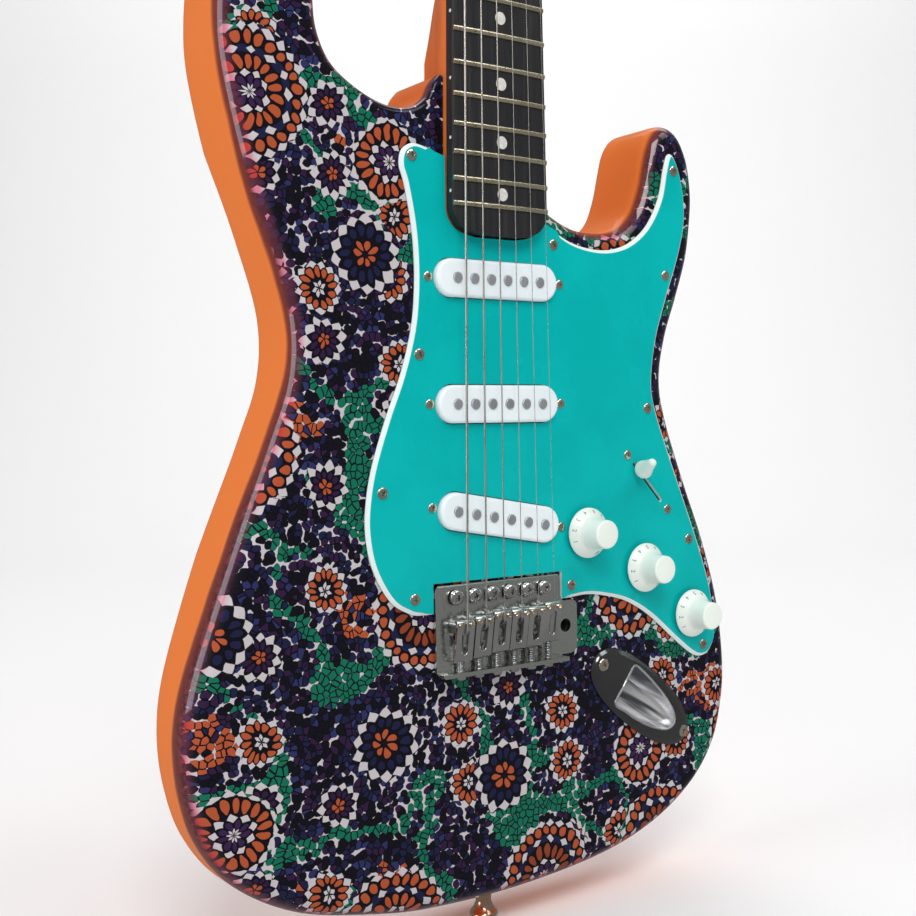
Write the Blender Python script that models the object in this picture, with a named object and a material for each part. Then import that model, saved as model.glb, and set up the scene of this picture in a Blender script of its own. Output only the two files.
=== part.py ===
"""Solid-body electric guitar with a bolt-on neck and a six-screw tremolo bridge.

The guitar stands upright: +Z runs from the tail to the headstock, its face looks along -Y,
and +X is the side of the knobs. The origin is on the outer face of the tail strap button,
on the centre line of the strings. Sizes are in millimetres and MM turns them to metres.
A third coordinate, w, is used for depth: it is the height in front of the body's top face.
"""
import math

import bmesh
import bpy
from mathutils import Vector

MM = 0.001
GAP = 0.3

# Body
BODY_THICKNESS = 45.0
BUTTON_DEPTH = 21.5
FRONT_EDGE_DEPTH = 12.0
BACK_EDGE_RADIUS = 8.0
FOREARM_LINE = ((-128.0, 205.0), (-40.0, 0.0))
FOREARM_STEPS = ((0.0, 0.0), (20.0, 0.8), (40.0, 3.2), (60.0, 6.8), (85.0, 12.5))
BELLY_LINE = ((-70.0, 330.0), (-96.0, 190.0))
BELLY_STEPS = ((0.0, 0.0), (10.0, 0.8), (22.0, 2.9), (60.0, 10.4))
BELLY_SPAN = ((-10.0, 0.0), (25.0, 0.75), (60.0, 1.0), (115.0, 0.7), (165.0, 0.0))

# Outline of the body: across, height above the tail edge, width of the rounded front edge.
# It starts at the heel's treble corner and runs round the treble horn, the tail and the bass horn.
BODY_OUTLINE = (
    (23.0, 391.8, 2.0), (26.7, 388.8, 2.0), (27.2, 363.0, 2.0), (28.2, 343.0, 2.5), (32.0, 336.0, 3.5),
    (40.5, 331.0, 5.0), (55.5, 327.0, 8.0), (71.0, 326.7, 9.0), (83.5, 329.8, 9.5), (93.0, 338.3, 9.5),
    (98.5, 351.3, 9.5), (102.0, 365.0, 9.5), (105.2, 375.8, 9.5), (110.5, 383.5, 9.5), (118.5, 386.5, 9.5),
    (126.5, 383.5, 9.5), (132.5, 375.8, 9.5), (136.8, 365.3, 10.0), (138.8, 350.3, 10.0), (138.0, 336.3, 10.0),
    (134.6, 316.3, 10.0), (126.8, 294.3, 10.0), (118.4, 272.8, 10.0), (114.4, 251.3, 10.0),
    (118.5, 230.3, 10.0), (131.5, 197.3, 10.0), (145.6, 164.3, 10.0), (156.2, 130.3, 10.0),
    (160.5, 96.3, 10.0), (158.7, 73.8, 10.0), (151.3, 51.3, 10.0), (134.5, 31.3, 10.0), (106.0, 14.8, 10.0),
    (69.0, 4.8, 10.0), (15.0, 0.0, 10.0), (-36.0, 1.0, 10.0), (-70.0, 5.5, 10.0), (-104.0, 13.4, 10.0),
    (-131.0, 29.4, 10.0), (-147.0, 50.6, 10.0), (-154.6, 73.5, 10.0), (-157.0, 96.3, 10.0),
    (-154.2, 120.3, 10.0), (-143.8, 154.3, 10.0), (-131.2, 188.8, 10.0), (-116.9, 224.3, 10.0),
    (-107.2, 251.3, 10.0), (-106.9, 278.3, 10.0), (-117.9, 313.3, 10.0), (-128.7, 348.3, 10.0),
    (-136.4, 382.3, 10.0), (-137.9, 403.3, 10.0), (-135.6, 426.3, 10.0), (-128.5, 446.3, 10.0),
    (-116.0, 457.3, 9.5), (-103.0, 452.3, 9.5), (-94.5, 437.3, 9.5), (-91.0, 420.3, 9.5),
    (-89.5, 403.8, 9.0), (-83.5, 390.3, 8.0), (-72.0, 380.8, 6.0), (-57.8, 374.8, 4.5), (-44.6, 374.8, 3.5),
    (-36.0, 379.8, 2.5), (-31.8, 387.3, 2.0), (-28.2, 391.4, 2.0),
)

# Neck and fretboard
SCALE_LENGTH = 647.7
SADDLE_ABOVE_TAIL = 138.8
FRET_COUNT = 21
NUT_WIDTH = 42.0
HEEL_WIDTH = 56.0
BOARD_OVERHANG = 13.5
BOARD_END = ((0.0, 17.0), (1.5, 9.5), (4.0, 4.4), (8.0, 1.2), (12.0, 0.0))
BOARD_JOINT_W = 2.2
BOARD_CROWN_W = 8.7
BOARD_RADIUS = 350.0
FRET_HEIGHT = 1.0
FRET_WIDTH = 2.2
NECK_DEPTH_AT_NUT = 14.7
NECK_DEPTH_AT_HEEL = 16.6
POCKET_DEPTH = 16.2
HEEL_REACH = 8.0
HEEL_RAMP = 52.0
NUT_LENGTH = 3.2
NUT_SHELF = 4.0

# Headstock: across and height above the nut, from the treble side of the nut to the bass side
HEAD_FACE_W = 0.5
HEAD_THICKNESS = 14.0
HEAD_EDGE = 2.0
HEAD_SCOOP = 14.0
HEAD_OUTLINE = (
    (20.9, 1.0), (21.2, 6.0), (22.8, 18.0), (27.5, 36.0), (32.0, 58.0), (34.5, 90.0), (36.5, 125.0),
    (37.0, 150.0), (34.5, 168.0), (27.0, 180.0), (15.5, 185.0), (5.5, 181.5), (0.5, 171.0),
    (-3.5, 155.0), (-11.0, 125.0), (-18.5, 95.0), (-26.0, 65.0), (-32.0, 41.0), (-34.0, 30.0),
    (-31.5, 19.0), (-24.5, 9.0), (-21.2, 4.0), (-20.9, 1.0),
)

# Strings, from the low one to the high one
STRING_DIAMETERS = (1.17, 0.91, 0.66, 0.43, 0.33, 0.25)
STRING_SPREAD_NUT = 35.0
STRING_SPREAD_BRIDGE = 52.2
SADDLE_CREST_W = 12.3
INTONATION = (-1.6, -0.4, 0.9, 0.9, 1.0, 2.1)
STRING_CLEARANCE = 0.35
STRING_TURNS = 2
STRING_END_W = -12.0

# Tuners
FIRST_POST = 34.0
POST_PITCH = 25.5
POST_RADIUS = 3.0
POST_WAIST_RADIUS = 2.5
POST_STRING_W = 8.8
POST_TOP_W = 13.5
BARREL_RADIUS = 4.6
TUNER_WIDTH = 14.0
TUNER_LENGTH = 19.0
TUNER_HEIGHT = 11.0
TUNER_SHAFT_RADIUS = 2.1
TUNER_SHAFT_OFFSET = 5.5
BUTTON_STEM = 9.0
TREE_ABOVE_NUT = 44.0
TREE_STRING_W = 3.4

# Pickguard and what it carries: across and height above the tail edge
GUARD_THICKNESS = 2.3
GUARD_BEVEL = 2.0
GUARD_BASS_EDGE = (
    (-34.0, 354.8), (-39.5, 357.0), (-46.0, 357.5), (-51.3, 353.8), (-52.5, 347.0), (-50.0, 339.0),
    (-46.8, 323.0), (-45.3, 308.0), (-45.3, 291.0), (-47.5, 273.0), (-53.5, 252.5), (-62.0, 232.0),
    (-70.0, 209.0), (-73.3, 190.0), (-72.6, 175.5), (-68.8, 162.5), (-60.5, 149.5), (-51.0, 143.5), (-45.5, 142.0),
)
GUARD_TREBLE_EDGE = (
    (44.0, 142.2), (55.0, 142.9), (66.5, 141.4), (82.5, 137.0), (98.5, 128.0), (116.0, 114.0),
    (128.5, 104.8), (136.0, 102.3), (142.5, 104.5), (146.8, 112.0), (146.8, 122.0), (143.0, 141.0),
    (135.0, 163.0), (123.0, 191.0), (112.5, 215.0), (104.2, 236.0), (101.8, 250.0), (105.0, 271.5),
    (112.5, 293.0), (121.0, 314.0), (126.0, 331.0), (126.8, 345.0), (124.0, 359.0), (119.5, 368.5),
    (115.0, 369.5), (112.0, 362.0), (108.0, 346.0), (99.5, 331.5), (88.0, 322.0), (76.0, 317.5),
    (63.0, 316.5), (48.0, 319.0), (35.0, 325.0),
)
NECK_PICKUP_GAP = 8.36
MIDDLE_PICKUP_HEIGHT = 239.0
BRIDGE_PICKUP_REACH = 45.8
PICKUP_SLANTS = {"neck": 0.0, "middle": 0.0, "bridge": -9.8}
POLE_SPANS = {"neck": 48.5, "middle": 50.3, "bridge": 52.2}
PICKUP_LENGTH = 71.0
PICKUP_WIDTH = 17.8
PICKUP_TOP_W = 5.6
PICKUP_EDGE = 1.2
PICKUP_BASE_W = -5.0
PICKUP_BASE_LENGTH = 83.5
PICKUP_BASE_WIDTH = 24.0
POLE_RADIUS = 2.4
POLE_HEIGHT = 0.8
PICKUP_CLEARANCE = 0.5
KNOB_PLACES = {"volume": (54.0, 174.3), "neck_tone": (93.0, 153.9), "middle_tone": (127.0, 126.8)}
KNOB_SKIRT_RADIUS = 12.6
KNOB_TOP_RADIUS = 7.1
KNOB_HEIGHT = 15.1
KNOB_CLEARANCE = 1.8
SHAFT_RADIUS = 3.0
BUSHING_RADIUS = 4.6
POT_RADIUS = 12.0
POT_DEPTH = 13.0
SELECTOR_CENTRE = (96.9, 197.9)
SELECTOR_DIRECTION = (0.683, -0.730)
SELECTOR_SLOT_LENGTH = 29.0
SELECTOR_SLOT_WIDTH = 2.2
SELECTOR_LEAN = 27.0
SELECTOR_PIVOT_W = -12.0
LEVER_THICKNESS = 1.2
LEVER_WIDTH = 5.0
LEVER_REACH = 22.0
TIP_BASE_REACH = 18.6
TIP_LENGTH = 15.6
TIP_BASE_RADIUS = 4.8
TIP_END_RADIUS = 1.9

# Bridge: heights above the tail edge
PIVOT_ABOVE_TAIL = 149.0
PLATE_FRONT = 5.8
PLATE_LENGTH = 42.5
PLATE_HALF_WIDTH = 37.2
PLATE_TAB_REACH = 47.8
PLATE_TAB_FROM = 13.5
PLATE_THICKNESS = 2.2
FLANGE_HEIGHT = 8.0
FLANGE_THICKNESS = 2.0
STRING_HOLE_SET_BACK = 18.5
STRING_HOLE_RADIUS = 1.8
ARM_HOLE_ACROSS = 40.4
ARM_HOLE_SET_BACK = 20.0
ARM_HOLE_RADIUS = 3.3
BLOCK_LENGTH = 14.0
BLOCK_DEPTH = 40.0
BLOCK_REACH = 5.4
SADDLE_WIDTH = 10.0
SADDLE_LENGTH = 18.0
SADDLE_LIP = 2.2
SADDLE_SHEET = 1.5
SADDLE_SLOT_WIDTH = 4.2
SADDLE_SLOT_LENGTH = 12.4
SADDLE_SLOT_START = 2.1
HEIGHT_SCREW_RADIUS = 1.25
HEIGHT_SCREW_SPACING = 6.4

# Back of the body: heights above the tail edge
SPRING_ROUTE_TOP = 252.0
SPRING_ROUTE_WIDTH = 66.0
SPRING_ROUTE_DEPTH = 16.0
BLOCK_ROUTE_MARGIN = 3.0
BLOCK_SWING_ROOM = 9.0
CLAW_ABOVE_TAIL = 240.0
CLAW_WIDTH = 56.0
SPRING_RADIUS = 4.2
SPRING_PLACES = (-16.0, 0.0, 16.0)
COVER_WIDTH = 96.0
COVER_MARGIN = 9.0
COVER_THICKNESS = 1.8
COVER_SLOT_HEIGHT = 15.0
NECK_PLATE_WIDTH = 51.0
NECK_PLATE_LENGTH = 63.5
NECK_PLATE_THICKNESS = 1.8
NECK_PLATE_SET_BACK = 35.0

# Jack plate: centre across and above the tail edge
JACK_CENTRE = (92.5, 85.2)
JACK_DIRECTION = (0.798, -0.603)
JACK_HALF_LENGTH = 40.2
JACK_HALF_WIDTH = 16.0
JACK_DOME = 3.4
JACK_ROUTE_REACH = 29.0
JACK_SHEET = 1.3
JACK_DISH_TOP_W = 1.0
JACK_DISH_DEEP_W = -15.0
JACK_DISH_SHALLOW_W = 1.0
JACK_DISH = (
    (-17.0, -11.0), (-17.0, -4.0), (-17.0, 4.0), (-16.0, 10.6), (-8.0, 11.0), (4.0, 9.6), (14.0, 7.6),
    (22.0, 4.6), (26.0, 0.0), (23.0, -5.4), (14.0, -9.2), (4.0, -11.2), (-8.0, -12.0), (-14.0, -12.6),
)
SOCKET_BORE_RADIUS = 3.3
SOCKET_BARREL_RADIUS = 4.7
SOCKET_LENGTH = 15.0

# Strap buttons
BUTTON_LENGTH = 14.7
BUTTON_RADIUS = 7.0
TAIL_BUTTON_ACROSS = 5.0

# Places worked out from the sizes above
TAIL_Z = BUTTON_LENGTH + GAP
SADDLE_Z = TAIL_Z + SADDLE_ABOVE_TAIL
NUT_Z = SADDLE_Z + SCALE_LENGTH
BOARD_END_Z = NUT_Z - SCALE_LENGTH * (1.0 - 2.0 ** (-FRET_COUNT / 12.0)) - BOARD_OVERHANG
HEEL_TOP_Z = TAIL_Z + BODY_OUTLINE[0][1]
PIVOT_Z = TAIL_Z + PIVOT_ABOVE_TAIL
BACK_W = -BODY_THICKNESS
GUARD_TOP_W = GAP + GUARD_THICKNESS
PLATE_TOP_W = GAP + PLATE_THICKNESS
PLATE_FRONT_Z = PIVOT_Z + PLATE_FRONT
PLATE_REAR_Z = PLATE_FRONT_Z - PLATE_LENGTH
STRING_HOLE_Z = PIVOT_Z - STRING_HOLE_SET_BACK
ARM_HOLE_Z = PIVOT_Z - ARM_HOLE_SET_BACK
HEAD_BACK_W = HEAD_FACE_W - HEAD_THICKNESS
PICKUP_HEIGHTS = {
    "neck": BOARD_END_Z - TAIL_Z - NECK_PICKUP_GAP - 0.5 * PICKUP_BASE_WIDTH,
    "middle": MIDDLE_PICKUP_HEIGHT,
    "bridge": SADDLE_ABOVE_TAIL + BRIDGE_PICKUP_REACH,
}


def at(x, w, z):
    """Point in metres from the position across, in front of the body's top face, and up."""
    return Vector((x * MM, -(w + BUTTON_DEPTH) * MM, z * MM))


def clear_scene():
    """Remove whatever objects the file starts with."""
    for obj in list(bpy.data.objects):
        bpy.data.objects.remove(obj, do_unlink=True)


def finish(name, colour, roughness, metallic=0.0):
    """Principled material of one piece."""
    material = bpy.data.materials.new(name)
    material.use_nodes = True
    shader = material.node_tree.nodes["Principled BSDF"]
    shader.inputs["Base Color"].default_value = (*colour, 1.0)
    shader.inputs["Roughness"].default_value = roughness
    shader.inputs["Metallic"].default_value = metallic
    return material


def add_object(name, bm, material, origin=None):
    """Turn a bmesh into a named object, with its origin at the given point."""
    bmesh.ops.recalc_face_normals(bm, faces=bm.faces)
    mesh = bpy.data.meshes.new(name)
    origin = origin or Vector((0.0, 0.0, 0.0))
    bmesh.ops.translate(bm, verts=bm.verts, vec=-origin)
    bm.to_mesh(mesh)
    bm.free()
    if material:
        mesh.materials.append(material)
    mesh.shade_smooth()
    mesh.set_sharp_from_angle(angle=math.radians(32.0))
    obj = bpy.data.objects.new(name, mesh)
    obj.location = origin
    bpy.context.scene.collection.objects.link(obj)
    return obj


def combine(target, name, bm, operation="DIFFERENCE"):
    """Cut a tool body out of an object, or fuse it on, with a Boolean that stays live."""
    tool = add_object(name, bm, None)
    tool.hide_render = True
    tool.display_type = "WIRE"
    modifier = target.modifiers.new(name, "BOOLEAN")
    modifier.operation = operation
    modifier.solver = "EXACT"
    modifier.object = tool


def loft(rings, bm=None):
    """Closed solid through a list of rings with equal point counts, capped at both ends."""
    bm = bm or bmesh.new()
    loops = [[bm.verts.new(point) for point in ring] for ring in rings]
    count = len(loops[0])
    for low, high in zip(loops, loops[1:]):
        for i in range(count):
            j = (i + 1) % count
            bm.faces.new((low[i], low[j], high[j], high[i]))
    bm.faces.new(list(reversed(loops[0])))
    bm.faces.new(loops[-1])
    return bm


def prism(points, w_low, w_high, bm=None):
    """Upright prism over a flat outline of (across, up) points."""
    return loft([[at(x, w, z) for x, z in points] for w in (w_low, w_high)], bm)


def prism_across(profile, x_low, x_high, bm=None):
    """Prism over a side profile of (up, w) points, running across the guitar."""
    return loft([[at(x, w, z) for z, w in profile] for x in (x_low, x_high)], bm)


def prism_up(profile, z_low, z_high, bm=None):
    """Prism over a profile of (across, w) points, running up the guitar."""
    return loft([[at(x, w, z) for x, w in profile] for z in (z_low, z_high)], bm)


def turned(profile, base, axis, segments, bm=None, squash=1.0):
    """Turned solid: (radius, distance along the axis) pairs, open ends are capped.

    A squash below 1 flattens the section along the axis's second cross direction.
    """
    bm = bm or bmesh.new()
    axis = axis.normalized()
    first = axis.orthogonal().normalized()
    if abs(axis.y) < 0.9:
        first = axis.cross(Vector((0.0, 1.0, 0.0))).normalized()
    second = axis.cross(first)
    rows = []
    for radius, along in profile:
        centre = base + axis * (along * MM)
        if radius == 0.0:
            rows.append([bm.verts.new(centre)])
            continue
        row = []
        for i in range(segments):
            angle = 2.0 * math.pi * i / segments
            flat = squash if radius > TUNER_SHAFT_RADIUS + GAP else 1.0
            offset = first * math.cos(angle) + second * (math.sin(angle) * flat)
            row.append(bm.verts.new(centre + offset * (radius * MM)))
        rows.append(row)
    for low, high in zip(rows, rows[1:]):
        for i in range(segments):
            j = (i + 1) % segments
            if len(low) == 1:
                bm.faces.new((low[0], high[j], high[i]))
            elif len(high) == 1:
                bm.faces.new((low[i], low[j], high[0]))
            else:
                bm.faces.new((low[i], low[j], high[j], high[i]))
    if len(rows[0]) > 1:
        bm.faces.new(list(reversed(rows[0])))
    if len(rows[-1]) > 1:
        bm.faces.new(rows[-1])
    return bm


def cylinder(start, end, radius, segments, bm=None):
    """Plain cylinder between two points."""
    length = (end - start).length / MM
    return turned(((radius, 0.0), (radius, length)), start, end - start, segments, bm)


def smooth_line(points, steps, closed=False):
    """Catmull-Rom curve through points of any dimension."""
    count = len(points)
    line = []
    spans = count if closed else count - 1
    for i in range(spans):
        if closed:
            corners = [points[(i + k) % count] for k in (-1, 0, 1, 2)]
        else:
            corners = [points[min(max(i + k, 0), count - 1)] for k in (-1, 0, 1, 2)]
        for step in range(steps):
            t = step / steps
            weights = (
                -0.5 * t + t * t - 0.5 * t ** 3,
                1.0 - 2.5 * t * t + 1.5 * t ** 3,
                0.5 * t + 2.0 * t * t - 1.5 * t ** 3,
                -0.5 * t * t + 0.5 * t ** 3,
            )
            line.append(tuple(sum(w * c[d] for w, c in zip(weights, corners)) for d in range(len(points[0]))))
    if not closed:
        line.append(tuple(points[-1]))
    return line


def inset(points, amounts):
    """Move each point of a closed outline inwards by its own amount, mitred at the corners."""
    count = len(points)
    area = sum(points[i][0] * points[(i + 1) % count][1] - points[(i + 1) % count][0] * points[i][1]
               for i in range(count))
    side = 1.0 if area > 0.0 else -1.0
    moved = []
    for i in range(count):
        before = Vector(points[i - 1])
        here = Vector(points[i])
        after = Vector(points[(i + 1) % count])
        first = (here - before).normalized()
        second = (after - here).normalized()
        normals = [Vector((-d.y, d.x)) * side for d in (first, second)]
        mitre = (normals[0] + normals[1]) / max(1.0 + normals[0].dot(normals[1]), 0.3)
        moved.append(tuple(here + mitre * amounts[i]))
    return moved


def rounded_outline(points, radius, steps=3):
    """Outline with each corner replaced by an arc."""
    outline = []
    count = len(points)
    for i in range(count):
        here = Vector(points[i])
        before = (Vector(points[i - 1]) - here).normalized()
        after = (Vector(points[(i + 1) % count]) - here).normalized()
        half = 0.5 * before.angle(after)
        bisector = (before + after).normalized()
        centre = here + bisector * (radius / math.sin(half))
        start = here + before * (radius / math.tan(half)) - centre
        end = here + after * (radius / math.tan(half)) - centre
        sweep = start.angle_signed(end)
        for step in range(steps + 1):
            turn = -sweep * step / steps
            outline.append((
                centre.x + start.x * math.cos(turn) - start.y * math.sin(turn),
                centre.y + start.x * math.sin(turn) + start.y * math.cos(turn),
            ))
    return outline


def box_outline(x_low, x_high, z_low, z_high):
    """Four corners of a rectangle."""
    return [(x_low, z_low), (x_high, z_low), (x_high, z_high), (x_low, z_high)]


def stadium(centre, direction, length, width, steps=4):
    """Slot with round ends, as (across, up) points."""
    along = Vector(direction).normalized()
    across = Vector((-along.y, along.x))
    outline = []
    for end in (1.0, -1.0):
        middle = Vector(centre) + along * (end * 0.5 * (length - width))
        for step in range(steps + 1):
            angle = math.pi * (step / steps - 0.5)
            offset = (along * math.cos(angle) + across * math.sin(angle)) * (0.5 * width * end)
            outline.append(tuple(middle + offset))
    return outline


def interpolate(steps, value):
    """Piecewise linear value, held at both ends."""
    if value <= steps[0][0]:
        return steps[0][1]
    for (x0, y0), (x1, y1) in zip(steps, steps[1:]):
        if value <= x1:
            return y0 + (y1 - y0) * (value - x0) / (x1 - x0)
    return steps[-1][1]


def neck_half_width(z):
    """Half the width of the neck and fretboard at a height."""
    share = (NUT_Z - z) / (NUT_Z - BOARD_END_Z)
    return 0.5 * (NUT_WIDTH + (HEEL_WIDTH - NUT_WIDTH) * max(share, 0.0))


def board_w(x):
    """Height of the crowned fretboard at a distance from its centre line."""
    return BOARD_CROWN_W - x * x / (2.0 * BOARD_RADIUS)


def board_end(margin):
    """Rounded end of the neck on its treble side, as (across, up) points, grown by a margin."""
    points = []
    for rise, narrow in BOARD_END:
        z = BOARD_END_Z + rise
        points.append((neck_half_width(z) - narrow + margin, z - margin))
    return points


def fret_z(number):
    """Height of a fret."""
    return NUT_Z - SCALE_LENGTH * (1.0 - 2.0 ** (-number / 12.0))


def string_x(index, z):
    """Where a string runs across the guitar at a height."""
    share = (z - SADDLE_Z) / (NUT_Z - SADDLE_Z)
    spread = STRING_SPREAD_BRIDGE + (STRING_SPREAD_NUT - STRING_SPREAD_BRIDGE) * share
    return spread * (index / 5.0 - 0.5)


def saddle_x(index):
    """Centre of a saddle across the bridge."""
    return string_x(index, SADDLE_Z)


def crest_z(index):
    """Height of the point where a string leaves its saddle."""
    return SADDLE_Z + INTONATION[index]


def crest_w(index):
    """Top of a saddle's crest, on the fretboard's radius."""
    return SADDLE_CREST_W - saddle_x(index) ** 2 / (2.0 * BOARD_RADIUS)


def nut_slot_w(index):
    """Bottom of a string's slot in the nut."""
    return board_w(string_x(index, NUT_Z)) + FRET_HEIGHT + STRING_CLEARANCE


def post_centre(index):
    """Centre of a tuner post across and up, beside the straight run of its string."""
    z = NUT_Z + FIRST_POST + POST_PITCH * index
    reach = POST_WAIST_RADIUS + GAP + 0.5 * STRING_DIAMETERS[index]
    return string_x(index, z) - reach, z


def tuner_directions():
    """Unit vectors along the line of posts and out towards the tuner buttons."""
    first = Vector(post_centre(0))
    last = Vector(post_centre(5))
    along = (last - first).normalized()
    return along, Vector((-along.y, along.x))


def body_outline(height=TAIL_Z):
    """Smooth outline of the body with the width of its rounded edge at each point."""
    line = smooth_line([(x, z + height, r) for x, z, r in BODY_OUTLINE], 2)
    return [(x, z) for x, z, r in line], [r for x, z, r in line]


def bend_body(bm):
    """Give the body its forearm bevel in front and its belly cut behind."""
    tail = Vector((0.0, TAIL_Z))
    middle_w = 0.5 * BACK_W

    def split(line, distances, front):
        start = Vector(line[0]) + tail
        along = (Vector(line[1]) - Vector(line[0])).normalized()
        normal = Vector((along.y, -along.x))
        for distance in distances:
            point = start + normal * distance
            faces = [f for f in bm.faces if (w_of(f.calc_center_median()) > middle_w) == front]
            edges = {e for f in faces for e in f.edges}
            verts = {v for f in faces for v in f.verts}
            bmesh.ops.bisect_plane(
                bm, geom=list(verts) + list(edges) + faces, dist=1e-6,
                plane_co=at(point.x, 0.0, point.y), plane_no=Vector((normal.x, 0.0, normal.y)),
            )
        return start, along, normal

    start, along, normal = split(FOREARM_LINE, [d for d, depth in FOREARM_STEPS[:-1]], True)
    for vert in bm.verts:
        w = w_of(vert.co)
        distance = (Vector((vert.co.x, vert.co.z)) / MM - start).dot(normal)
        share = min(max((w - middle_w) / (middle_w * -0.4), 0.0), 1.0)
        vert.co.y += interpolate(FOREARM_STEPS, distance) * share * MM

    start, along, normal = split(BELLY_LINE, [d for d, depth in BELLY_STEPS[:-1]], False)
    cross = (tuple(start), tuple(start + normal))
    span_line = ((cross[0][0], cross[0][1] - TAIL_Z), (cross[1][0], cross[1][1] - TAIL_Z))
    split(span_line, [-d for d, depth in BELLY_SPAN], False)
    for vert in bm.verts:
        w = w_of(vert.co)
        offset = Vector((vert.co.x, vert.co.z)) / MM - start
        depth = interpolate(BELLY_STEPS, offset.dot(normal)) * interpolate(BELLY_SPAN, offset.dot(along))
        share = min(max((middle_w - w) / (middle_w * -0.4), 0.0), 1.0)
        vert.co.y -= depth * share * MM


def w_of(point):
    """Height of a point in front of the body's top face."""
    return -point.y / MM - BUTTON_DEPTH


def build_body():
    """Body blank with rounded edges and contours, then its routes."""
    outline, edges = body_outline()
    rings = []
    for angle in (0.0, 22.5, 45.0, 67.5, 90.0):
        turn = math.radians(angle)
        moved = inset(outline, [r * (1.0 - math.sin(turn)) for r in edges])
        rings.append([at(x, -(FRONT_EDGE_DEPTH * (1.0 - math.cos(turn))) * r / max(edges), z)
                      for (x, z), r in zip(moved, edges)])
    for angle in (90.0, 60.0, 30.0, 0.0):
        turn = math.radians(angle)
        moved = inset(outline, [BACK_EDGE_RADIUS * (1.0 - math.sin(turn))] * len(outline))
        rings.append([at(x, BACK_W + BACK_EDGE_RADIUS * (1.0 - math.cos(turn)), z) for x, z in moved])
    bm = loft(rings)
    bend_body(bm)
    bmesh.ops.triangulate(bm, faces=[f for f in bm.faces if len(f.verts) > 4])
    body = add_object("body", bm, finish("tile print and orange lacquer", (0.16, 0.07, 0.12), 0.18))
    cut_neck_pocket(body)
    cut_pickguard_routes(body)
    cut_bridge_routes(body)
    cut_jack_route(body)
    return body


def cut_neck_pocket(body):
    """Pocket that the neck's heel bolts into."""
    high = HEEL_TOP_Z + 20.0
    side = board_end(GAP) + [(neck_half_width(high) + GAP, high)]
    outline = side + [(-x, z) for x, z in reversed(side)]
    combine(body, "neck pocket", prism(outline, -POCKET_DEPTH, 8.0))


def cut_pickguard_routes(body):
    """Three pickup routes, the control route and the channel that joins them."""
    for name, height in PICKUP_HEIGHTS.items():
        direction = slant_direction(name)
        outline = stadium((0.0, TAIL_Z + height), direction, PICKUP_BASE_LENGTH + 3.0, PICKUP_BASE_WIDTH + 3.0)
        combine(body, name + " pickup route", prism(outline, -20.0, 6.0))
    corners = [
        (35.0, 190.0), (43.0, 157.0), (80.0, 140.0), (110.0, 116.0), (139.0, 113.0), (143.5, 120.0),
        (138.0, 140.0), (124.0, 158.0), (118.5, 190.0), (96.0, 222.0), (80.0, 229.0), (64.0, 210.0),
    ]
    outline = rounded_outline([(x, z + TAIL_Z) for x, z in corners], 3.0, 2)
    combine(body, "control route", prism(outline, -36.0, 6.0))
    channel = box_outline(-6.0, 6.0, TAIL_Z + PICKUP_HEIGHTS["bridge"], TAIL_Z + PICKUP_HEIGHTS["neck"])
    combine(body, "wire channel", prism(channel, -14.0, 5.0))


def cut_bridge_routes(body):
    """Slot for the tremolo block and the shallow spring route behind it."""
    low = STRING_HOLE_Z - 0.5 * BLOCK_LENGTH - BLOCK_SWING_ROOM
    high = STRING_HOLE_Z + 0.5 * BLOCK_LENGTH + BLOCK_ROUTE_MARGIN
    left = -PLATE_HALF_WIDTH + BLOCK_REACH - BLOCK_ROUTE_MARGIN
    right = ARM_HOLE_ACROSS + BLOCK_REACH + BLOCK_ROUTE_MARGIN
    outline = rounded_outline(box_outline(left, right, low, high), 3.0, 2)
    combine(body, "block route", prism(outline, BACK_W - 8.0, 6.0))
    half = 0.5 * SPRING_ROUTE_WIDTH
    outline = rounded_outline(box_outline(-half, half, low + 2.0, TAIL_Z + SPRING_ROUTE_TOP), 6.0, 3)
    combine(body, "spring route", prism(outline, BACK_W - 8.0, BACK_W + SPRING_ROUTE_DEPTH))


def cut_jack_route(body):
    """Route under the jack plate and the drilled way to the control route."""
    outline = jack_outline(JACK_HALF_LENGTH - 1.0, JACK_HALF_WIDTH - 0.7, JACK_ROUTE_REACH)
    combine(body, "jack route", prism(outline, -34.0, 6.0))
    mouth, direction = socket_line()
    bore = cylinder(mouth, mouth + direction * ((SOCKET_LENGTH + 4.0) * MM), SOCKET_BARREL_RADIUS + 2.9, 12)
    combine(body, "socket bore", bore)
    start = at(86.0, -24.0, TAIL_Z + JACK_CENTRE[1])
    end = at(86.0, -24.0, TAIL_Z + 148.0)
    combine(body, "jack wire way", cylinder(start, end, 4.5, 10))


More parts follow.
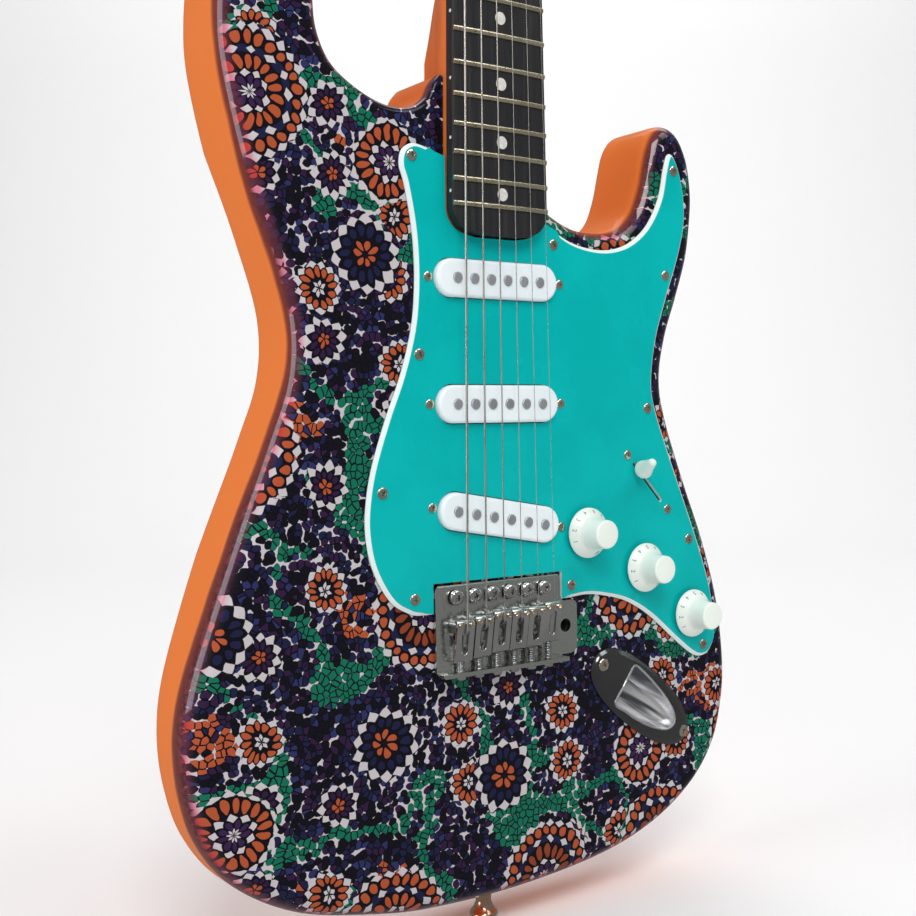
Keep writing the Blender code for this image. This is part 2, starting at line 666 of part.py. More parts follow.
def build_neck():
    """Maple neck: heel block, ramp, rounded shaft and flat headstock."""
    def section(z, depth, square, top=BOARD_JOINT_W, narrow=0.0):
        half = neck_half_width(z) - narrow
        points = []
        for i in range(13):
            angle = math.pi * i / 12.0
            x_round = half * math.cos(angle)
            w_round = top - depth * math.sin(angle) ** 0.8
            box = min(1.0 / max(abs(math.cos(angle)), 1e-6), 1.0 / max(math.sin(angle), 1e-6))
            x_box = half * math.cos(angle) * box
            w_box = top - depth * math.sin(angle) * box
            points.append(at(x_round + (x_box - x_round) * square, w_round + (w_box - w_round) * square, z))
        return points

    heel_depth = POCKET_DEPTH - GAP + BOARD_JOINT_W
    ramp_z = HEEL_TOP_Z + HEEL_REACH
    rings = [section(BOARD_END_Z + rise, heel_depth, 1.0, BOARD_JOINT_W, narrow) for rise, narrow in BOARD_END]
    rings += [
        section(ramp_z, heel_depth, 1.0),
        section(ramp_z + 0.25 * HEEL_RAMP, heel_depth - 0.2, 0.75),
        section(ramp_z + 0.55 * HEEL_RAMP, 0.5 * (heel_depth + NECK_DEPTH_AT_HEEL), 0.5),
        section(ramp_z + HEEL_RAMP, NECK_DEPTH_AT_HEEL, 0.0),
        section(0.5 * (ramp_z + NUT_Z), 0.5 * (NECK_DEPTH_AT_HEEL + NECK_DEPTH_AT_NUT), 0.0),
        section(NUT_Z - 12.0, NECK_DEPTH_AT_NUT, 0.0),
        section(NUT_Z + NUT_LENGTH + NUT_SHELF, NECK_DEPTH_AT_NUT, 0.0),
        section(NUT_Z + NUT_LENGTH + NUT_SHELF + 9.0, NECK_DEPTH_AT_NUT - 2.6, 0.1, HEAD_FACE_W - 0.4, 1.0),
    ]
    neck = add_object("neck", loft(rings), finish("orange neck lacquer", (0.84, 0.25, 0.07), 0.3))

    outline = smooth_line([(x, z + NUT_Z) for x, z in HEAD_OUTLINE], 2)
    rings = []
    edge = HEAD_EDGE
    levels = ((HEAD_FACE_W, edge, 0.0), (HEAD_FACE_W - 0.3 * edge, 0.3 * edge, 0.0), (HEAD_FACE_W - edge, 0.0, 0.1),
              (HEAD_BACK_W + edge, 0.0, 0.8), (HEAD_BACK_W + 0.3 * edge, 0.3 * edge, 0.95), (HEAD_BACK_W, edge, 1.0))
    for w, amount, scoop in levels:
        ring = []
        for x, z in inset(outline, [amount] * len(outline)):
            share = min(max((NUT_Z + HEAD_SCOOP - z) / HEAD_SCOOP, 0.0), 1.0) * scoop
            ring.append(at(x * (1.0 - 0.3 * share), w, z + 6.0 * share))
        rings.append(ring)
    combine(neck, "headstock", loft(rings), "UNION")
    holes = bmesh.new()
    for index in range(6):
        x, z = post_centre(index)
        cylinder(at(x, HEAD_BACK_W - 2.0, z), at(x, HEAD_FACE_W + 2.0, z), BARREL_RADIUS + GAP, 12, holes)
    combine(neck, "tuner holes", holes)
    return neck


def build_fretboard():
    """Crowned fretboard with its frets pressed in, rounded at the body end."""
    def section(z, rise=0.0, narrow=0.0):
        half = neck_half_width(z) - narrow
        ring = [at(-half, BOARD_JOINT_W + GAP, z), at(half, BOARD_JOINT_W + GAP, z)]
        for i in range(5):
            x = half * (1.0 - 0.5 * i)
            ring.append(at(x, board_w(x) + rise, z))
        return ring

    rings = [section(BOARD_END_Z + rise, narrow=narrow) for rise, narrow in BOARD_END[:-1]]
    for number in range(FRET_COUNT, 0, -1):
        z = fret_z(number)
        rings += [
            section(z - 0.5 * FRET_WIDTH), section(z - 0.22 * FRET_WIDTH, FRET_HEIGHT),
            section(z + 0.22 * FRET_WIDTH, FRET_HEIGHT), section(z + 0.5 * FRET_WIDTH),
        ]
    rings.append(section(NUT_Z - GAP))
    return add_object("fretboard", loft(rings), finish("dark fretboard", (0.025, 0.022, 0.025), 0.45))


def build_nut():
    """Nut with a slot for each string."""
    half = 0.5 * NUT_WIDTH
    base = BOARD_JOINT_W + GAP
    profile = [(-half, base), (half, base), (half, board_w(half) + FRET_HEIGHT)]
    for index in reversed(range(6)):
        x = string_x(index, NUT_Z)
        slot = 0.5 * STRING_DIAMETERS[index] + GAP
        bottom = nut_slot_w(index)
        top = bottom + STRING_DIAMETERS[index] + 0.3
        profile += [(x + slot, top), (x + slot, bottom), (x - slot, bottom), (x - slot, top)]
    profile.append((-half, board_w(half) + FRET_HEIGHT))
    return add_object("nut", prism_up(profile, NUT_Z, NUT_Z + NUT_LENGTH), finish("bone nut", (0.86, 0.83, 0.74), 0.4))


def build_tuners(chrome, bright):
    """Six tuners: housing with its barrel, string post, and button on its shaft."""
    along, out = tuner_directions()
    for index in range(6):
        x, z = post_centre(index)
        centre = Vector((x, z))
        back = HEAD_BACK_W - GAP
        corners = [centre + along * (a * 0.5 * TUNER_WIDTH) + out * (b * 0.5 * TUNER_LENGTH)
                   for a, b in ((-1, -1), (1, -1), (1, 1), (-1, 1))]
        outline = rounded_outline([tuple(c) for c in corners], 3.0, 2)
        small = inset(outline, [1.5] * len(outline))
        rings = [[at(px, back, pz) for px, pz in outline],
                 [at(px, back - TUNER_HEIGHT + 1.5, pz) for px, pz in outline],
                 [at(px, back - TUNER_HEIGHT, pz) for px, pz in small]]
        housing = add_object("tuner_housing_%d" % (index + 1), loft(rings), chrome)
        barrel = cylinder(at(x, back - 2.0, z), at(x, HEAD_FACE_W + 1.2, z), BARREL_RADIUS, 12)
        combine(housing, "tuner barrel %d" % index, barrel, "UNION")
        bore = cylinder(at(x, back - 3.0, z), at(x, HEAD_FACE_W + 4.0, z), POST_RADIUS + GAP, 12)
        combine(housing, "post bore %d" % index, bore)
        shaft_w = back - TUNER_SHAFT_OFFSET
        start = centre + out * (0.5 * TUNER_LENGTH - 3.0)
        shaft_start = at(start.x, shaft_w, start.y)
        direction = Vector((out.x, 0.0, out.y))
        side_bore = cylinder(shaft_start - direction * MM, shaft_start + direction * (6.0 * MM),
                             TUNER_SHAFT_RADIUS + GAP, 10)
        combine(housing, "shaft bore %d" % index, side_bore)

        post_base = at(x, back - 3.0 + GAP, z)
        top = POST_TOP_W - (back - 3.0 + GAP)
        string = HEAD_FACE_W + POST_STRING_W - (back - 3.0 + GAP)
        profile = (
            (POST_RADIUS, 0.0), (POST_RADIUS, string - 5.0), (POST_WAIST_RADIUS, string - 4.2),
            (POST_WAIST_RADIUS, string + 0.9), (POST_RADIUS, string + 1.8), (POST_RADIUS, top - 0.5),
            (POST_RADIUS - 0.6, top),
        )
        add_object("tuner_post_%d" % (index + 1), turned(profile, post_base, Vector((0.0, -1.0, 0.0)), 10),
                   bright, at(x, 0.0, z))

        stem = BUTTON_STEM
        profile = (
            (TUNER_SHAFT_RADIUS, 0.0), (TUNER_SHAFT_RADIUS, stem), (5.0, stem + 2.0), (8.4, stem + 5.5),
            (9.2, stem + 9.5), (8.2, stem + 13.5), (4.8, stem + 16.0), (0.0, stem + 16.6),
        )
        button = turned(profile, shaft_start, direction, 10, squash=0.36)
        add_object("tuner_button_%d" % (index + 1), button, bright, shaft_start)


def build_string_tree(bright):
    """Small clip that holds the two highest strings down on the headstock."""
    z = NUT_Z + TREE_ABOVE_NUT
    x = 0.5 * (string_x(4, z) + string_x(5, z))
    over = TREE_STRING_W + 0.5 * STRING_DIAMETERS[4] + GAP
    reach = string_x(5, z) - x + 1.6
    profile = [(x - reach, over), (x - reach, over + 1.2), (x - 2.2, over + 1.8), (x + 2.2, over + 1.8),
               (x + reach, over + 1.2), (x + reach, over), (x + 1.7, over), (x + 1.7, HEAD_FACE_W + GAP),
               (x - 1.7, HEAD_FACE_W + GAP), (x - 1.7, over)]
    return add_object("string_tree", prism_up(profile, z - 2.2, z + 2.2), bright)


def string_path(index):
    """Points of a string from its ball end in the block to its turns on the post."""
    radius = 0.5 * STRING_DIAMETERS[index]
    z_crest = crest_z(index)
    top = crest_w(index) + GAP + radius
    x = saddle_x(index)
    points = [
        at(x, STRING_END_W, STRING_HOLE_Z), at(x, -2.0, STRING_HOLE_Z), at(x, PLATE_TOP_W + 0.5, STRING_HOLE_Z + 0.3),
        at(x, top - 2.0, z_crest - 4.4), at(x, top - 0.25, z_crest - 2.8), at(x, top, z_crest + 0.2),
    ]
    nut_w = nut_slot_w(index) + GAP + radius
    for z in (NUT_Z, NUT_Z + NUT_LENGTH):
        points.append(at(string_x(index, z), nut_w, z))
    if index >= 4:
        z = NUT_Z + TREE_ABOVE_NUT
        low = TREE_STRING_W + 0.5 * (STRING_DIAMETERS[4] - STRING_DIAMETERS[index])
        points.append(at(string_x(index, z - 2.2), low, z - 2.2))
        points.append(at(string_x(index, z + 2.2), low, z + 2.2))
    px, pz = post_centre(index)
    wrap = POST_WAIST_RADIUS + GAP + radius
    pitch = STRING_DIAMETERS[index] + 0.45
    start_w = HEAD_FACE_W + POST_STRING_W - radius
    for step in range(STRING_TURNS * 8 + 1):
        turn = 2.0 * math.pi * step / 8.0
        points.append(at(px + wrap * math.cos(turn), start_w - pitch * step / 8.0, pz + wrap * math.sin(turn)))
    return points


def sweep(points, radius, sides):
    """Tube of constant radius along a list of points, with its rings mitred."""
    rings = []
    side = None
    for i, point in enumerate(points):
        before = points[max(i - 1, 0)]
        after = points[min(i + 1, len(points) - 1)]
        into = (point - before).normalized() if i else (after - point).normalized()
        away = (after - point).normalized() if i < len(points) - 1 else into
        tangent = (into + away).normalized()
        if side is None:
            side = tangent.orthogonal()
        side = (side - tangent * side.dot(tangent)).normalized()
        up = tangent.cross(side)
        ring = []
        for k in range(sides):
            angle = 2.0 * math.pi * k / sides
            ring.append(point + (side * math.cos(angle) + up * math.sin(angle)) * (radius * MM))
        rings.append(ring)
    return loft(rings)


def build_strings():
    """Six strings, each one tube from the block to its post."""
    steel = finish("string steel", (0.72, 0.71, 0.68), 0.28, 1.0)
    for index in range(6):
        add_object("string_%d" % (index + 1), sweep(string_path(index), 0.5 * STRING_DIAMETERS[index], 6), steel)


def slant_direction(name):
    """Direction of a pickup's long side."""
    angle = math.radians(PICKUP_SLANTS[name])
    return math.cos(angle), math.sin(angle)


def build_pickguard():
    """Bevelled pickguard with its holes for the pickups, shafts and selector."""
    side = board_end(2.0 * GAP)
    left = side[-1][0]
    bridge_left = -PLATE_HALF_WIDTH - 1.4
    bridge_top = PLATE_FRONT_Z + 2.0
    bass = smooth_line([(x, z + TAIL_Z) for x, z in GUARD_BASS_EDGE], 2)
    treble = smooth_line([(x, z + TAIL_Z) for x, z in GUARD_TREBLE_EDGE], 2)
    outline = (
        list(reversed(side)) + [(-x, z) for x, z in side] + [(-left, bass[0][1] - 1.5)] + bass
        + [(bridge_left, bass[-1][1]), (bridge_left, bridge_top), (-bridge_left, bridge_top),
           (-bridge_left, treble[0][1])]
        + treble + [(left, treble[-1][1] + 2.5)]
    )
    amounts = [GUARD_BEVEL] * len(outline)
    for i, (x, z) in enumerate(outline):
        if abs(x) <= max(left, -bridge_left) + 0.01:
            amounts[i] = 0.15
    rings = [
        [at(x, GAP, z) for x, z in outline], [at(x, GAP + 0.3 * GUARD_THICKNESS, z) for x, z in outline],
        [at(x, GUARD_TOP_W, z) for x, z in inset(outline, amounts)],
    ]
    guard = add_object("pickguard", loft(rings), finish("teal pickguard", (0.0, 0.4, 0.38), 0.3))
    holes = bmesh.new()
    for name, height in PICKUP_HEIGHTS.items():
        centre = (0.0, TAIL_Z + height)
        slot = stadium(centre, slant_direction(name), PICKUP_LENGTH + 2.0 * PICKUP_CLEARANCE,
                       PICKUP_WIDTH + 2.0 * PICKUP_CLEARANCE, 6)
        prism(slot, -2.0, GUARD_TOP_W + 2.0, holes)
    for x, height in KNOB_PLACES.values():
        z = TAIL_Z + height
        cylinder(at(x, -2.0, z), at(x, GUARD_TOP_W + 2.0, z), BUSHING_RADIUS + GAP, 12, holes)
    slot = stadium((SELECTOR_CENTRE[0], SELECTOR_CENTRE[1] + TAIL_Z), SELECTOR_DIRECTION,
                   SELECTOR_SLOT_LENGTH, SELECTOR_SLOT_WIDTH, 2)
    prism(slot, -2.0, GUARD_TOP_W + 2.0, holes)
    combine(guard, "pickguard holes", holes)
    return guard


def build_pickups():
    """Three single-coil pickups: base, rounded cover and six pole pieces."""
    white = finish("white pickup cover", (0.82, 0.80, 0.86), 0.35)
    for name, height in PICKUP_HEIGHTS.items():
        centre = (0.0, TAIL_Z + height)
        direction = slant_direction(name)
        outline = stadium(centre, direction, PICKUP_LENGTH, PICKUP_WIDTH, 5)
        rings = [
            [at(x, PICKUP_BASE_W - 6.0, z) for x, z in outline],
            [at(x, PICKUP_TOP_W - PICKUP_EDGE, z) for x, z in outline],
            [at(x, PICKUP_TOP_W, z) for x, z in inset(outline, [PICKUP_EDGE] * len(outline))],
        ]
        origin = at(0.0, PICKUP_TOP_W, centre[1])
        pickup = add_object("pickup_" + name, loft(rings), white, origin)
        base = stadium(centre, direction, PICKUP_BASE_LENGTH, PICKUP_BASE_WIDTH, 4)
        combine(pickup, name + " pickup base", prism(base, PICKUP_BASE_W - 2.5, PICKUP_BASE_W), "UNION")
        poles = bmesh.new()
        for index in range(6):
            reach = POLE_SPANS[name] * (index / 5.0 - 0.5)
            x = reach * direction[0]
            z = centre[1] + reach * direction[1]
            cylinder(at(x, 0.0, z), at(x, PICKUP_TOP_W + POLE_HEIGHT, z), POLE_RADIUS, 8, poles)
        combine(pickup, name + " pole pieces", poles, "UNION")


def build_controls(metal):
    """Potentiometers under the pickguard and the skirted knobs on their shafts."""
    mint = finish("mint white knob", (0.80, 0.86, 0.80), 0.4)
    forward = Vector((0.0, -1.0, 0.0))
    knob_w = GUARD_TOP_W + KNOB_CLEARANCE
    bushing_w = GUARD_TOP_W + 3.0
    shaft_w = -4.0
    for name, (x, height) in KNOB_PLACES.items():
        z = TAIL_Z + height
        profile = (
            (0.0, -POT_DEPTH), (POT_RADIUS, -POT_DEPTH), (POT_RADIUS, -3.0), (8.0, -3.0), (8.0, 0.0),
            (BUSHING_RADIUS, 0.0), (BUSHING_RADIUS, bushing_w), (SHAFT_RADIUS + GAP, bushing_w),
            (SHAFT_RADIUS + GAP, shaft_w - GAP), (0.0, shaft_w - GAP),
        )
        add_object("pot_" + name, turned(profile, at(x, 0.0, z), forward, 12), metal)
        top = knob_w + KNOB_HEIGHT
        profile = (
            (0.0, shaft_w), (SHAFT_RADIUS, shaft_w), (SHAFT_RADIUS, bushing_w + 1.0),
            (BUSHING_RADIUS + 0.8, bushing_w + 1.0), (BUSHING_RADIUS + 0.8, knob_w),
            (KNOB_SKIRT_RADIUS, knob_w), (KNOB_SKIRT_RADIUS, knob_w + 1.0),
            (KNOB_TOP_RADIUS + 1.5, knob_w + 4.4), (KNOB_TOP_RADIUS + 0.7, knob_w + 6.0),
            (KNOB_TOP_RADIUS, top - 1.0), (KNOB_TOP_RADIUS - 0.8, top), (0.0, top + 0.3),
        )
        add_object("knob_" + name, turned(profile, at(x, 0.0, z), forward, 16), mint, at(x, knob_w, z))


def selector_frame():
    """Pivot, slot direction, lever direction and hinge axis of the pickup selector."""
    slot = Vector((SELECTOR_DIRECTION[0], 0.0, SELECTOR_DIRECTION[1])).normalized()
    pivot = at(SELECTOR_CENTRE[0], SELECTOR_PIVOT_W, SELECTOR_CENTRE[1] + TAIL_Z)
    forward = Vector((0.0, -1.0, 0.0))
    lean = math.radians(SELECTOR_LEAN)
    lever = forward * math.cos(lean) - slot * math.sin(lean)
    return pivot, slot, lever, forward.cross(slot)


def build_selector(metal):
    """Pickup selector: channel under the pickguard, lever and teardrop tip."""
    pivot, slot, lever, axis = selector_frame()
    centre = at(SELECTOR_CENTRE[0], 0.0, SELECTOR_CENTRE[1] + TAIL_Z)
    forward = Vector((0.0, -1.0, 0.0))
    inner = 2.4
    outer = inner + 1.4
    deep = SELECTOR_PIVOT_W - 5.0
    section = ((-outer, deep), (-inner, deep), (-inner, -1.5), (inner, -1.5), (inner, deep), (outer, deep),
               (outer, -1.5), (6.5, -1.5), (6.5, 0.0), (-6.5, 0.0), (-6.5, -1.5), (-outer, -1.5))
    half = 0.5 * SELECTOR_SLOT_LENGTH + 7.8
    rings = [[centre + (axis * a + forward * w + slot * s) * MM for a, w in section] for s in (-half, half)]
    switch = add_object("selector_switch", loft(rings), metal)
    opening = stadium((SELECTOR_CENTRE[0], SELECTOR_CENTRE[1] + TAIL_Z), SELECTOR_DIRECTION,
                      SELECTOR_SLOT_LENGTH + 3.0, 2.0 * inner, 2)
    combine(switch, "lever opening", prism(opening, -4.0, 3.0))

    side = lever.cross(axis)
    thick = 0.5 * LEVER_THICKNESS
    wide = 0.5 * LEVER_WIDTH
    rings = []
    for along, t, s in ((-4.0, 0.0, 0.0), (-3.0, 1.0, 0.7), (LEVER_REACH - 1.0, 1.0, 0.8), (LEVER_REACH, 1.0, 0.5)):
        ring = []
        for a, b in ((-1, -1), (1, -1), (1, 1), (-1, 1)):
            ring.append(pivot + (lever * along + axis * (a * thick) + side * (b * wide * max(s, 0.4))) * MM)
        rings.append(ring)
    blade = add_object("selector_lever", loft(rings), metal, pivot)
    hub = cylinder(pivot - axis * ((inner - GAP) * MM), pivot + axis * ((inner - GAP) * MM), 3.0, 10)
    combine(blade, "lever hub", hub, "UNION")

    mint = finish("mint selector tip", (0.72, 0.86, 0.76), 0.35)
    profile = ((TIP_BASE_RADIUS - 2.0, 0.0), (TIP_BASE_RADIUS, 2.2), (TIP_BASE_RADIUS - 0.3, 3.8),
               (TIP_BASE_RADIUS - 1.2, 6.5), (TIP_END_RADIUS + 0.5, TIP_LENGTH - 3.0),
               (TIP_END_RADIUS, TIP_LENGTH - 1.0), (0.0, TIP_LENGTH))
    base = pivot + lever * (TIP_BASE_REACH * MM)
    tip = add_object("selector_tip", turned(profile, base, lever, 12), mint, pivot)
    rings = []
    for along in (-1.0, LEVER_REACH - TIP_BASE_REACH + GAP):
        rings.append([base + (lever * along + axis * (a * (thick + GAP)) + side * (b * (0.8 * wide + GAP))) * MM
                      for a, b in ((-1, -1), (1, -1), (1, 1), (-1, 1))])
    combine(tip, "lever pocket", loft(rings))


def build_bridge(chrome):
    """Tremolo bridge: bent plate with its flange and tab, and the block below it."""
    under = GAP
    chamfer = under + 0.55 * PLATE_THICKNESS
    profile = [
        (PLATE_FRONT_Z, chamfer), (PIVOT_Z, under), (PLATE_REAR_Z, under),
        (PLATE_REAR_Z, FLANGE_HEIGHT), (PLATE_REAR_Z + FLANGE_THICKNESS, FLANGE_HEIGHT),
        (PLATE_REAR_Z + FLANGE_THICKNESS, PLATE_TOP_W), (PLATE_FRONT_Z - 0.5, PLATE_TOP_W),
        (PLATE_FRONT_Z, PLATE_TOP_W - 0.5),
    ]
    origin = at(0.0, under, PIVOT_Z)
    bm = prism_across(profile, -PLATE_HALF_WIDTH - 4.0, PLATE_TAB_REACH + 4.0)
    plate = add_object("bridge_plate", bm, chrome, origin)
    tab_z = PLATE_FRONT_Z - PLATE_TAB_FROM
    corners = [
        (-PLATE_HALF_WIDTH, PLATE_REAR_Z - 0.5), (PLATE_TAB_REACH, PLATE_REAR_Z - 0.5), (PLATE_TAB_REACH, tab_z),
        (PLATE_HALF_WIDTH, tab_z), (PLATE_HALF_WIDTH, PLATE_FRONT_Z + 0.5),
        (-PLATE_HALF_WIDTH, PLATE_FRONT_Z + 0.5),
    ]
    outline = rounded_outline(corners, 3.0, 3)
    combine(plate, "plate outline", prism(outline, -4.0, FLANGE_HEIGHT + 4.0), "INTERSECT")
    trim = box_outline(PLATE_HALF_WIDTH + 1.0, PLATE_TAB_REACH + 5.0, PLATE_REAR_Z - 3.0,
                       PLATE_REAR_Z + FLANGE_THICKNESS + 0.5)
    combine(plate, "flange end", prism(trim, -4.0, FLANGE_HEIGHT + 4.0))
    holes = bmesh.new()
    for index in range(6):
        x = saddle_x(index)
        cylinder(at(x, -3.0, STRING_HOLE_Z), at(x, 6.0, STRING_HOLE_Z), STRING_HOLE_RADIUS, 8, holes)
    cylinder(at(ARM_HOLE_ACROSS, -3.0, ARM_HOLE_Z), at(ARM_HOLE_ACROSS, 6.0, ARM_HOLE_Z), ARM_HOLE_RADIUS, 12, holes)
    combine(plate, "plate holes", holes)

    left = -PLATE_HALF_WIDTH + BLOCK_REACH
    right = ARM_HOLE_ACROSS + BLOCK_REACH
    outline = rounded_outline(box_outline(left, right, STRING_HOLE_Z - 0.5 * BLOCK_LENGTH,
                                          STRING_HOLE_Z + 0.5 * BLOCK_LENGTH), 1.5, 1)
    steel = finish("cast block", (0.42, 0.42, 0.44), 0.4, 1.0)
    block = add_object("tremolo_block", prism(outline, -BLOCK_DEPTH, under - GAP), steel, origin)
    holes = bmesh.new()
    for index in range(6):
        x = saddle_x(index)
        cylinder(at(x, -BLOCK_DEPTH - 3.0, STRING_HOLE_Z), at(x, 3.0, STRING_HOLE_Z), STRING_HOLE_RADIUS, 8, holes)
    arm_end = -0.5 * BLOCK_DEPTH
    cylinder(at(ARM_HOLE_ACROSS, arm_end, ARM_HOLE_Z), at(ARM_HOLE_ACROSS, 3.0, ARM_HOLE_Z),
             ARM_HOLE_RADIUS, 12, holes)
    combine(block, "block holes", holes)


def build_saddles(chrome):
    """Six bent-steel saddles with their height screws, each stood on the bridge plate."""
    for index in range(6):
        x = saddle_x(index)
        z = crest_z(index)
        top = crest_w(index)
        rear_w = top - 2.6
        foot = PLATE_TOP_W + 1.0
        sheet = SADDLE_SHEET
        rear = z - SADDLE_LENGTH
        profile = [
            (z + SADDLE_LIP, top - 2.4), (z + SADDLE_LIP - 0.3, top - 0.9), (z + 0.9, top), (z - 0.4, top),
            (rear + 1.4, rear_w), (rear + 0.4, rear_w - 0.5), (rear, rear_w - 1.5), (rear, foot),
            (rear + sheet, foot), (rear + sheet, rear_w - sheet - 0.6), (z - 0.4, top - sheet),
            (z + SADDLE_LIP - sheet, top - 2.4),
        ]
        half = 0.5 * SADDLE_WIDTH
        saddle = add_object("saddle_%d" % (index + 1), prism_across(profile, x - half, x + half), chrome,
                            at(x, top, z))
        slot = stadium((x, z - SADDLE_SLOT_START - 0.5 * SADDLE_SLOT_LENGTH), (0.0, 1.0), SADDLE_SLOT_LENGTH, SADDLE_SLOT_WIDTH, 3)
        combine(saddle, "saddle slot %d" % index, prism(slot, 5.0, 16.0))
        screws = bmesh.new()
        for side in (-0.5, 0.5):
            place = x + side * HEIGHT_SCREW_SPACING
            cylinder(at(place, PLATE_TOP_W + GAP, z - 0.5), at(place, top + 0.4, z - 0.5),
                     HEIGHT_SCREW_RADIUS, 8, screws)
        combine(saddle, "height screws %d" % index, screws, "UNION")


def build_spring_side(metal):
    """Spring claw with its screws, three springs, back cover and neck plate."""
    claw_z = TAIL_Z + CLAW_ABOVE_TAIL
    wall_z = TAIL_Z + SPRING_ROUTE_TOP
    mid_w = BACK_W + 0.5 * SPRING_ROUTE_DEPTH
    half = 0.5 * CLAW_WIDTH
    teeth = [(half, -4.0), (half, 4.0), (-half, 4.0), (-half, -4.0)]
    for place in SPRING_PLACES:
        teeth += [(place - 2.0, -4.0), (place - 2.0, -1.5), (place + 2.0, -1.5), (place + 2.0, -4.0)]
    claw = add_object("spring_claw", prism_up([(x, mid_w + w) for x, w in teeth], claw_z, claw_z + 2.0), metal)
    screws = bmesh.new()
    for x in (-0.5 * CLAW_WIDTH + 6.0, 0.5 * CLAW_WIDTH - 6.0):
        cylinder(at(x, mid_w, claw_z - 2.5), at(x, mid_w, wall_z - GAP), 1.9, 8, screws)
    combine(claw, "claw screws", screws, "UNION")
    block_z = STRING_HOLE_Z + 0.5 * BLOCK_LENGTH
    low_w = mid_w - 3.0
    for number, x in enumerate(SPRING_PLACES):
        start = at(x, low_w, block_z + GAP)
        length = (claw_z - GAP - block_z - GAP)
        profile = [(0.8, 0.0), (0.8, 5.0), (SPRING_RADIUS - 0.8, 6.0)]
        turns = 5
        for turn in range(turns):
            share = 7.0 + (length - 14.0) * turn / turns
            profile += [(SPRING_RADIUS, share + 1.0), (SPRING_RADIUS - 0.6, share + 0.5 * (length - 14.0) / turns)]
        profile += [(SPRING_RADIUS - 0.8, length - 6.0), (0.8, length - 5.0), (0.8, length)]
        add_object("tremolo_spring_%d" % (number + 1), turned(profile, start, Vector((0.0, 0.0, 1.0)), 6), metal)

    low = STRING_HOLE_Z - 0.5 * BLOCK_LENGTH - BLOCK_SWING_ROOM - COVER_MARGIN
    half = 0.5 * COVER_WIDTH
    outline = rounded_outline(box_outline(-half, half, low, wall_z + COVER_MARGIN), 8.0, 3)
    cover_material = finish("white back cover", (0.85, 0.86, 0.84), 0.4)
    cover = add_object("back_cover", prism(outline, BACK_W - GAP - COVER_THICKNESS, BACK_W - GAP), cover_material)
    slot = stadium((0.0, STRING_HOLE_Z - 1.0), (1.0, 0.0), STRING_SPREAD_BRIDGE + 16.0, COVER_SLOT_HEIGHT, 4)
    combine(cover, "string slot", prism(slot, BACK_W - 6.0, BACK_W + 1.0))

    low = HEEL_TOP_Z - NECK_PLATE_SET_BACK - 0.5 * NECK_PLATE_LENGTH
    half = 0.5 * NECK_PLATE_WIDTH
    outline = rounded_outline(box_outline(-half, half, low, low + NECK_PLATE_LENGTH), 5.0, 3)
    plate_w = BACK_W - GAP - NECK_PLATE_THICKNESS
    rings = [[at(x, BACK_W - GAP, z) for x, z in outline], [at(x, plate_w + 0.4, z) for x, z in outline],
             [at(x, plate_w, z) for x, z in inset(outline, [0.4] * len(outline))]]
    add_object("neck_plate", loft(rings), metal)


def jack_outline(half_length, half_width, limit=1000.0, count=24):
    """Boat-shaped oval turned along the jack plate, squared off at a limit along it."""
    along = Vector(JACK_DIRECTION).normalized()
    across = Vector((-along.y, along.x))
    centre = Vector((JACK_CENTRE[0], JACK_CENTRE[1] + TAIL_Z))
    outline = []
    for i in range(count):
        angle = 2.0 * math.pi * i / count
        power = 0.92 if math.cos(angle) > 0.0 else 0.84
        reach = math.copysign(abs(math.cos(angle)) ** power, math.cos(angle)) * half_length
        reach = min(max(reach, -limit), limit)
        width = math.copysign(abs(math.sin(angle)) ** power, math.sin(angle)) * half_width
        outline.append(tuple(centre + along * reach + across * width))
    return outline


def jack_dish(grow, top_w):
    """Scooped dish under the jack plate's opening, grown by the sheet's thickness."""
    along = Vector(JACK_DIRECTION).normalized()
    across = Vector((-along.y, along.x))
    centre = Vector((JACK_CENTRE[0], JACK_CENTRE[1] + TAIL_Z))
    steps = ((JACK_DISH[0][0], JACK_DISH_DEEP_W), (26.0, JACK_DISH_SHALLOW_W))
    rings = []
    for share, shrink in ((0.0, 0.0), (0.7, 0.8), (1.0, 3.6)):
        points = inset(JACK_DISH, [shrink - grow] * len(JACK_DISH))
        ring = []
        for a, b in points:
            floor = interpolate(steps, a) - grow
            place = centre + along * a + across * b
            ring.append(at(place.x, top_w + (floor - top_w) * share, place.y))
        rings.append(ring)
    return loft(rings)


def socket_line():
    """Centre of the dish's end wall and the direction that a plug goes in along."""
    along = Vector(JACK_DIRECTION).normalized()
    end = JACK_DISH[0][0]
    place = Vector((JACK_CENTRE[0], JACK_CENTRE[1] + TAIL_Z)) + along * end - Vector((-along.y, along.x)) * 0.8
    slope = (JACK_DISH_SHALLOW_W - JACK_DISH_DEEP_W) / (26.0 - end)
    direction = Vector((-along.x, slope * 0.7, -along.y)).normalized()
    return at(place.x, 0.5 * JACK_DISH_DEEP_W - 0.2, place.y), direction


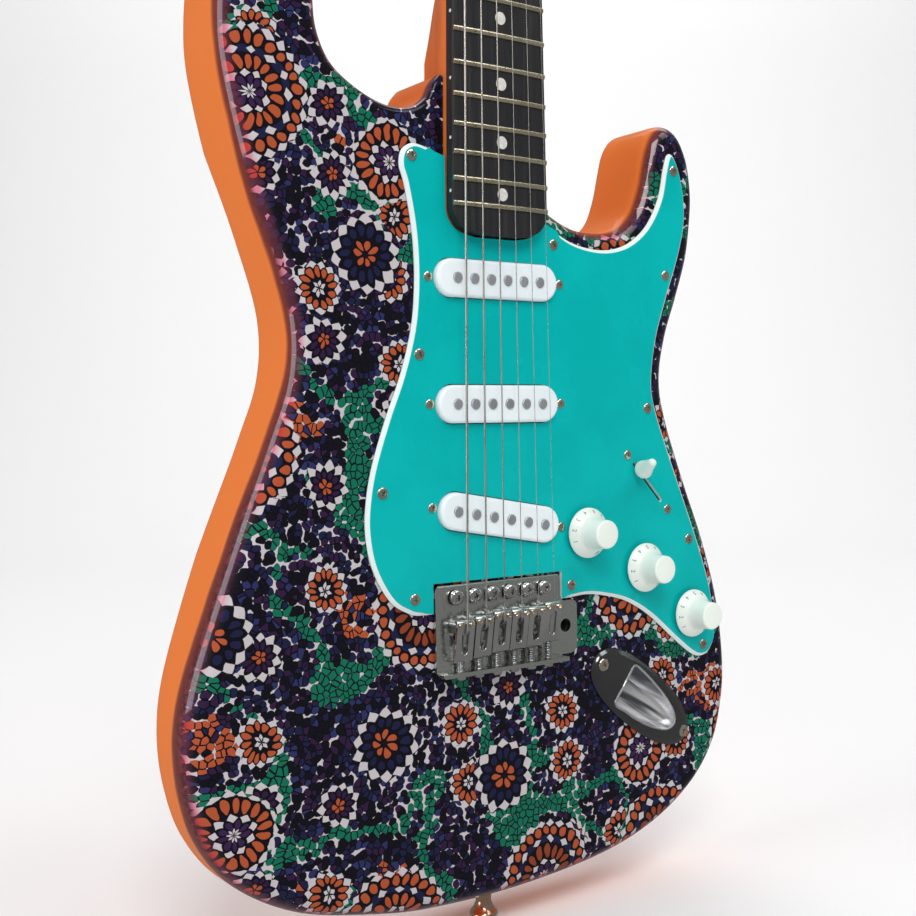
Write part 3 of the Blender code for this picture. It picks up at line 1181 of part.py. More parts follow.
def build_jack(chrome, metal):
    """Domed jack plate with its dish, and the socket behind the dish's end wall."""
    outline = jack_outline(JACK_HALF_LENGTH, JACK_HALF_WIDTH)
    rings = [[at(x, GAP, z) for x, z in outline], [at(x, GAP + 0.5, z) for x, z in outline]]
    for amount, rise in ((1.6, 0.5), (4.0, 0.85), (8.0, 1.0)):
        rings.append([at(x, GAP + JACK_DOME * rise, z) for x, z in inset(outline, [amount] * len(outline))])
    plate = add_object("jack_plate", loft(rings), chrome)
    combine(plate, "dish shell", jack_dish(JACK_SHEET, JACK_DISH_TOP_W), "UNION")
    combine(plate, "dish hollow", jack_dish(0.0, JACK_DOME + 6.0))
    mouth, direction = socket_line()
    hole = cylinder(mouth - direction * (6.0 * MM), mouth + direction * (8.0 * MM), SOCKET_BARREL_RADIUS + GAP, 12)
    combine(plate, "socket hole", hole)
    profile = (
        (SOCKET_BORE_RADIUS, -1.6), (SOCKET_BARREL_RADIUS, -1.6), (SOCKET_BARREL_RADIUS, 4.0),
        (6.4, 4.0), (6.4, 6.0), (5.4, 6.0), (5.4, SOCKET_LENGTH), (0.0, SOCKET_LENGTH),
    )
    bm = turned(profile, mouth, direction, 12)
    socket = add_object("jack_socket", bm, metal)
    bore = cylinder(mouth - direction * (4.0 * MM), mouth + direction * ((SOCKET_LENGTH - 2.0) * MM),
                    SOCKET_BORE_RADIUS, 12)
    combine(socket, "plug bore", bore)


def button_profile():
    """Profile of a strap button from its face to its foot, with the screw's recess."""
    return (
        (0.0, 1.6), (3.0, 1.6), (3.2, 0.0), (BUTTON_RADIUS - 0.6, 0.0), (BUTTON_RADIUS, 0.6),
        (BUTTON_RADIUS - 0.1, 1.6), (4.9, 4.4), (3.9, 8.0), (4.4, 11.5), (5.4, BUTTON_LENGTH),
    )


def build_strap_buttons():
    """Two turned strap buttons: on the tail edge and on the tip of the bass horn."""
    bronze = finish("bronze strap button", (0.62, 0.42, 0.30), 0.3, 1.0)
    face = at(TAIL_BUTTON_ACROSS, -BUTTON_DEPTH, 0.0)
    add_object("strap_button_tail", turned(button_profile(), face, Vector((0.0, 0.0, 1.0)), 16), bronze)
    outline, edges = body_outline()
    x, z = max(outline, key=lambda point: point[1])
    face = at(x, -BUTTON_DEPTH, z + GAP + BUTTON_LENGTH)
    add_object("strap_button_horn", turned(button_profile(), face, Vector((0.0, 0.0, -1.0)), 16), bronze)


def build_guitar():
    """Make every piece of the guitar."""
    chrome = finish("chrome plate", (0.62, 0.63, 0.64), 0.12, 1.0)
    bright = finish("bright chrome", (0.75, 0.75, 0.76), 0.1, 1.0)
    metal = finish("plain steel", (0.5, 0.5, 0.5), 0.35, 1.0)
    build_body()
    build_neck()
    build_fretboard()
    build_nut()
    build_tuners(chrome, bright)
    build_string_tree(bright)
    build_pickguard()
    build_pickups()
    build_controls(metal)
    build_selector(metal)
    build_bridge(chrome)
    build_saddles(chrome)
    build_strings()
    build_spring_side(metal)
    build_jack(chrome, metal)
    build_strap_buttons()


clear_scene()
build_guitar()
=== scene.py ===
"""Solid-body electric guitar with a mosaic print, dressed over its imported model.

The guitar stands upright with its face towards -Y and its knobs on the +X side. Sizes in the tables are
millimetres, and w is the height in front of the body's top face, as in the model's source.
"""

import math

import bmesh
import bpy
from bpy.props import FloatProperty, FloatVectorProperty, IntProperty, PointerProperty
from mathutils import Matrix, Vector


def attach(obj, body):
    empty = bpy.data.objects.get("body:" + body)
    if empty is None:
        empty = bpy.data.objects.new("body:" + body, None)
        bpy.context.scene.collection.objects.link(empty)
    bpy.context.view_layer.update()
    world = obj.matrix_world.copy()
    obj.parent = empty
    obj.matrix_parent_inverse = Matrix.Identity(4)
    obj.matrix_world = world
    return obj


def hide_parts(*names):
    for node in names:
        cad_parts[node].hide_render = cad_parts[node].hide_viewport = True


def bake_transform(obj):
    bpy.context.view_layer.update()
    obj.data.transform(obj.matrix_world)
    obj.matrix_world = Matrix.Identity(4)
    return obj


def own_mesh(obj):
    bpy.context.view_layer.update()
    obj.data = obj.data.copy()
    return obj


bl_info = {
    "name": "Mosaic Guitar Builder",
    "version": (1, 0, 0),
    "blender": (4, 5, 0),
    "location": "3D View > Sidebar > Guitar",
    "description": "Builds the finished pieces of a solid-body electric guitar with a tremolo bridge",
    "category": "Object",
}

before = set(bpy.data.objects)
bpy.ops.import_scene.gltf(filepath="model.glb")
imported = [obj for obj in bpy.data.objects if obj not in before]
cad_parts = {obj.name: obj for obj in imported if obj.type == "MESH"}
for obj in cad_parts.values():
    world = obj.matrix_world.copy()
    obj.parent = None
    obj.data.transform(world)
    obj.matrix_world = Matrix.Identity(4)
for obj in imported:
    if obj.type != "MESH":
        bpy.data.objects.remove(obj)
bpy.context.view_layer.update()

MM = 0.001
GAP = 0.3
FORWARD = Vector((0.0, -1.0, 0.0))
UP = Vector((0.0, 0.0, 1.0))
ORIGIN = Vector((0.0, 0.0, 0.0))
SQUARE = ((-1, -1), (1, -1), (1, 1), (-1, 1))

# Body
BUTTON_DEPTH = 21.5
BACK_W = -45.0
FRONT_EDGE_DEPTH = 12.0
BACK_EDGE_RADIUS = 8.0
FOREARM_LINE = ((-128.0, 205.0), (-40.0, 0.0))
FOREARM_STEPS = ((0.0, 0.0), (20.0, 0.8), (40.0, 3.2), (60.0, 6.8), (85.0, 12.5))
BELLY_LINE = ((-70.0, 330.0), (-96.0, 190.0))
BELLY_STEPS = ((0.0, 0.0), (10.0, 0.8), (22.0, 2.9), (60.0, 10.4))
BELLY_SPAN = ((-10.0, 0.0), (25.0, 0.75), (60.0, 1.0), (115.0, 0.7), (165.0, 0.0))

# Outline of the body: across, height above the tail edge, width of the rounded front edge
BODY_OUTLINE = (
    (23.0, 391.8, 2.0), (26.7, 388.8, 2.0), (27.2, 363.0, 2.0), (28.2, 343.0, 2.5), (32.0, 336.0, 3.5),
    (40.5, 331.0, 5.0), (55.5, 327.0, 8.0), (71.0, 326.7, 9.0), (83.5, 329.8, 9.5), (93.0, 338.3, 9.5),
    (98.5, 351.3, 9.5), (102.0, 365.0, 9.5), (105.2, 375.8, 9.5), (110.5, 383.5, 9.5), (118.5, 386.5, 9.5),
    (126.5, 383.5, 9.5), (132.5, 375.8, 9.5), (136.8, 365.3, 10.0), (138.8, 350.3, 10.0),
    (138.0, 336.3, 10.0),
    (134.6, 316.3, 10.0), (126.8, 294.3, 10.0), (118.4, 272.8, 10.0), (114.4, 251.3, 10.0),
    (118.5, 230.3, 10.0), (131.5, 197.3, 10.0), (145.6, 164.3, 10.0), (156.2, 130.3, 10.0),
    (160.5, 96.3, 10.0), (158.7, 73.8, 10.0), (151.3, 51.3, 10.0), (134.5, 31.3, 10.0), (106.0, 14.8, 10.0),
    (69.0, 4.8, 10.0), (15.0, 0.0, 10.0), (-36.0, 1.0, 10.0), (-70.0, 5.5, 10.0), (-104.0, 13.4, 10.0),
    (-131.0, 29.4, 10.0), (-147.0, 50.6, 10.0), (-154.6, 73.5, 10.0), (-157.0, 96.3, 10.0),
    (-154.2, 120.3, 10.0), (-143.8, 154.3, 10.0), (-131.2, 188.8, 10.0), (-116.9, 224.3, 10.0),
    (-107.2, 251.3, 10.0), (-106.9, 278.3, 10.0), (-117.9, 313.3, 10.0), (-128.7, 348.3, 10.0),
    (-136.4, 382.3, 10.0), (-137.9, 403.3, 10.0), (-135.6, 426.3, 10.0), (-128.5, 446.3, 10.0),
    (-116.0, 457.3, 9.5), (-103.0, 452.3, 9.5), (-94.5, 437.3, 9.5), (-91.0, 420.3, 9.5),
    (-89.5, 403.8, 9.0), (-83.5, 390.3, 8.0), (-72.0, 380.8, 6.0), (-57.8, 374.8, 4.5), (-44.6, 374.8, 3.5),
    (-36.0, 379.8, 2.5), (-31.8, 387.3, 2.0), (-28.2, 391.4, 2.0),
)

# Neck, fretboard and headstock
NUT_WIDTH = 42.0
HEEL_WIDTH = 56.0
BOARD_OVERHANG = 13.5
BOARD_END = ((0.0, 17.0), (1.5, 9.5), (4.0, 4.4), (8.0, 1.2), (12.0, 0.0))
BOARD_JOINT_W = 2.2
BOARD_CROWN_W = 8.7
BOARD_RADIUS = 350.0
FRET_HEIGHT = 1.0
NECK_DEPTH_AT_NUT = 14.7
NECK_DEPTH_AT_HEEL = 16.6
POCKET_DEPTH = 16.2
HEEL_REACH = 8.0
HEEL_RAMP = 52.0
NUT_LENGTH = 3.2
NUT_SHELF = 4.0
HEAD_FACE_W = 0.5
HEAD_BACK_W = -13.5
HEAD_EDGE = 2.0
HEAD_SCOOP = 14.0
HEAD_OUTLINE = (
    (20.9, 1.0), (21.2, 6.0), (22.8, 18.0), (27.5, 36.0), (32.0, 58.0), (34.5, 90.0), (36.5, 125.0),
    (37.0, 150.0), (34.5, 168.0), (27.0, 180.0), (15.5, 185.0), (5.5, 181.5), (0.5, 171.0),
    (-3.5, 155.0), (-11.0, 125.0), (-18.5, 95.0), (-26.0, 65.0), (-32.0, 41.0), (-34.0, 30.0),
    (-31.5, 19.0), (-24.5, 9.0), (-21.2, 4.0), (-20.9, 1.0),
)
DOT_FRETS = (3, 5, 7, 9, 15, 17, 19, 21)
DOUBLE_DOT_FRET = 12
DOUBLE_DOT_REACH = 10.5

# Strings, from the low one to the high one
STRING_DIAMETERS = (1.17, 0.91, 0.66, 0.43, 0.33, 0.25)
STRING_SPREAD_NUT = 35.0
STRING_SPREAD_BRIDGE = 52.2
SADDLE_CREST_W = 12.3
INTONATION = (-1.6, -0.4, 0.9, 0.9, 1.0, 2.1)
STRING_CLEARANCE = 0.35
STRING_TURNS = 2
STRING_END_W = -12.0
STRING_SIDES = 12
STRING_TAIL = 3.4

# Tuners
FIRST_POST = 34.0
POST_PITCH = 25.5
POST_RADIUS = 3.0
POST_WAIST_RADIUS = 2.5
POST_STRING_W = 8.8
POST_TOP_W = 13.5
BARREL_RADIUS = 4.6
TUNER_WIDTH = 14.0
TUNER_LENGTH = 19.0
TUNER_EDGE = 1.8
TUNER_HEIGHT = 11.0
TUNER_SHAFT_RADIUS = 2.1
TUNER_SHAFT_OFFSET = 5.5
BUTTON_STEM = 9.0
TREE_ABOVE_NUT = 44.0
TREE_STRING_W = 3.4

# Pickguard and what it carries
GUARD_THICKNESS = 2.3
GUARD_BEVEL = 2.0
GUARD_BASS_EDGE = (
    (-34.0, 354.8), (-39.5, 357.0), (-46.0, 357.5), (-51.3, 353.8), (-52.5, 347.0), (-50.0, 339.0),
    (-46.8, 323.0), (-45.3, 308.0), (-45.3, 291.0), (-47.5, 273.0), (-53.5, 252.5), (-62.0, 232.0),
    (-70.0, 209.0), (-73.3, 190.0), (-72.6, 175.5), (-68.8, 162.5), (-60.5, 149.5), (-51.0, 143.5),
    (-45.5, 142.0),
)
GUARD_TREBLE_EDGE = (
    (44.0, 142.2), (55.0, 142.9), (66.5, 141.4), (82.5, 137.0), (98.5, 128.0), (116.0, 114.0),
    (128.5, 104.8), (136.0, 102.3), (142.5, 104.5), (146.8, 112.0), (146.8, 122.0), (143.0, 141.0),
    (135.0, 163.0), (123.0, 191.0), (112.5, 215.0), (104.2, 236.0), (101.8, 250.0), (105.0, 271.5),
    (112.5, 293.0), (121.0, 314.0), (126.0, 331.0), (126.8, 345.0), (124.0, 359.0), (119.5, 368.5),
    (115.0, 369.5), (112.0, 362.0), (108.0, 346.0), (99.5, 331.5), (88.0, 322.0), (76.0, 317.5),
    (63.0, 316.5), (48.0, 319.0), (35.0, 325.0),
)
GUARD_SCREWS = (
    (-46.8, 351.8), (35.4, 316.8), (117.5, 360.9), (111.0, 305.7), (97.3, 236.3), (-44.2, 261.8),
    (-65.1, 199.2), (-48.5, 149.9), (44.3, 148.6), (126.4, 166.4), (136.6, 108.7),
)
PICKUP_HEIGHTS = {"neck": 297.5, "middle": 239.0, "bridge": 184.6}
PICKUP_SLANTS = {"neck": 0.0, "middle": 0.0, "bridge": -9.8}
POLE_SPANS = {"neck": 48.5, "middle": 50.3, "bridge": 52.2}
PICKUP_SCREW_REACH = 38.9
PICKUP_LENGTH = 71.0
PICKUP_WIDTH = 17.8
PICKUP_TOP_W = 5.6
PICKUP_BASE_W = -5.0
PICKUP_BASE_LENGTH = 83.5
PICKUP_BASE_WIDTH = 24.0
PICKUP_EDGE = 1.7
POLE_RADIUS = 2.4
PICKUP_CLEARANCE = 0.5
KNOB_PLACES = {"volume": (54.0, 174.3), "neck_tone": (93.0, 153.9), "middle_tone": (127.0, 126.8)}
KNOB_SKIRT_RADIUS = 12.6
KNOB_TOP_RADIUS = 7.1
KNOB_HEIGHT = 15.1
KNOB_CLEARANCE = 1.8
SHAFT_RADIUS = 3.0
BUSHING_RADIUS = 4.6
SELECTOR_CENTRE = (96.9, 197.9)
SELECTOR_DIRECTION = (0.683, -0.730)
SELECTOR_SLOT_LENGTH = 29.0
SELECTOR_SLOT_WIDTH = 2.2
SELECTOR_LEAN = 27.0
SELECTOR_PIVOT_W = -12.0
SELECTOR_SCREWS = ((83.0, 212.4), (110.9, 183.1))
LEVER_THICKNESS = 1.2
LEVER_WIDTH = 5.0
LEVER_REACH = 22.0
TIP_BASE_REACH = 18.6
TIP_LENGTH = 15.6
TIP_BASE_RADIUS = 4.8
TIP_END_RADIUS = 1.9

# Bridge
PLATE_LENGTH = 42.5
PLATE_HALF_WIDTH = 37.2
TAB_CORNER = 4.5
PLATE_TAB_REACH = 47.8
PLATE_TAB_FROM = 13.5
PLATE_THICKNESS = 2.2
FLANGE_HEIGHT = 8.0
FLANGE_THICKNESS = 2.0
STRING_HOLE_RADIUS = 1.8
ARM_HOLE_ACROSS = 40.4
ARM_HOLE_RADIUS = 3.3
BLOCK_LENGTH = 14.0
BLOCK_REACH = 5.4
SADDLE_WIDTH = 10.0
SADDLE_LENGTH = 18.0
SADDLE_LIP = 2.2
SADDLE_SHEET = 1.5
SADDLE_SLOT_WIDTH = 4.2
SADDLE_SLOT_LENGTH = 12.4
SADDLE_SLOT_START = 2.1
HEIGHT_SCREW_RADIUS = 1.25
HEIGHT_SCREW_SPACING = 6.4
PIVOT_SCREW_PITCH = 10.5
PIVOT_SCREW_LIFT = 0.65
PIVOT_HOLE_RADIUS = 2.3
PIVOT_SHANK_RADIUS = 1.5

# Back of the body
SPRING_ROUTE_TOP = 252.0
SPRING_ROUTE_WIDTH = 66.0
SPRING_ROUTE_DEPTH = 16.0
BLOCK_ROUTE_MARGIN = 3.0
BLOCK_SWING_ROOM = 9.0
CLAW_ABOVE_TAIL = 240.0
COVER_THICKNESS = 1.8
SPRING_RADIUS = 4.2
SPRING_PLACES = (-16.0, 0.0, 16.0)
COVER_WIDTH = 96.0
COVER_MARGIN = 9.0
NECK_PLATE_WIDTH = 51.0
NECK_PLATE_LENGTH = 63.5
NECK_PLATE_SET_BACK = 35.0

# Jack plate
JACK_CENTRE = (92.5, 85.2)
JACK_DIRECTION = (0.798, -0.603)
JACK_HALF_LENGTH = 40.2
JACK_HALF_WIDTH = 16.0
JACK_DOME = 3.4
JACK_DOME_RISE = ((0.0, 0.0), (0.5, 0.2), (1.2, 0.42), (2.2, 0.64), (3.6, 0.82), (5.4, 0.93), (8.0, 1.0))
JACK_ROUTE_REACH = 29.0
JACK_SCREW_REACH = 34.8
JACK_SHEET = 1.3
JACK_DISH_TOP_W = 1.0
JACK_DISH_DEEP_W = -15.0
JACK_DISH_SHALLOW_W = 1.0
JACK_DISH = (
    (-17.0, -11.0), (-17.0, -4.0), (-17.0, 4.0), (-16.0, 10.6), (-8.0, 11.0), (4.0, 9.6), (14.0, 7.6),
    (22.0, 4.6), (26.0, 0.0), (23.0, -5.4), (14.0, -9.2), (4.0, -11.2), (-8.0, -12.0), (-14.0, -12.6),
)
SOCKET_BARREL_RADIUS = 4.7
SOCKET_LENGTH = 15.0

# Strap buttons
BUTTON_LENGTH = 14.7
BUTTON_RADIUS = 7.0
TAIL_BUTTON_ACROSS = 5.0

# Places worked out from the sizes above
TAIL_Z = 15.0
SADDLE_Z = 153.8
SCALE_LENGTH = 647.7
NUT_Z = SADDLE_Z + SCALE_LENGTH
FRET_COUNT = 21
BOARD_END_Z = NUT_Z - SCALE_LENGTH * (1.0 - 2.0 ** (-FRET_COUNT / 12.0)) - BOARD_OVERHANG
HEEL_TOP_Z = TAIL_Z + BODY_OUTLINE[0][1]
PIVOT_Z = 164.0
GUARD_TOP_W = GAP + GUARD_THICKNESS
PLATE_TOP_W = GAP + PLATE_THICKNESS
PLATE_FRONT_Z = 169.8
PLATE_REAR_Z = PLATE_FRONT_Z - PLATE_LENGTH
STRING_HOLE_Z = 145.5
ARM_HOLE_Z = 144.0

# Camera of the photograph, in millimetres and unit directions
CAMERA_PLACE = (-363.91, -508.65, 246.05)
CAMERA_RIGHT = (0.81796, -0.57509, -0.01447)
CAMERA_DOWN = (-0.02847, -0.01535, -0.99948)
CAMERA_FORWARD = (0.57457, 0.81794, -0.02892)
CAMERA_FOCAL_PIXELS = 1271.14
PICTURE_PIXELS = 916.0
SENSOR_WIDTH = 36.0


# Plain shape helpers
def at(x, w, z):
    """Point in metres from the position across, in front of the body's top face, and up."""
    return Vector((x * MM, -(w + BUTTON_DEPTH) * MM, z * MM))


def w_of(point):
    """Height of a point in front of the body's top face."""
    return -point.y / MM - BUTTON_DEPTH


def new_object(name, bm, finish="", angle=32.0):
    """Turn a bmesh into a smooth object with its place in its mesh and a finish by its name."""
    bmesh.ops.recalc_face_normals(bm, faces=bm.faces)
    mesh = bpy.data.meshes.new(name)
    bm.to_mesh(mesh)
    bm.free()
    if finish:
        mesh.materials.append(finish_of(finish))
    return show_mesh(name, mesh, angle)


def show_mesh(name, mesh, angle):
    """Put a mesh in the scene as a smooth object that keeps its sharp edges."""
    shade_mesh(mesh, angle)
    obj = bpy.data.objects.new(name, mesh)
    bpy.context.scene.collection.objects.link(obj)
    return obj


def shade_mesh(mesh, angle):
    """Shade a mesh smooth, apart from the edges that are sharper than an angle."""
    mesh.shade_smooth()
    mesh.set_sharp_from_angle(angle=math.radians(angle))


def combine(target, bm, operation="DIFFERENCE", crossing=False):
    """Add a Boolean with a tool body, which settle applies and removes; crossing sorts out folded faces."""
    tool = new_object(target.name + " tool", bm)
    modifier = target.modifiers.new(tool.name, "BOOLEAN")
    modifier.operation = operation
    modifier.solver = "EXACT"
    modifier.use_self = crossing
    modifier.object = tool


def add_bevel(target, width, segments=2, angle=35.0):
    """Round the edges that are sharper than an angle."""
    modifier = target.modifiers.new("rounding", "BEVEL")
    modifier.width = width * MM
    modifier.segments = segments
    modifier.limit_method = "ANGLE"
    modifier.angle_limit = math.radians(angle)
    modifier.use_clamp_overlap = True
    modifier.harden_normals = False


def settle(target, angle=32.0):
    """Apply every modifier, remove the tool bodies and shade the result."""
    mesh = evaluated_mesh(target)
    tools = [m.object for m in target.modifiers if m.type == "BOOLEAN"]
    target.modifiers.clear()
    mesh.validate()
    old = target.data
    target.data = mesh
    mesh.name = target.name
    bpy.data.meshes.remove(old)
    for tool in tools:
        bpy.data.objects.remove(tool, do_unlink=True)
    shade_mesh(mesh, angle)
    return target


def evaluated_mesh(obj):
    """Plain mesh of an object with its modifiers applied."""
    graph = bpy.context.evaluated_depsgraph_get()
    return bpy.data.meshes.new_from_object(obj.evaluated_get(graph))


def loft(rings, bm=None):
    """Closed solid through a list of rings with equal point counts, capped at both ends."""
    bm = bm or bmesh.new()
    loops = [[bm.verts.new(point) for point in ring] for ring in rings]
    count = len(loops[0])
    for low, high in zip(loops, loops[1:]):
        for i in range(count):
            j = (i + 1) % count
            bm.faces.new((low[i], low[j], high[j], high[i]))
    bm.faces.new(list(reversed(loops[0])))
    bm.faces.new(loops[-1])
    return bm


def prism(points, w_low, w_high, bm=None):
    """Upright prism over a flat outline of (across, up) points."""
    return loft([flat_ring(points, w) for w in (w_low, w_high)], bm)


def clamp(value):
    """Hold a value between nothing and one."""
    return min(max(value, 0.0), 1.0)


def flat_ring(points, w):
    """Ring of points at one height over an outline of (across, up) points."""
    return [at(x, w, z) for x, z in points]


def shrunk(outline, amount):
    """Outline moved inwards by the same amount all round."""
    return inset(outline, [amount] * len(outline))


def above_tail(points):
    """Outline of (across, height above the tail edge) points as (across, up) points."""
    return [(x, z + TAIL_Z) for x, z in points]


def quarter(steps):
    """Quarter of a circle in steps, as pairs that run from (0, 1) to (1, 0), for rounding an edge."""
    turns = [0.5 * math.pi * step / steps for step in range(steps + 1)]
    return [(1.0 - math.cos(turn), 1.0 - math.sin(turn)) for turn in turns]


def prism_across(profile, x_low, x_high, bm=None):
    """Prism over a side profile of (up, w) points, running across the guitar."""
    return loft([[at(x, w, z) for z, w in profile] for x in (x_low, x_high)], bm)


def turned(profile, base, axis, segments, bm=None, squash=1.0):
    """Turned solid from (radius, distance along the axis) pairs, flattened by squash beyond its shaft."""
    bm = bm or bmesh.new()
    axis = axis.normalized()
    first = axis.orthogonal().normalized()
    if abs(axis.y) < 0.9:
        first = axis.cross(Vector((0.0, 1.0, 0.0))).normalized()
    second = axis.cross(first)
    rows = []
    for radius, along in profile:
        centre = base + axis * (along * MM)
        if radius == 0.0:
            rows.append([bm.verts.new(centre)])
            continue
        row = []
        for i in range(segments):
            angle = 2.0 * math.pi * i / segments
            flat = squash if radius > TUNER_SHAFT_RADIUS + GAP else 1.0
            offset = first * math.cos(angle) + second * (math.sin(angle) * flat)
            row.append(bm.verts.new(centre + offset * (radius * MM)))
        rows.append(row)
    for low, high in zip(rows, rows[1:]):
        for i in range(segments):
            j = (i + 1) % segments
            if len(low) == 1:
                bm.faces.new((low[0], high[j], high[i]))
            elif len(high) == 1:
                bm.faces.new((low[i], low[j], high[0]))
            else:
                bm.faces.new((low[i], low[j], high[j], high[i]))
    if len(rows[0]) > 1:
        bm.faces.new(list(reversed(rows[0])))
    if len(rows[-1]) > 1:
        bm.faces.new(rows[-1])
    return bm


def cylinder(start, end, radius, segments, bm=None):
    """Plain cylinder between two points."""
    length = (end - start).length / MM
    return turned(((radius, 0.0), (radius, length)), start, end - start, segments, bm)


def pin(x, z, w_low, w_high, radius, segments, bm=None):
    """Plain cylinder square to the face."""
    return cylinder(at(x, w_low, z), at(x, w_high, z), radius, segments, bm)


def smooth_line(points, steps, closed=False):
    """Catmull-Rom curve through points of any dimension."""
    count = len(points)
    line = []
    for i in range(count if closed else count - 1):
        near = [i + k if closed else min(max(i + k, 0), count - 1) for k in (-1, 0, 1, 2)]
        corners = [points[k % count] for k in near]
        for step in range(steps):
            t = step / steps
            weights = (
                -0.5 * t + t * t - 0.5 * t ** 3,
                1.0 - 2.5 * t * t + 1.5 * t ** 3,
                0.5 * t + 2.0 * t * t - 1.5 * t ** 3,
                -0.5 * t * t + 0.5 * t ** 3,
            )
            line.append(tuple(sum(w * c[d] for w, c in zip(weights, corners)) for d in range(len(points[0]))))
    if not closed:
        line.append(tuple(points[-1]))
    return line


def inset(points, amounts):
    """Move each point of a closed outline inwards by its own amount, mitred at the corners."""
    count = len(points)
    area = sum(points[i][0] * points[(i + 1) % count][1] - points[(i + 1) % count][0] * points[i][1]
               for i in range(count))
    side = 1.0 if area > 0.0 else -1.0
    moved = []
    for i in range(count):
        before = Vector(points[i - 1])
        here = Vector(points[i])
        after = Vector(points[(i + 1) % count])
        first = (here - before).normalized()
        second = (after - here).normalized()
        normals = [Vector((-d.y, d.x)) * side for d in (first, second)]
        mitre = (normals[0] + normals[1]) / max(1.0 + normals[0].dot(normals[1]), 0.3)
        moved.append(tuple(here + mitre * amounts[i]))
    return moved


def rounded_outline(points, radius, steps=3):
    """Outline with each corner replaced by an arc."""
    outline = []
    count = len(points)
    for i in range(count):
        here = Vector(points[i])
        before = (Vector(points[i - 1]) - here).normalized()
        after = (Vector(points[(i + 1) % count]) - here).normalized()
        half = 0.5 * before.angle(after)
        bisector = (before + after).normalized()
        centre = here + bisector * (radius / math.sin(half))
        start = here + before * (radius / math.tan(half)) - centre
        end = here + after * (radius / math.tan(half)) - centre
        sweep_angle = start.angle_signed(end)
        for step in range(steps + 1):
            turn = -sweep_angle * step / steps
            outline.append((
                centre.x + start.x * math.cos(turn) - start.y * math.sin(turn),
                centre.y + start.x * math.sin(turn) + start.y * math.cos(turn),
            ))
    return outline


def box_outline(x_low, x_high, z_low, z_high):
    """Four corners of a rectangle."""
    return [(x_low, z_low), (x_high, z_low), (x_high, z_high), (x_low, z_high)]


def stadium(centre, direction, length, width, steps=12):
    """Slot with round ends, as (across, up) points."""
    along = Vector(direction).normalized()
    across = Vector((-along.y, along.x))
    outline = []
    for end in (1.0, -1.0):
        middle = Vector(centre) + along * (end * 0.5 * (length - width))
        for step in range(steps + 1):
            angle = math.pi * (step / steps - 0.5)
            offset = (along * math.cos(angle) + across * math.sin(angle)) * (0.5 * width * end)
            outline.append(tuple(middle + offset))
    return outline


def interpolate(steps, value):
    """Piecewise linear value, held at both ends."""
    if value <= steps[0][0]:
        return steps[0][1]
    for (x0, y0), (x1, y1) in zip(steps, steps[1:]):
        if value <= x1:
            return y0 + (y1 - y0) * (value - x0) / (x1 - x0)
    return steps[-1][1]


def sweep(points, radius, sides, bm=None):
    """Tube of constant radius along a list of points, with its rings mitred."""
    rings = []
    side = None
    for i, point in enumerate(points):
        before = points[max(i - 1, 0)]
        after = points[min(i + 1, len(points) - 1)]
        into = (point - before).normalized() if i else (after - point).normalized()
        away = (after - point).normalized() if i < len(points) - 1 else into
        tangent = (into + away).normalized()
        if side is None:
            side = tangent.orthogonal()
        side = (side - tangent * side.dot(tangent)).normalized()
        up = tangent.cross(side)
        ring = []
        for k in range(sides):
            angle = 2.0 * math.pi * k / sides
            ring.append(point + (side * math.cos(angle) + up * math.sin(angle)) * (radius * MM))
        rings.append(ring)
    return loft(rings, bm)


# Measures of the neck, strings and controls
def neck_half_width(z):
    """Half the width of the neck and fretboard at a height."""
    share = (NUT_Z - z) / (NUT_Z - BOARD_END_Z)
    return 0.5 * (NUT_WIDTH + (HEEL_WIDTH - NUT_WIDTH) * max(share, 0.0))


def board_w(x):
    """Height of the crowned fretboard at a distance from its centre line."""
    return BOARD_CROWN_W - x * x / (2.0 * BOARD_RADIUS)


def board_end(margin):
    """Rounded end of the neck on its treble side, as (across, up) points, grown by a margin."""
    points = []
    for rise, narrow in smooth_line(BOARD_END, 5):
        z = BOARD_END_Z + rise
        points.append((neck_half_width(z) - narrow + margin, z - margin))
    return points


def fret_z(number):
    """Height of a fret."""
    return NUT_Z - SCALE_LENGTH * (1.0 - 2.0 ** (-number / 12.0))


def string_x(index, z):
    """Where a string runs across the guitar at a height."""
    share = (z - SADDLE_Z) / (NUT_Z - SADDLE_Z)
    spread = STRING_SPREAD_BRIDGE + (STRING_SPREAD_NUT - STRING_SPREAD_BRIDGE) * share
    return spread * (index / 5.0 - 0.5)


def saddle_x(index):
    """Centre of a saddle across the bridge."""
    return string_x(index, SADDLE_Z)


def crest_z(index):
    """Height of the point where a string leaves its saddle."""
    return SADDLE_Z + INTONATION[index]


def crest_w(index):
    """Top of a saddle's crest, on the fretboard's radius."""
    return SADDLE_CREST_W - saddle_x(index) ** 2 / (2.0 * BOARD_RADIUS)


def nut_slot_w(index):
    """Bottom of a string's slot in the nut."""
    return board_w(string_x(index, NUT_Z)) + FRET_HEIGHT + STRING_CLEARANCE


def post_centre(index):
    """Centre of a tuner post across and up, beside the straight run of its string."""
    z = NUT_Z + FIRST_POST + POST_PITCH * index
    reach = POST_WAIST_RADIUS + GAP + 0.5 * STRING_DIAMETERS[index]
    return string_x(index, z) - reach, z


def tuner_directions():
    """Unit vectors along the line of posts and out towards the tuner buttons."""
    first = Vector(post_centre(0))
    last = Vector(post_centre(5))
    along = (last - first).normalized()
    return along, Vector((-along.y, along.x))


def slant_direction(name):
    """Direction of a pickup's long side."""
    angle = math.radians(PICKUP_SLANTS[name])
    return math.cos(angle), math.sin(angle)


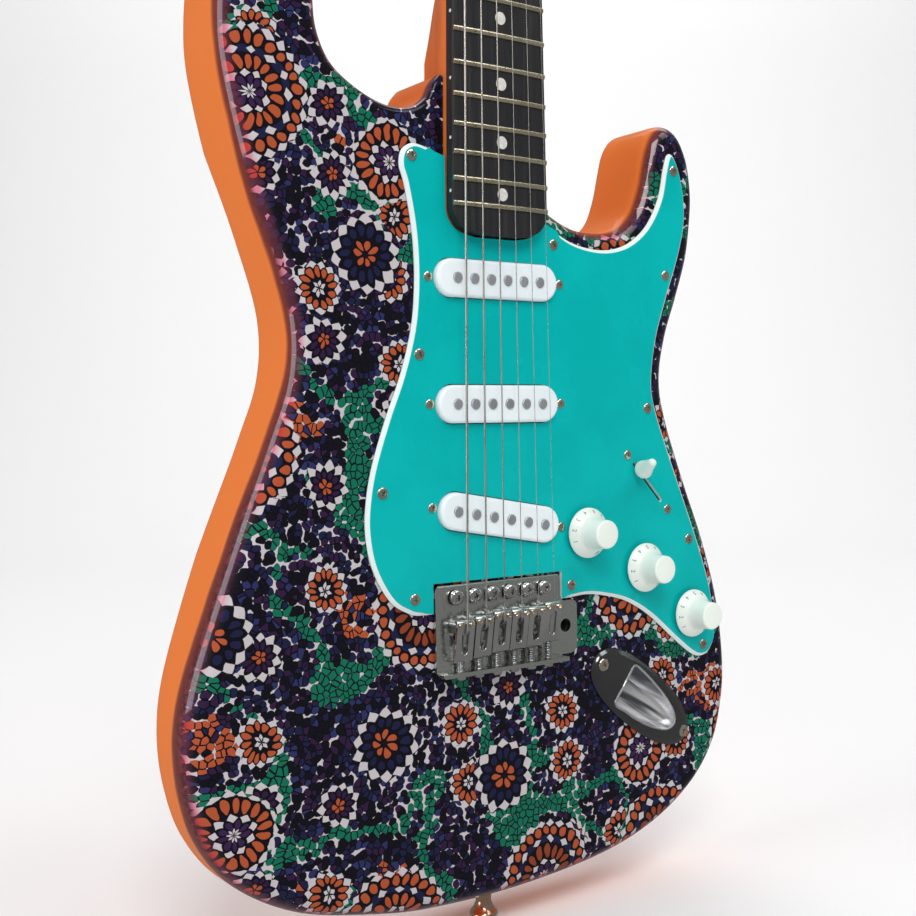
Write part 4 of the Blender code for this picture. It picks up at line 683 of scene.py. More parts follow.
def selector_frame():
    """Pivot, slot direction, lever direction and hinge axis of the pickup selector."""
    slot = Vector((SELECTOR_DIRECTION[0], 0.0, SELECTOR_DIRECTION[1])).normalized()
    pivot = at(SELECTOR_CENTRE[0], SELECTOR_PIVOT_W, SELECTOR_CENTRE[1] + TAIL_Z)
    lean = math.radians(SELECTOR_LEAN)
    lever = FORWARD * math.cos(lean) - slot * math.sin(lean)
    return pivot, slot, lever, FORWARD.cross(slot)


def jack_axes():
    """Centre of the jack plate and its unit vectors along and across, in (across, up) millimetres."""
    along = Vector(JACK_DIRECTION).normalized()
    return Vector((JACK_CENTRE[0], JACK_CENTRE[1] + TAIL_Z)), along, Vector((-along.y, along.x))


# Sizes and colours that a user may change
def distance(name, description, default):
    """Length property with the usual unit."""
    return FloatProperty(name=name, description=description, default=default, min=0.0, unit="LENGTH",
                         subtype="DISTANCE", precision=5)


def colour(name, description, default):
    """Linear colour property."""
    return FloatVectorProperty(name=name, description=description, default=default, min=0.0, max=1.0,
                               size=3, subtype="COLOR")


class GuitarSizes(bpy.types.PropertyGroup):
    """Sizes of the print and of the small parts."""

    rosette_pitch: distance("Rosette pitch", "Spacing of the large rosettes of the print", 0.072)
    tile_size: distance("Tile size", "Width of the small tiles between the rosettes", 0.0032)
    print_depth_treble: distance("Print depth, treble", "How far the print runs down the treble side", 0.0052)
    print_depth_bass: distance("Print depth, bass", "How far the print runs down the bass side", 0.0115)
    fret_width: distance("Fret width", "Width of a fret's crown", 0.0025)
    fret_height: distance("Fret height", "Height of a fret over the board", 0.001)
    fret_count: IntProperty(name="Frets", description="Number of frets", default=FRET_COUNT, min=1, max=24)
    dot_diameter: distance("Position dot", "Diameter of the dots in the fretboard", 0.0060)
    side_dot_diameter: distance("Side dot", "Diameter of the dots on the board's edge", 0.0016)
    guard_screw_head: distance("Pickguard screw head", "Diameter of a pickguard screw's head", 0.0056)
    pivot_screw_head: distance("Pivot screw head", "Diameter of a bridge pivot screw's head", 0.0072)
    plate_screw_head: distance("Plate screw head", "Diameter of a jack or neck plate screw's head", 0.0066)
    spring_wire: distance("Spring wire", "Wire diameter of the tremolo springs", 0.0011)
    saddle_spring_wire: distance("Saddle spring wire", "Wire diameter of a saddle's length spring", 0.0005)
    numeral_height: distance("Numeral height", "Height of the numbers on the knob skirts", 0.0030)


class GuitarColours(bpy.types.PropertyGroup):
    """Colours of the finishes."""

    petal: colour("Petals", "Rust orange of the print's petals", (0.42, 0.084, 0.030))
    tile_blue: colour("Blue tiles", "Navy of the small tiles", (0.011, 0.013, 0.050))
    tile_purple: colour("Purple tiles", "Purple of the small tiles", (0.028, 0.010, 0.046))
    leaf: colour("Green tiles", "Green of the tile bands", (0.004, 0.150, 0.088))
    joint: colour("Tile outlines", "Near black between the tiles", (0.003, 0.0025, 0.006))
    star: colour("Stars", "Off-white of the small stars and joints", (0.56, 0.52, 0.54))
    edge: colour("Edge burst", "Reddish brown between the print and the orange sides", (0.20, 0.036, 0.024))
    side: colour("Orange lacquer", "Orange of the sides, back and neck", (0.80, 0.205, 0.040))
    board: colour("Fretboard", "Near black wood of the fretboard", (0.015, 0.016, 0.019))
    guard: colour("Pickguard", "Teal top layer of the pickguard", (0.0, 0.46, 0.45))
    guard_edge: colour("Pickguard edge", "Mint white middle layer of the pickguard", (0.82, 0.95, 0.93))
    cover: colour("Pickup covers", "White with a touch of blue", (0.86, 0.94, 0.985))
    mint: colour("Knobs", "Mint white of the knobs and the selector tip", (0.87, 0.94, 0.87))
    numeral: colour("Numerals", "Grey blue of the numbers on the knobs", (0.16, 0.20, 0.26))
    bone: colour("Nut", "Bone of the nut", (0.80, 0.76, 0.64))
    pearl: colour("Dots", "Pearl of the position dots", (0.78, 0.77, 0.72))
    chrome: colour("Chrome", "Plating of the bridge and tuners", (0.62, 0.61, 0.60))
    nickel: colour("Nickel", "Warm plating of the screws and frets", (0.70, 0.62, 0.50))
    steel: colour("Steel", "Plain steel of the hidden metal parts", (0.48, 0.48, 0.49))
    bronze: colour("Strap buttons", "Bronze of the strap buttons", (0.62, 0.40, 0.28))


def sizes():
    """Sizes of the current scene."""
    return bpy.context.scene.guitar_sizes


def colours():
    """Colours of the current scene."""
    return bpy.context.scene.guitar_colours


# Finishes
class Finish:
    """A material's node tree, with short calls for the nodes that the finishes share."""

    def __init__(self, name):
        self.material = bpy.data.materials.new(name)
        self.material.use_nodes = True
        self.tree = self.material.node_tree
        self.shader = self.tree.nodes["Principled BSDF"]
        self.place = self.add("ShaderNodeTexCoord").outputs["Object"]

    def add(self, kind, *links, **values):
        """Add a node with its properties and its incoming links."""
        return grow(self.tree, kind, links, **values)

    def put(self, label, value):
        """Link or set a socket of the shader."""
        feed(self.tree, self.shader.inputs[label], value)

    def calc(self, operation, *values):
        """One Math node."""
        return self.add("ShaderNodeMath", *enumerate(values), operation=operation).outputs[0]

    def span(self, value, low, high, to_low=0.0, to_high=1.0, smooth=True):
        """Map a range to another, held at both ends."""
        links = zip(("Value", "From Min", "From Max", "To Min", "To Max"),
                    (value, low, high, to_low, to_high))
        kind = "SMOOTHSTEP" if smooth else "LINEAR"
        return self.add("ShaderNodeMapRange", *links, interpolation_type=kind).outputs[0]

    def blend(self, share, first, second):
        """Mix two colours."""
        return self.add("ShaderNodeMix", (0, share), (6, first), (7, second), data_type="RGBA").outputs[2]

    def noise(self, scale, detail=3.0, place=None):
        """Noise over the piece; the scale is in repeats for each metre."""
        place = place or self.place
        return self.add("ShaderNodeTexNoise", ("Scale", scale), ("Detail", detail),
                        ("Vector", place)).outputs["Fac"]

    def stretched(self, scale):
        """Object place scaled by its own amount on each axis."""
        return self.add("ShaderNodeMapping", ("Scale", scale), ("Vector", self.place)).outputs[0]

    def split(self, vector):
        """The three parts of a vector."""
        return self.add("ShaderNodeSeparateXYZ", (0, vector)).outputs

    def bump(self, height, depth):
        """Raise the surface by a height map; the depth is in metres."""
        links = (("Strength", 1.0), ("Distance", depth), ("Height", height))
        self.put("Normal", self.add("ShaderNodeBump", *links).outputs[0])

    def mottle(self, value, tint, low, high):
        """Colour the surface between a darker and a lighter shade of a tint."""
        self.put("Base Color", self.blend(self.span(value, 0.3, 0.7), shade(tint, low), shade(tint, high)))


def shade(tint, amount):
    """A colour made darker or lighter."""
    return tuple(clamp(c * amount) for c in tint)


def metal_finish(name, tint, low, high, grain=(900.0, 900.0, 900.0), wear=0.12, relief=0.000008):
    """Plated metal with fine marks and a slight change of tone."""
    finish = Finish(name)
    finish.put("Metallic", 1.0)
    marks = finish.noise(1.0, 4.0, finish.stretched(grain))
    finish.mottle(finish.noise(45.0), tint, 1.0 - wear, 1.0 + wear)
    finish.put("Roughness", finish.span(marks, 0.35, 0.75, low, high))
    finish.bump(marks, relief)
    return finish.material


def dish_finish():
    """Pressed and polished dish with painted reflections: light and dark streaks painted along the jack
    plate.
    """
    finish = Finish("polished dish")
    finish.put("Metallic", 1.0)
    spin = (0.0, math.atan2(JACK_DIRECTION[1], JACK_DIRECTION[0]), 0.0)
    along = finish.add("ShaderNodeMapping", ("Rotation", spin), ("Vector", finish.place))
    long = finish.add("ShaderNodeMapping", ("Scale", (22.0, 22.0, 230.0)), ("Vector", along.outputs[0]))
    streak = finish.noise(1.0, 2.0, long.outputs[0])
    # Painted reflections: the base colour runs from near black to near white along the streaks
    finish.put("Base Color",
               finish.blend(finish.span(streak, 0.38, 0.58), (0.16, 0.17, 0.19), (0.97, 0.97, 0.98)))
    finish.put("Roughness", finish.span(streak, 0.3, 0.7, 0.34, 0.52))
    return finish.material


def plastic_finish(name, tint, low, high, grain=1400.0, speckle=0.04):
    """Moulded plastic with a faint skin and tone."""
    finish = Finish(name)
    tone = finish.noise(26.0)
    finish.mottle(tone, tint, 1.0 - speckle, 1.0 + speckle)
    finish.put("Roughness", finish.span(tone, 0.3, 0.7, low, high))
    finish.bump(finish.noise(grain, 2.0), 0.000006)
    return finish.material


def petals(finish, radius, angle, count, inner, outer, phase, fill=0.93, pointed=False):
    """One ring of petals or pointed chips: a value above 0 inside each, up to 1 at its middle."""
    calc = finish.calc
    turns = calc("ADD", calc("MULTIPLY", angle, count / (2.0 * math.pi)), phase)
    local = calc("SUBTRACT", calc("FRACT", turns), 0.5)
    across = calc("MULTIPLY", local, 2.0 / fill)
    along = calc("DIVIDE", calc("SUBTRACT", radius, 0.5 * (inner + outer)), 0.5 * (outer - inner))
    if pointed:
        return calc("SUBTRACT", 1.0, calc("ADD", calc("ABSOLUTE", across), calc("ABSOLUTE", along)))
    total = calc("ADD", calc("MULTIPLY", across, across), calc("MULTIPLY", along, along))
    return calc("SUBTRACT", 1.0, calc("SQRT", total))


def print_finish(size, tint):
    """Glossy mosaic print on the face, running through red into the orange of the sides."""
    finish = Finish("mosaic print and orange lacquer")
    blend = finish.blend
    calc = finish.calc
    span = finish.span
    parts = finish.split(finish.place)
    flat = finish.add("ShaderNodeCombineXYZ", (0, calc("MULTIPLY", parts[0], 1000.0)),
                      (1, calc("MULTIPLY", parts[2], 1000.0))).outputs[0]
    sway = finish.add("ShaderNodeTexNoise", ("Scale", 0.07), ("Vector", flat), noise_dimensions="2D")
    place = finish.add("ShaderNodeVectorMath", (0, sway.outputs["Color"]), (1, (5.0, 5.0, 0.0)), (2, flat),
                       operation="MULTIPLY_ADD").outputs[0]

    def cells(spacing, randomness, feature="F1"):
        return finish.add("ShaderNodeTexVoronoi", ("Scale", 1.0 / spacing), ("Randomness", randomness),
                          ("Vector", place), voronoi_dimensions="2D", feature=feature)

    def above(value, limit, soft=0.04):
        return span(value, limit - soft, limit + soft, smooth=False)

    def less(value, limit):
        return calc("LESS_THAN", value, limit)

    def over(value, limit):
        return calc("GREATER_THAN", value, limit)

    def polar(source):
        local = finish.add("ShaderNodeVectorMath", (0, place), (1, source.outputs["Position"]),
                           operation="SUBTRACT").outputs[0]
        length = finish.add("ShaderNodeVectorMath", (0, local), operation="LENGTH").outputs["Value"]
        parts = finish.split(local)
        random = finish.add("ShaderNodeSeparateColor", (0, source.outputs["Color"])).outputs
        return length, calc("ARCTAN2", parts[1], parts[0]), random[0], random[1]

    # Small tiles with black joints, in green and rust where a slow noise says so, with off-white chips
    step = size.tile_size * 1000.0
    tile = cells(step, 0.9)
    joint = cells(step, 0.9, "DISTANCE_TO_EDGE").outputs["Distance"]
    tone = finish.add("ShaderNodeSeparateColor", (0, tile.outputs["Color"])).outputs
    ground = blend(over(tone[0], 0.5), tint.tile_blue, tint.tile_purple)
    ground = blend(over(tone[1], 0.80), ground, shade(tint.tile_blue, 2.2))
    ground = blend(over(tone[2], 0.56), ground, shade(tint.joint, 1.6))
    wide = finish.add("ShaderNodeVectorMath", (0, tile.outputs["Position"]), ("Scale", 0.001),
                      operation="SCALE")
    drift = finish.noise(15.0, 1.5, wide.outputs[0])
    band = calc("ABSOLUTE", calc("SUBTRACT", drift, 0.53))
    ground = blend(less(band, 0.024), ground, tint.leaf)
    rust = calc("MULTIPLY", over(drift, 0.64), less(tone[1], 0.6))
    ground = blend(rust, ground, tint.petal)
    ground = blend(span(joint, 0.07, 0.13, 1.0, 0.0), ground, tint.joint)
    beside = calc("MULTIPLY", over(band, 0.024), less(band, 0.036))
    patch = span(finish.noise(34.0, 1.0), 0.42, 0.66)
    limit = calc("SUBTRACT", 0.80, calc("MULTIPLY", 0.17, calc("MAXIMUM", patch, beside)))
    fine = calc("MULTIPLY", calc("SUBTRACT", finish.noise(260.0, 2.0), 0.5), 0.45)
    corner = calc("SUBTRACT", calc("ADD", tile.outputs["Distance"], fine), limit)
    picture = blend(above(corner, 0.0, 0.015), ground, tint.star)

    def ring(current, spot, count, inner, outer, phase, tone_inside, fill=0.93, rim=0.24):
        value = petals(finish, spot[0], spot[1], count, inner, outer, phase, fill)
        inside = blend(above(value, rim, 0.03), tint.joint, tone_inside)
        return blend(above(value, 0.0, 0.02), current, inside)

    def chips(current, spot, count, inner, outer, phase, fill=0.6):
        middle = 0.5 * (inner + outer)
        half = 0.56 * (outer - inner)
        value = petals(finish, spot[0], spot[1], count, middle - half, middle + half, phase, fill + 0.12,
                       True)
        return blend(above(value, 0.06), current, tint.star)

    # Large rosettes, with one or two rings of petals
    large = polar(cells(size.rosette_pitch * 1000.0, 0.5))
    radius, angle, pick, second = large
    dark = shade(tint.joint, 1.5)
    full = blend(less(radius, 25.0), picture, dark)
    full = chips(full, large, 26.0, 24.6, 28.2, 0.5, 0.8)
    full = ring(full, large, 26.0, 19.6, 25.6, 0.0, tint.petal)
    full = ring(full, large, 13.0, 15.4, 20.6, 0.0, tint.tile_blue)
    full = chips(full, large, 13.0, 16.6, 20.2, 0.5, 0.5)
    plain = blend(less(radius, 17.0), picture, dark)
    plain = chips(plain, large, 18.0, 15.4, 19.4, 0.5, 0.85)
    heart = blend(over(second, 0.42), plain, full)
    whole = blend(less(radius, 16.6), heart, dark)
    whole = ring(whole, large, 18.0, 8.6, 16.8, 0.0,
                 blend(over(pick, 0.7), tint.petal, shade(tint.petal, 0.6)))
    whole = chips(whole, large, 9.0, 6.4, 9.6, 0.0, 0.75)
    whole = ring(whole, large, 9.0, 2.0, 7.6, 0.5, shade(tint.tile_purple, 1.4))
    whole = chips(whole, large, 9.0, 0.2, 3.4, 0.0, 0.75)
    starry = chips(blend(less(radius, 16.6), picture, dark), large, 14.0, 12.6, 17.6, 0.0, 0.9)
    starry = ring(starry, large, 14.0, 7.0, 13.2, 0.5, tint.tile_blue)
    starry = ring(starry, large, 7.0, 1.2, 7.2, 0.0, tint.petal)
    picture = blend(over(pick, 0.30), starry, whole)

    # Small rosettes where there is room between the large ones
    small = polar(cells(size.rosette_pitch * 470.0, 0.6))
    both = calc("MULTIPLY", over(second, 0.42), over(pick, 0.30))
    reach = calc("ADD", 18.5, calc("MULTIPLY", both, 10.0))
    room = calc("MULTIPLY", over(small[2], 0.42), over(radius, reach))
    under = blend(less(small[0], 9.4), picture, dark)
    bloom = chips(under, small, 13.0, 8.2, 11.4, 0.5, 0.85)
    bloom = ring(bloom, small, 13.0, 4.0, 9.6, 0.0, tint.petal)
    bloom = chips(bloom, small, 6.0, 0.4, 3.4, 0.0, 0.8)
    pale = chips(under, small, 11.0, 6.6, 10.6, 0.0, 0.92)
    pale = ring(pale, small, 11.0, 3.0, 7.2, 0.5, tint.tile_purple)
    pale = ring(pale, small, 5.0, 0.0, 3.6, 0.0, tint.petal)
    picture = blend(room, picture, blend(over(small[3], 0.55), bloom, pale))

    # Burst: how far a point lies past the print's edge, in millimetres
    past = finish.add("ShaderNodeAttribute", attribute_name="past_print").outputs["Fac"]
    ragged = calc("MULTIPLY", calc("SUBTRACT", finish.noise(420.0, 4.0), 0.5), 5.0)
    slow = calc("MULTIPLY", calc("SUBTRACT", finish.noise(26.0, 2.0), 0.5), 4.0)
    wander = calc("ADD", calc("ADD", past, ragged), slow)
    speck = blend(span(finish.noise(330.0, 2.0), 0.42, 0.60), (0.045, 0.010, 0.022), (0.17, 0.040, 0.045))
    speck = blend(span(calc("ADD", past, slow), -7.0, -1.5), speck, (0.14, 0.026, 0.020))
    depth = finish.add("ShaderNodeAttribute", attribute_name="face_depth").outputs["Fac"]
    fade = calc("DIVIDE", depth, calc("SUBTRACT", depth, past))
    fade = calc("ADD", fade, calc("MULTIPLY", slow, 0.03))
    burst = finish.add("ShaderNodeVectorMath", (0, picture), (1, (1.0, 0.34, 0.46)),
                       (2, (0.070, 0.014, 0.024)),
                       operation="MULTIPLY_ADD")
    paint = blend(span(fade, 0.12, 0.40), picture, burst.outputs[0])
    paint = blend(span(calc("ADD", depth, slow), 3.5, 7.0), paint, speck)
    paint = blend(span(wander, -3.0, 0.0), paint, tint.edge)
    paint = blend(span(calc("ADD", past, slow), -0.5, 2.6), paint, tint.side)
    finish.put("Base Color", paint)
    finish.put("Roughness", span(past, -2.0, 4.0, 0.30, 0.42))
    gloss = calc("MULTIPLY", span(depth, 0.3, 2.5, 0.38, 1.0), span(past, -3.0, 3.0, 1.0, 0.25))
    finish.put("Coat Weight", gloss)
    finish.put("Specular IOR Level", 0.06)
    finish.put("Coat Roughness", 0.05)
    finish.put("Coat IOR", 1.5)
    finish.bump(finish.noise(110.0, 2.0), 0.00006)
    return finish.material


def neck_finish(tint):
    """Satin orange lacquer over maple."""
    finish = Finish("orange neck lacquer")
    grain = finish.noise(1.0, 4.0, finish.stretched((160.0, 160.0, 9.0)))
    finish.mottle(grain, tint.side, 0.86, 1.06)
    finish.put("Roughness", finish.span(grain, 0.3, 0.7, 0.36, 0.46))
    finish.bump(grain, 0.00002)
    return finish.material


def board_finish(tint):
    """Near black open-pored wood with brown streaks along the neck."""
    finish = Finish("dark fretboard wood")
    streak = finish.noise(1.0, 5.0, finish.stretched((300.0, 300.0, 7.0)))
    pores = finish.noise(1.0, 3.0, finish.stretched((1500.0, 1500.0, 60.0)))
    streaks = finish.blend(finish.span(streak, 0.45, 0.72), shade(tint.board, 0.8), (0.030, 0.028, 0.029))
    finish.put("Base Color", streaks)
    finish.put("Roughness", finish.span(pores, 0.35, 0.7, 0.38, 0.58))
    finish.bump(finish.span(pores, 0.52, 0.64, 1.0, 0.0), 0.00005)
    return finish.material


def guard_finish(tint):
    """Three-layer sheet: teal on top, mint white where the bevel cuts below it."""
    finish = Finish("layered pickguard")
    forward = finish.calc("MULTIPLY", finish.split(finish.place)[1], -1000.0)
    height = finish.calc("SUBTRACT", forward, BUTTON_DEPTH)
    skin = finish.noise(30.0)
    top = finish.blend(finish.span(skin, 0.3, 0.7), shade(tint.guard, 0.95), shade(tint.guard, 1.05))
    layers = finish.blend(finish.span(height, 2.30, 2.38, smooth=False), tint.guard_edge, top)
    layers = finish.blend(finish.span(height, 0.72, 0.80, smooth=False), shade(tint.guard_edge, 0.72), layers)
    finish.put("Base Color", layers)
    finish.put("Roughness", finish.span(skin, 0.3, 0.7, 0.24, 0.32))
    finish.put("Specular IOR Level", 0.12)
    finish.bump(finish.noise(160.0, 2.0), 0.00002)
    return finish.material


def pearl_finish(tint):
    """Pearl with faint bands."""
    finish = Finish("pearl")
    bands = finish.noise(520.0)
    finish.mottle(bands, tint.pearl, 0.82, 1.0)
    finish.put("Roughness", finish.span(bands, 0.3, 0.7, 0.18, 0.32))
    return finish.material


def string_finish(name, tint, wound):
    """Bright string steel, with the fine winding of the low strings."""
    finish = Finish(name)
    finish.put("Metallic", 1.0)
    tone = finish.noise(60.0, 2.0)
    finish.mottle(tone, tint, 0.9, 1.0)
    finish.put("Roughness", finish.span(tone, 0.3, 0.7, 0.24, 0.34))
    if wound:
        wave = finish.add("ShaderNodeTexWave", ("Scale", 900.0), ("Vector", finish.place), wave_type="BANDS",
                          bands_direction="Z", wave_profile="SIN")
        finish.bump(wave.outputs["Fac"], 0.00002)
    return finish.material


def paper_finish():
    """Matt studio paper with a faint tooth."""
    finish = Finish("studio paper")
    finish.mottle(finish.noise(900.0, 2.0), (0.90, 0.90, 0.905), 0.995, 1.0)
    finish.put("Roughness", 0.9)
    return finish.material


def make_finishes():
    """Make every finish once and return them by name."""
    tint = colours()
    return {
        "print": print_finish(sizes(), tint),
        "neck": neck_finish(tint),
        "board": board_finish(tint),
        "guard": guard_finish(tint),
        "pearl": pearl_finish(tint),
        "cover": plastic_finish("white pickup cover", tint.cover, 0.24, 0.32),
        "mint": plastic_finish("mint white plastic", tint.mint, 0.28, 0.38),
        "numeral": plastic_finish("numeral ink", tint.numeral, 0.5, 0.6),
        "bone": plastic_finish("bone", tint.bone, 0.34, 0.46, 700.0, 0.08),
        "back_cover": plastic_finish("white back cover", (0.80, 0.80, 0.77), 0.3, 0.4),
        "felt": plastic_finish("black felt", (0.02, 0.02, 0.02), 0.85, 0.95, 2600.0, 0.2),
        "chrome": metal_finish("chrome plating", tint.chrome, 0.05, 0.12),
        # Chrome of the jack plate with painted shade: its colour darkened far below plain chrome
        "shade_darkened_chrome": metal_finish("dark chrome plating", (0.15, 0.15, 0.155), 0.10, 0.20),
        "satin_plate": metal_finish("satin plate", (0.60, 0.62, 0.58), 0.22, 0.28, (700.0, 700.0, 700.0),
                                    0.04, 0.000001),
        # Dish with painted reflection streaks in its colour
        "dish": dish_finish(),
        "paper": paper_finish(),
        # Rim bead of the dish lightened far past the plate's chrome: a painted highlight
        "rim": metal_finish("polished rim", (0.92, 0.93, 0.95), 0.30, 0.40, wear=0.02),
        "nickel": metal_finish("warm nickel plating", tint.nickel, 0.14, 0.26),
        "fret": metal_finish("fret wire", (0.72, 0.65, 0.47), 0.16, 0.30, (400.0, 2200.0, 2200.0)),
        "steel": metal_finish("plain steel", tint.steel, 0.28, 0.42, wear=0.2),
        "pole": metal_finish("pole steel", (0.74, 0.75, 0.78), 0.44, 0.54, wear=0.1),
        "cast": metal_finish("cast block", (0.30, 0.30, 0.31), 0.38, 0.55, wear=0.25),
        "spring": metal_finish("spring wire", (0.55, 0.55, 0.56), 0.18, 0.28),
        "bronze": metal_finish("bronze plating", tint.bronze, 0.14, 0.26),
        "wound": string_finish("wound string", (0.66, 0.63, 0.58), True),
        "plain": string_finish("plain string", (0.74, 0.72, 0.68), False),
    }


FINISHES = {}


def finish_of(name):
    """A finish by its name, made on first use."""
    if not FINISHES:
        FINISHES.update(make_finishes())
    return FINISHES[name]


# Geometry Nodes for what repeats
def nodes_tree(name, inputs):
    """New Geometry Nodes tree with a geometry input, named inputs and a geometry output."""
    tree = bpy.data.node_groups.new(name, "GeometryNodeTree")
    tree.interface.new_socket("Geometry", in_out="INPUT", socket_type="NodeSocketGeometry")
    for label, kind, default in inputs:
        socket = tree.interface.new_socket(label, in_out="INPUT", socket_type=kind)
        if default is not None:
            socket.default_value = default
    tree.interface.new_socket("Geometry", in_out="OUTPUT", socket_type="NodeSocketGeometry")
    return tree, tree.nodes.new("NodeGroupInput"), tree.nodes.new("NodeGroupOutput")


def feed(tree, socket, value):
    """Link a socket, or set it to a plain value."""
    if isinstance(value, bpy.types.NodeSocket):
        tree.links.new(value, socket)
    elif socket.type == "RGBA" and not isinstance(value, (int, float)):
        socket.default_value = (value[0], value[1], value[2], 1.0)
    else:
        socket.default_value = value


def grow(tree, kind, links=(), **values):
    """Add a node to a tree with its properties and its incoming links."""
    node = tree.nodes.new(kind)
    for key, value in values.items():
        setattr(node, key, value)
    for label, source in links:
        feed(tree, node.inputs[label], source)
    return node


def own_value(tree, name, kind):
    """Output of a Named Attribute node; the node keeps one output for each type and hides the rest."""
    node = grow(tree, "GeometryNodeInputNamedAttribute", [("Name", name)], data_type=kind)
    return next(socket for socket in node.outputs if socket.enabled and socket.name == "Attribute")


def close_tree(tree, geometry, start, end):
    """End a tree with Realize Instances and Set Material."""
    real = grow(tree, "GeometryNodeRealizeInstances", [("Geometry", geometry)])
    painted = grow(tree, "GeometryNodeSetMaterial", [
        ("Geometry", real.outputs[0]), ("Material", start.outputs["Finish"]),
    ])
    tree.links.new(painted.outputs[0], end.inputs[0])


def copies_tree():
    """Copies of a template on points, turned and sized by each point's own values."""
    tree, start, end = nodes_tree("copies on points", (
        ("Template", "NodeSocketObject", None), ("Diameter", "NodeSocketFloat", 0.005),
        ("Finish", "NodeSocketMaterial", None),
    ))
    template = grow(tree, "GeometryNodeObjectInfo",
                    [("Object", start.outputs["Template"]), ("As Instance", True)])
    turn = own_value(tree, "turn", "FLOAT_VECTOR")
    grown = own_value(tree, "grow", "FLOAT")
    size = grow(tree, "ShaderNodeMath", [(0, start.outputs["Diameter"]), (1, grown)], operation="MULTIPLY")
    triple = grow(tree, "ShaderNodeCombineXYZ", [(k, size.outputs[0]) for k in range(3)])
    copies = grow(tree, "GeometryNodeInstanceOnPoints", [
        ("Points", start.outputs["Geometry"]), ("Instance", template.outputs["Geometry"]),
        ("Rotation", turn), ("Scale", triple.outputs[0]),
    ])
    close_tree(tree, copies.outputs[0], start, end)
    return tree


def coils_tree():
    """A wire coil on each point, wound along the point's own direction."""
    tree, start, end = nodes_tree("coils on points", (
        ("Turns", "NodeSocketFloat", 12.0), ("Radius", "NodeSocketFloat", 0.004),
        ("Length", "NodeSocketFloat", 0.05), ("Wire", "NodeSocketFloat", 0.001),
        ("Sides", "NodeSocketInt", 8), ("Steps", "NodeSocketInt", 20), ("Finish", "NodeSocketMaterial", None),
    ))
    spiral = grow(tree, "GeometryNodeCurveSpiral", [
        ("Resolution", start.outputs["Steps"]), ("Rotations", start.outputs["Turns"]),
        ("Start Radius", start.outputs["Radius"]), ("End Radius", start.outputs["Radius"]),
        ("Height", start.outputs["Length"]),
    ])
    half = grow(tree, "ShaderNodeMath", [(0, start.outputs["Wire"]), (1, 0.5)], operation="MULTIPLY")
    wire = grow(tree, "GeometryNodeCurvePrimitiveCircle",
                [("Resolution", start.outputs["Sides"]), ("Radius", half.outputs[0])])
    tube = grow(tree, "GeometryNodeCurveToMesh", [
        ("Curve", spiral.outputs[0]), ("Profile Curve", wire.outputs[0]), ("Fill Caps", True),
    ])
    copies = grow(tree, "GeometryNodeInstanceOnPoints", [
        ("Points", start.outputs["Geometry"]), ("Instance", tube.outputs[0]),
        ("Rotation", own_value(tree, "turn", "FLOAT_VECTOR")),
    ])
    close_tree(tree, copies.outputs[0], start, end)
    return tree


def frets_tree():
    """Frets spaced by the twelfth root of two, as wide as the neck and bent to the board's radius."""
    tree, start, end = nodes_tree("frets along a scale", (
        ("Scale length", "NodeSocketFloat", SCALE_LENGTH * MM), ("Nut height", "NodeSocketFloat", NUT_Z * MM),
        ("Nut width", "NodeSocketFloat", NUT_WIDTH * MM), ("Taper", "NodeSocketFloat", 0.03),
        ("Board radius", "NodeSocketFloat", BOARD_RADIUS * MM), ("Crown", "NodeSocketFloat", 0.001),
        ("Board front", "NodeSocketFloat", 0.0), ("Frets", "NodeSocketInt", FRET_COUNT),
        ("Template", "NodeSocketObject", None), ("Finish", "NodeSocketMaterial", None),
    ))

    def calc(operation, first, second):
        return grow(tree, "ShaderNodeMath", [(0, first), (1, second)], operation=operation).outputs[0]

    number = calc("ADD", grow(tree, "GeometryNodeInputIndex").outputs[0], 1.0)
    ratio = calc("POWER", 2.0, calc("DIVIDE", number, -12.0))
    drop = calc("MULTIPLY", start.outputs["Scale length"], calc("SUBTRACT", 1.0, ratio))
    height = calc("SUBTRACT", start.outputs["Nut height"], drop)
    place = grow(tree, "ShaderNodeCombineXYZ", [(0, 0.0), (1, 0.0), (2, height)])
    points = grow(tree, "GeometryNodePoints",
                  [("Count", start.outputs["Frets"]), ("Position", place.outputs[0])])
    where = grow(tree, "ShaderNodeSeparateXYZ", [(0, grow(tree, "GeometryNodeInputPosition").outputs[0])])
    below = calc("SUBTRACT", start.outputs["Nut height"], where.outputs[2])
    width = calc("ADD", start.outputs["Nut width"], calc("MULTIPLY", below, start.outputs["Taper"]))
    grown = grow(tree, "ShaderNodeCombineXYZ", [(0, width), (1, 1.0), (2, 1.0)])
    template = grow(tree, "GeometryNodeObjectInfo",
                    [("Object", start.outputs["Template"]), ("As Instance", True)])
    bars = grow(tree, "GeometryNodeInstanceOnPoints", [
        ("Points", points.outputs[0]), ("Instance", template.outputs["Geometry"]),
        ("Scale", grown.outputs[0]),
    ])
    real = grow(tree, "GeometryNodeRealizeInstances", [("Geometry", bars.outputs[0])])
    spot = grow(tree, "ShaderNodeSeparateXYZ", [(0, grow(tree, "GeometryNodeInputPosition").outputs[0])])
    square = calc("MULTIPLY", spot.outputs[0], spot.outputs[0])
    sag = calc("DIVIDE", square, calc("MULTIPLY", start.outputs["Board radius"], 2.0))
    lift = grow(tree, "ShaderNodeCombineXYZ",
                [(0, 0.0), (1, calc("ADD", sag, start.outputs["Board front"])), (2, 0.0)])
    bent = grow(tree, "GeometryNodeSetPosition", [("Geometry", real.outputs[0]), ("Offset", lift.outputs[0])])
    close_tree(tree, bent.outputs[0], start, end)
    return tree


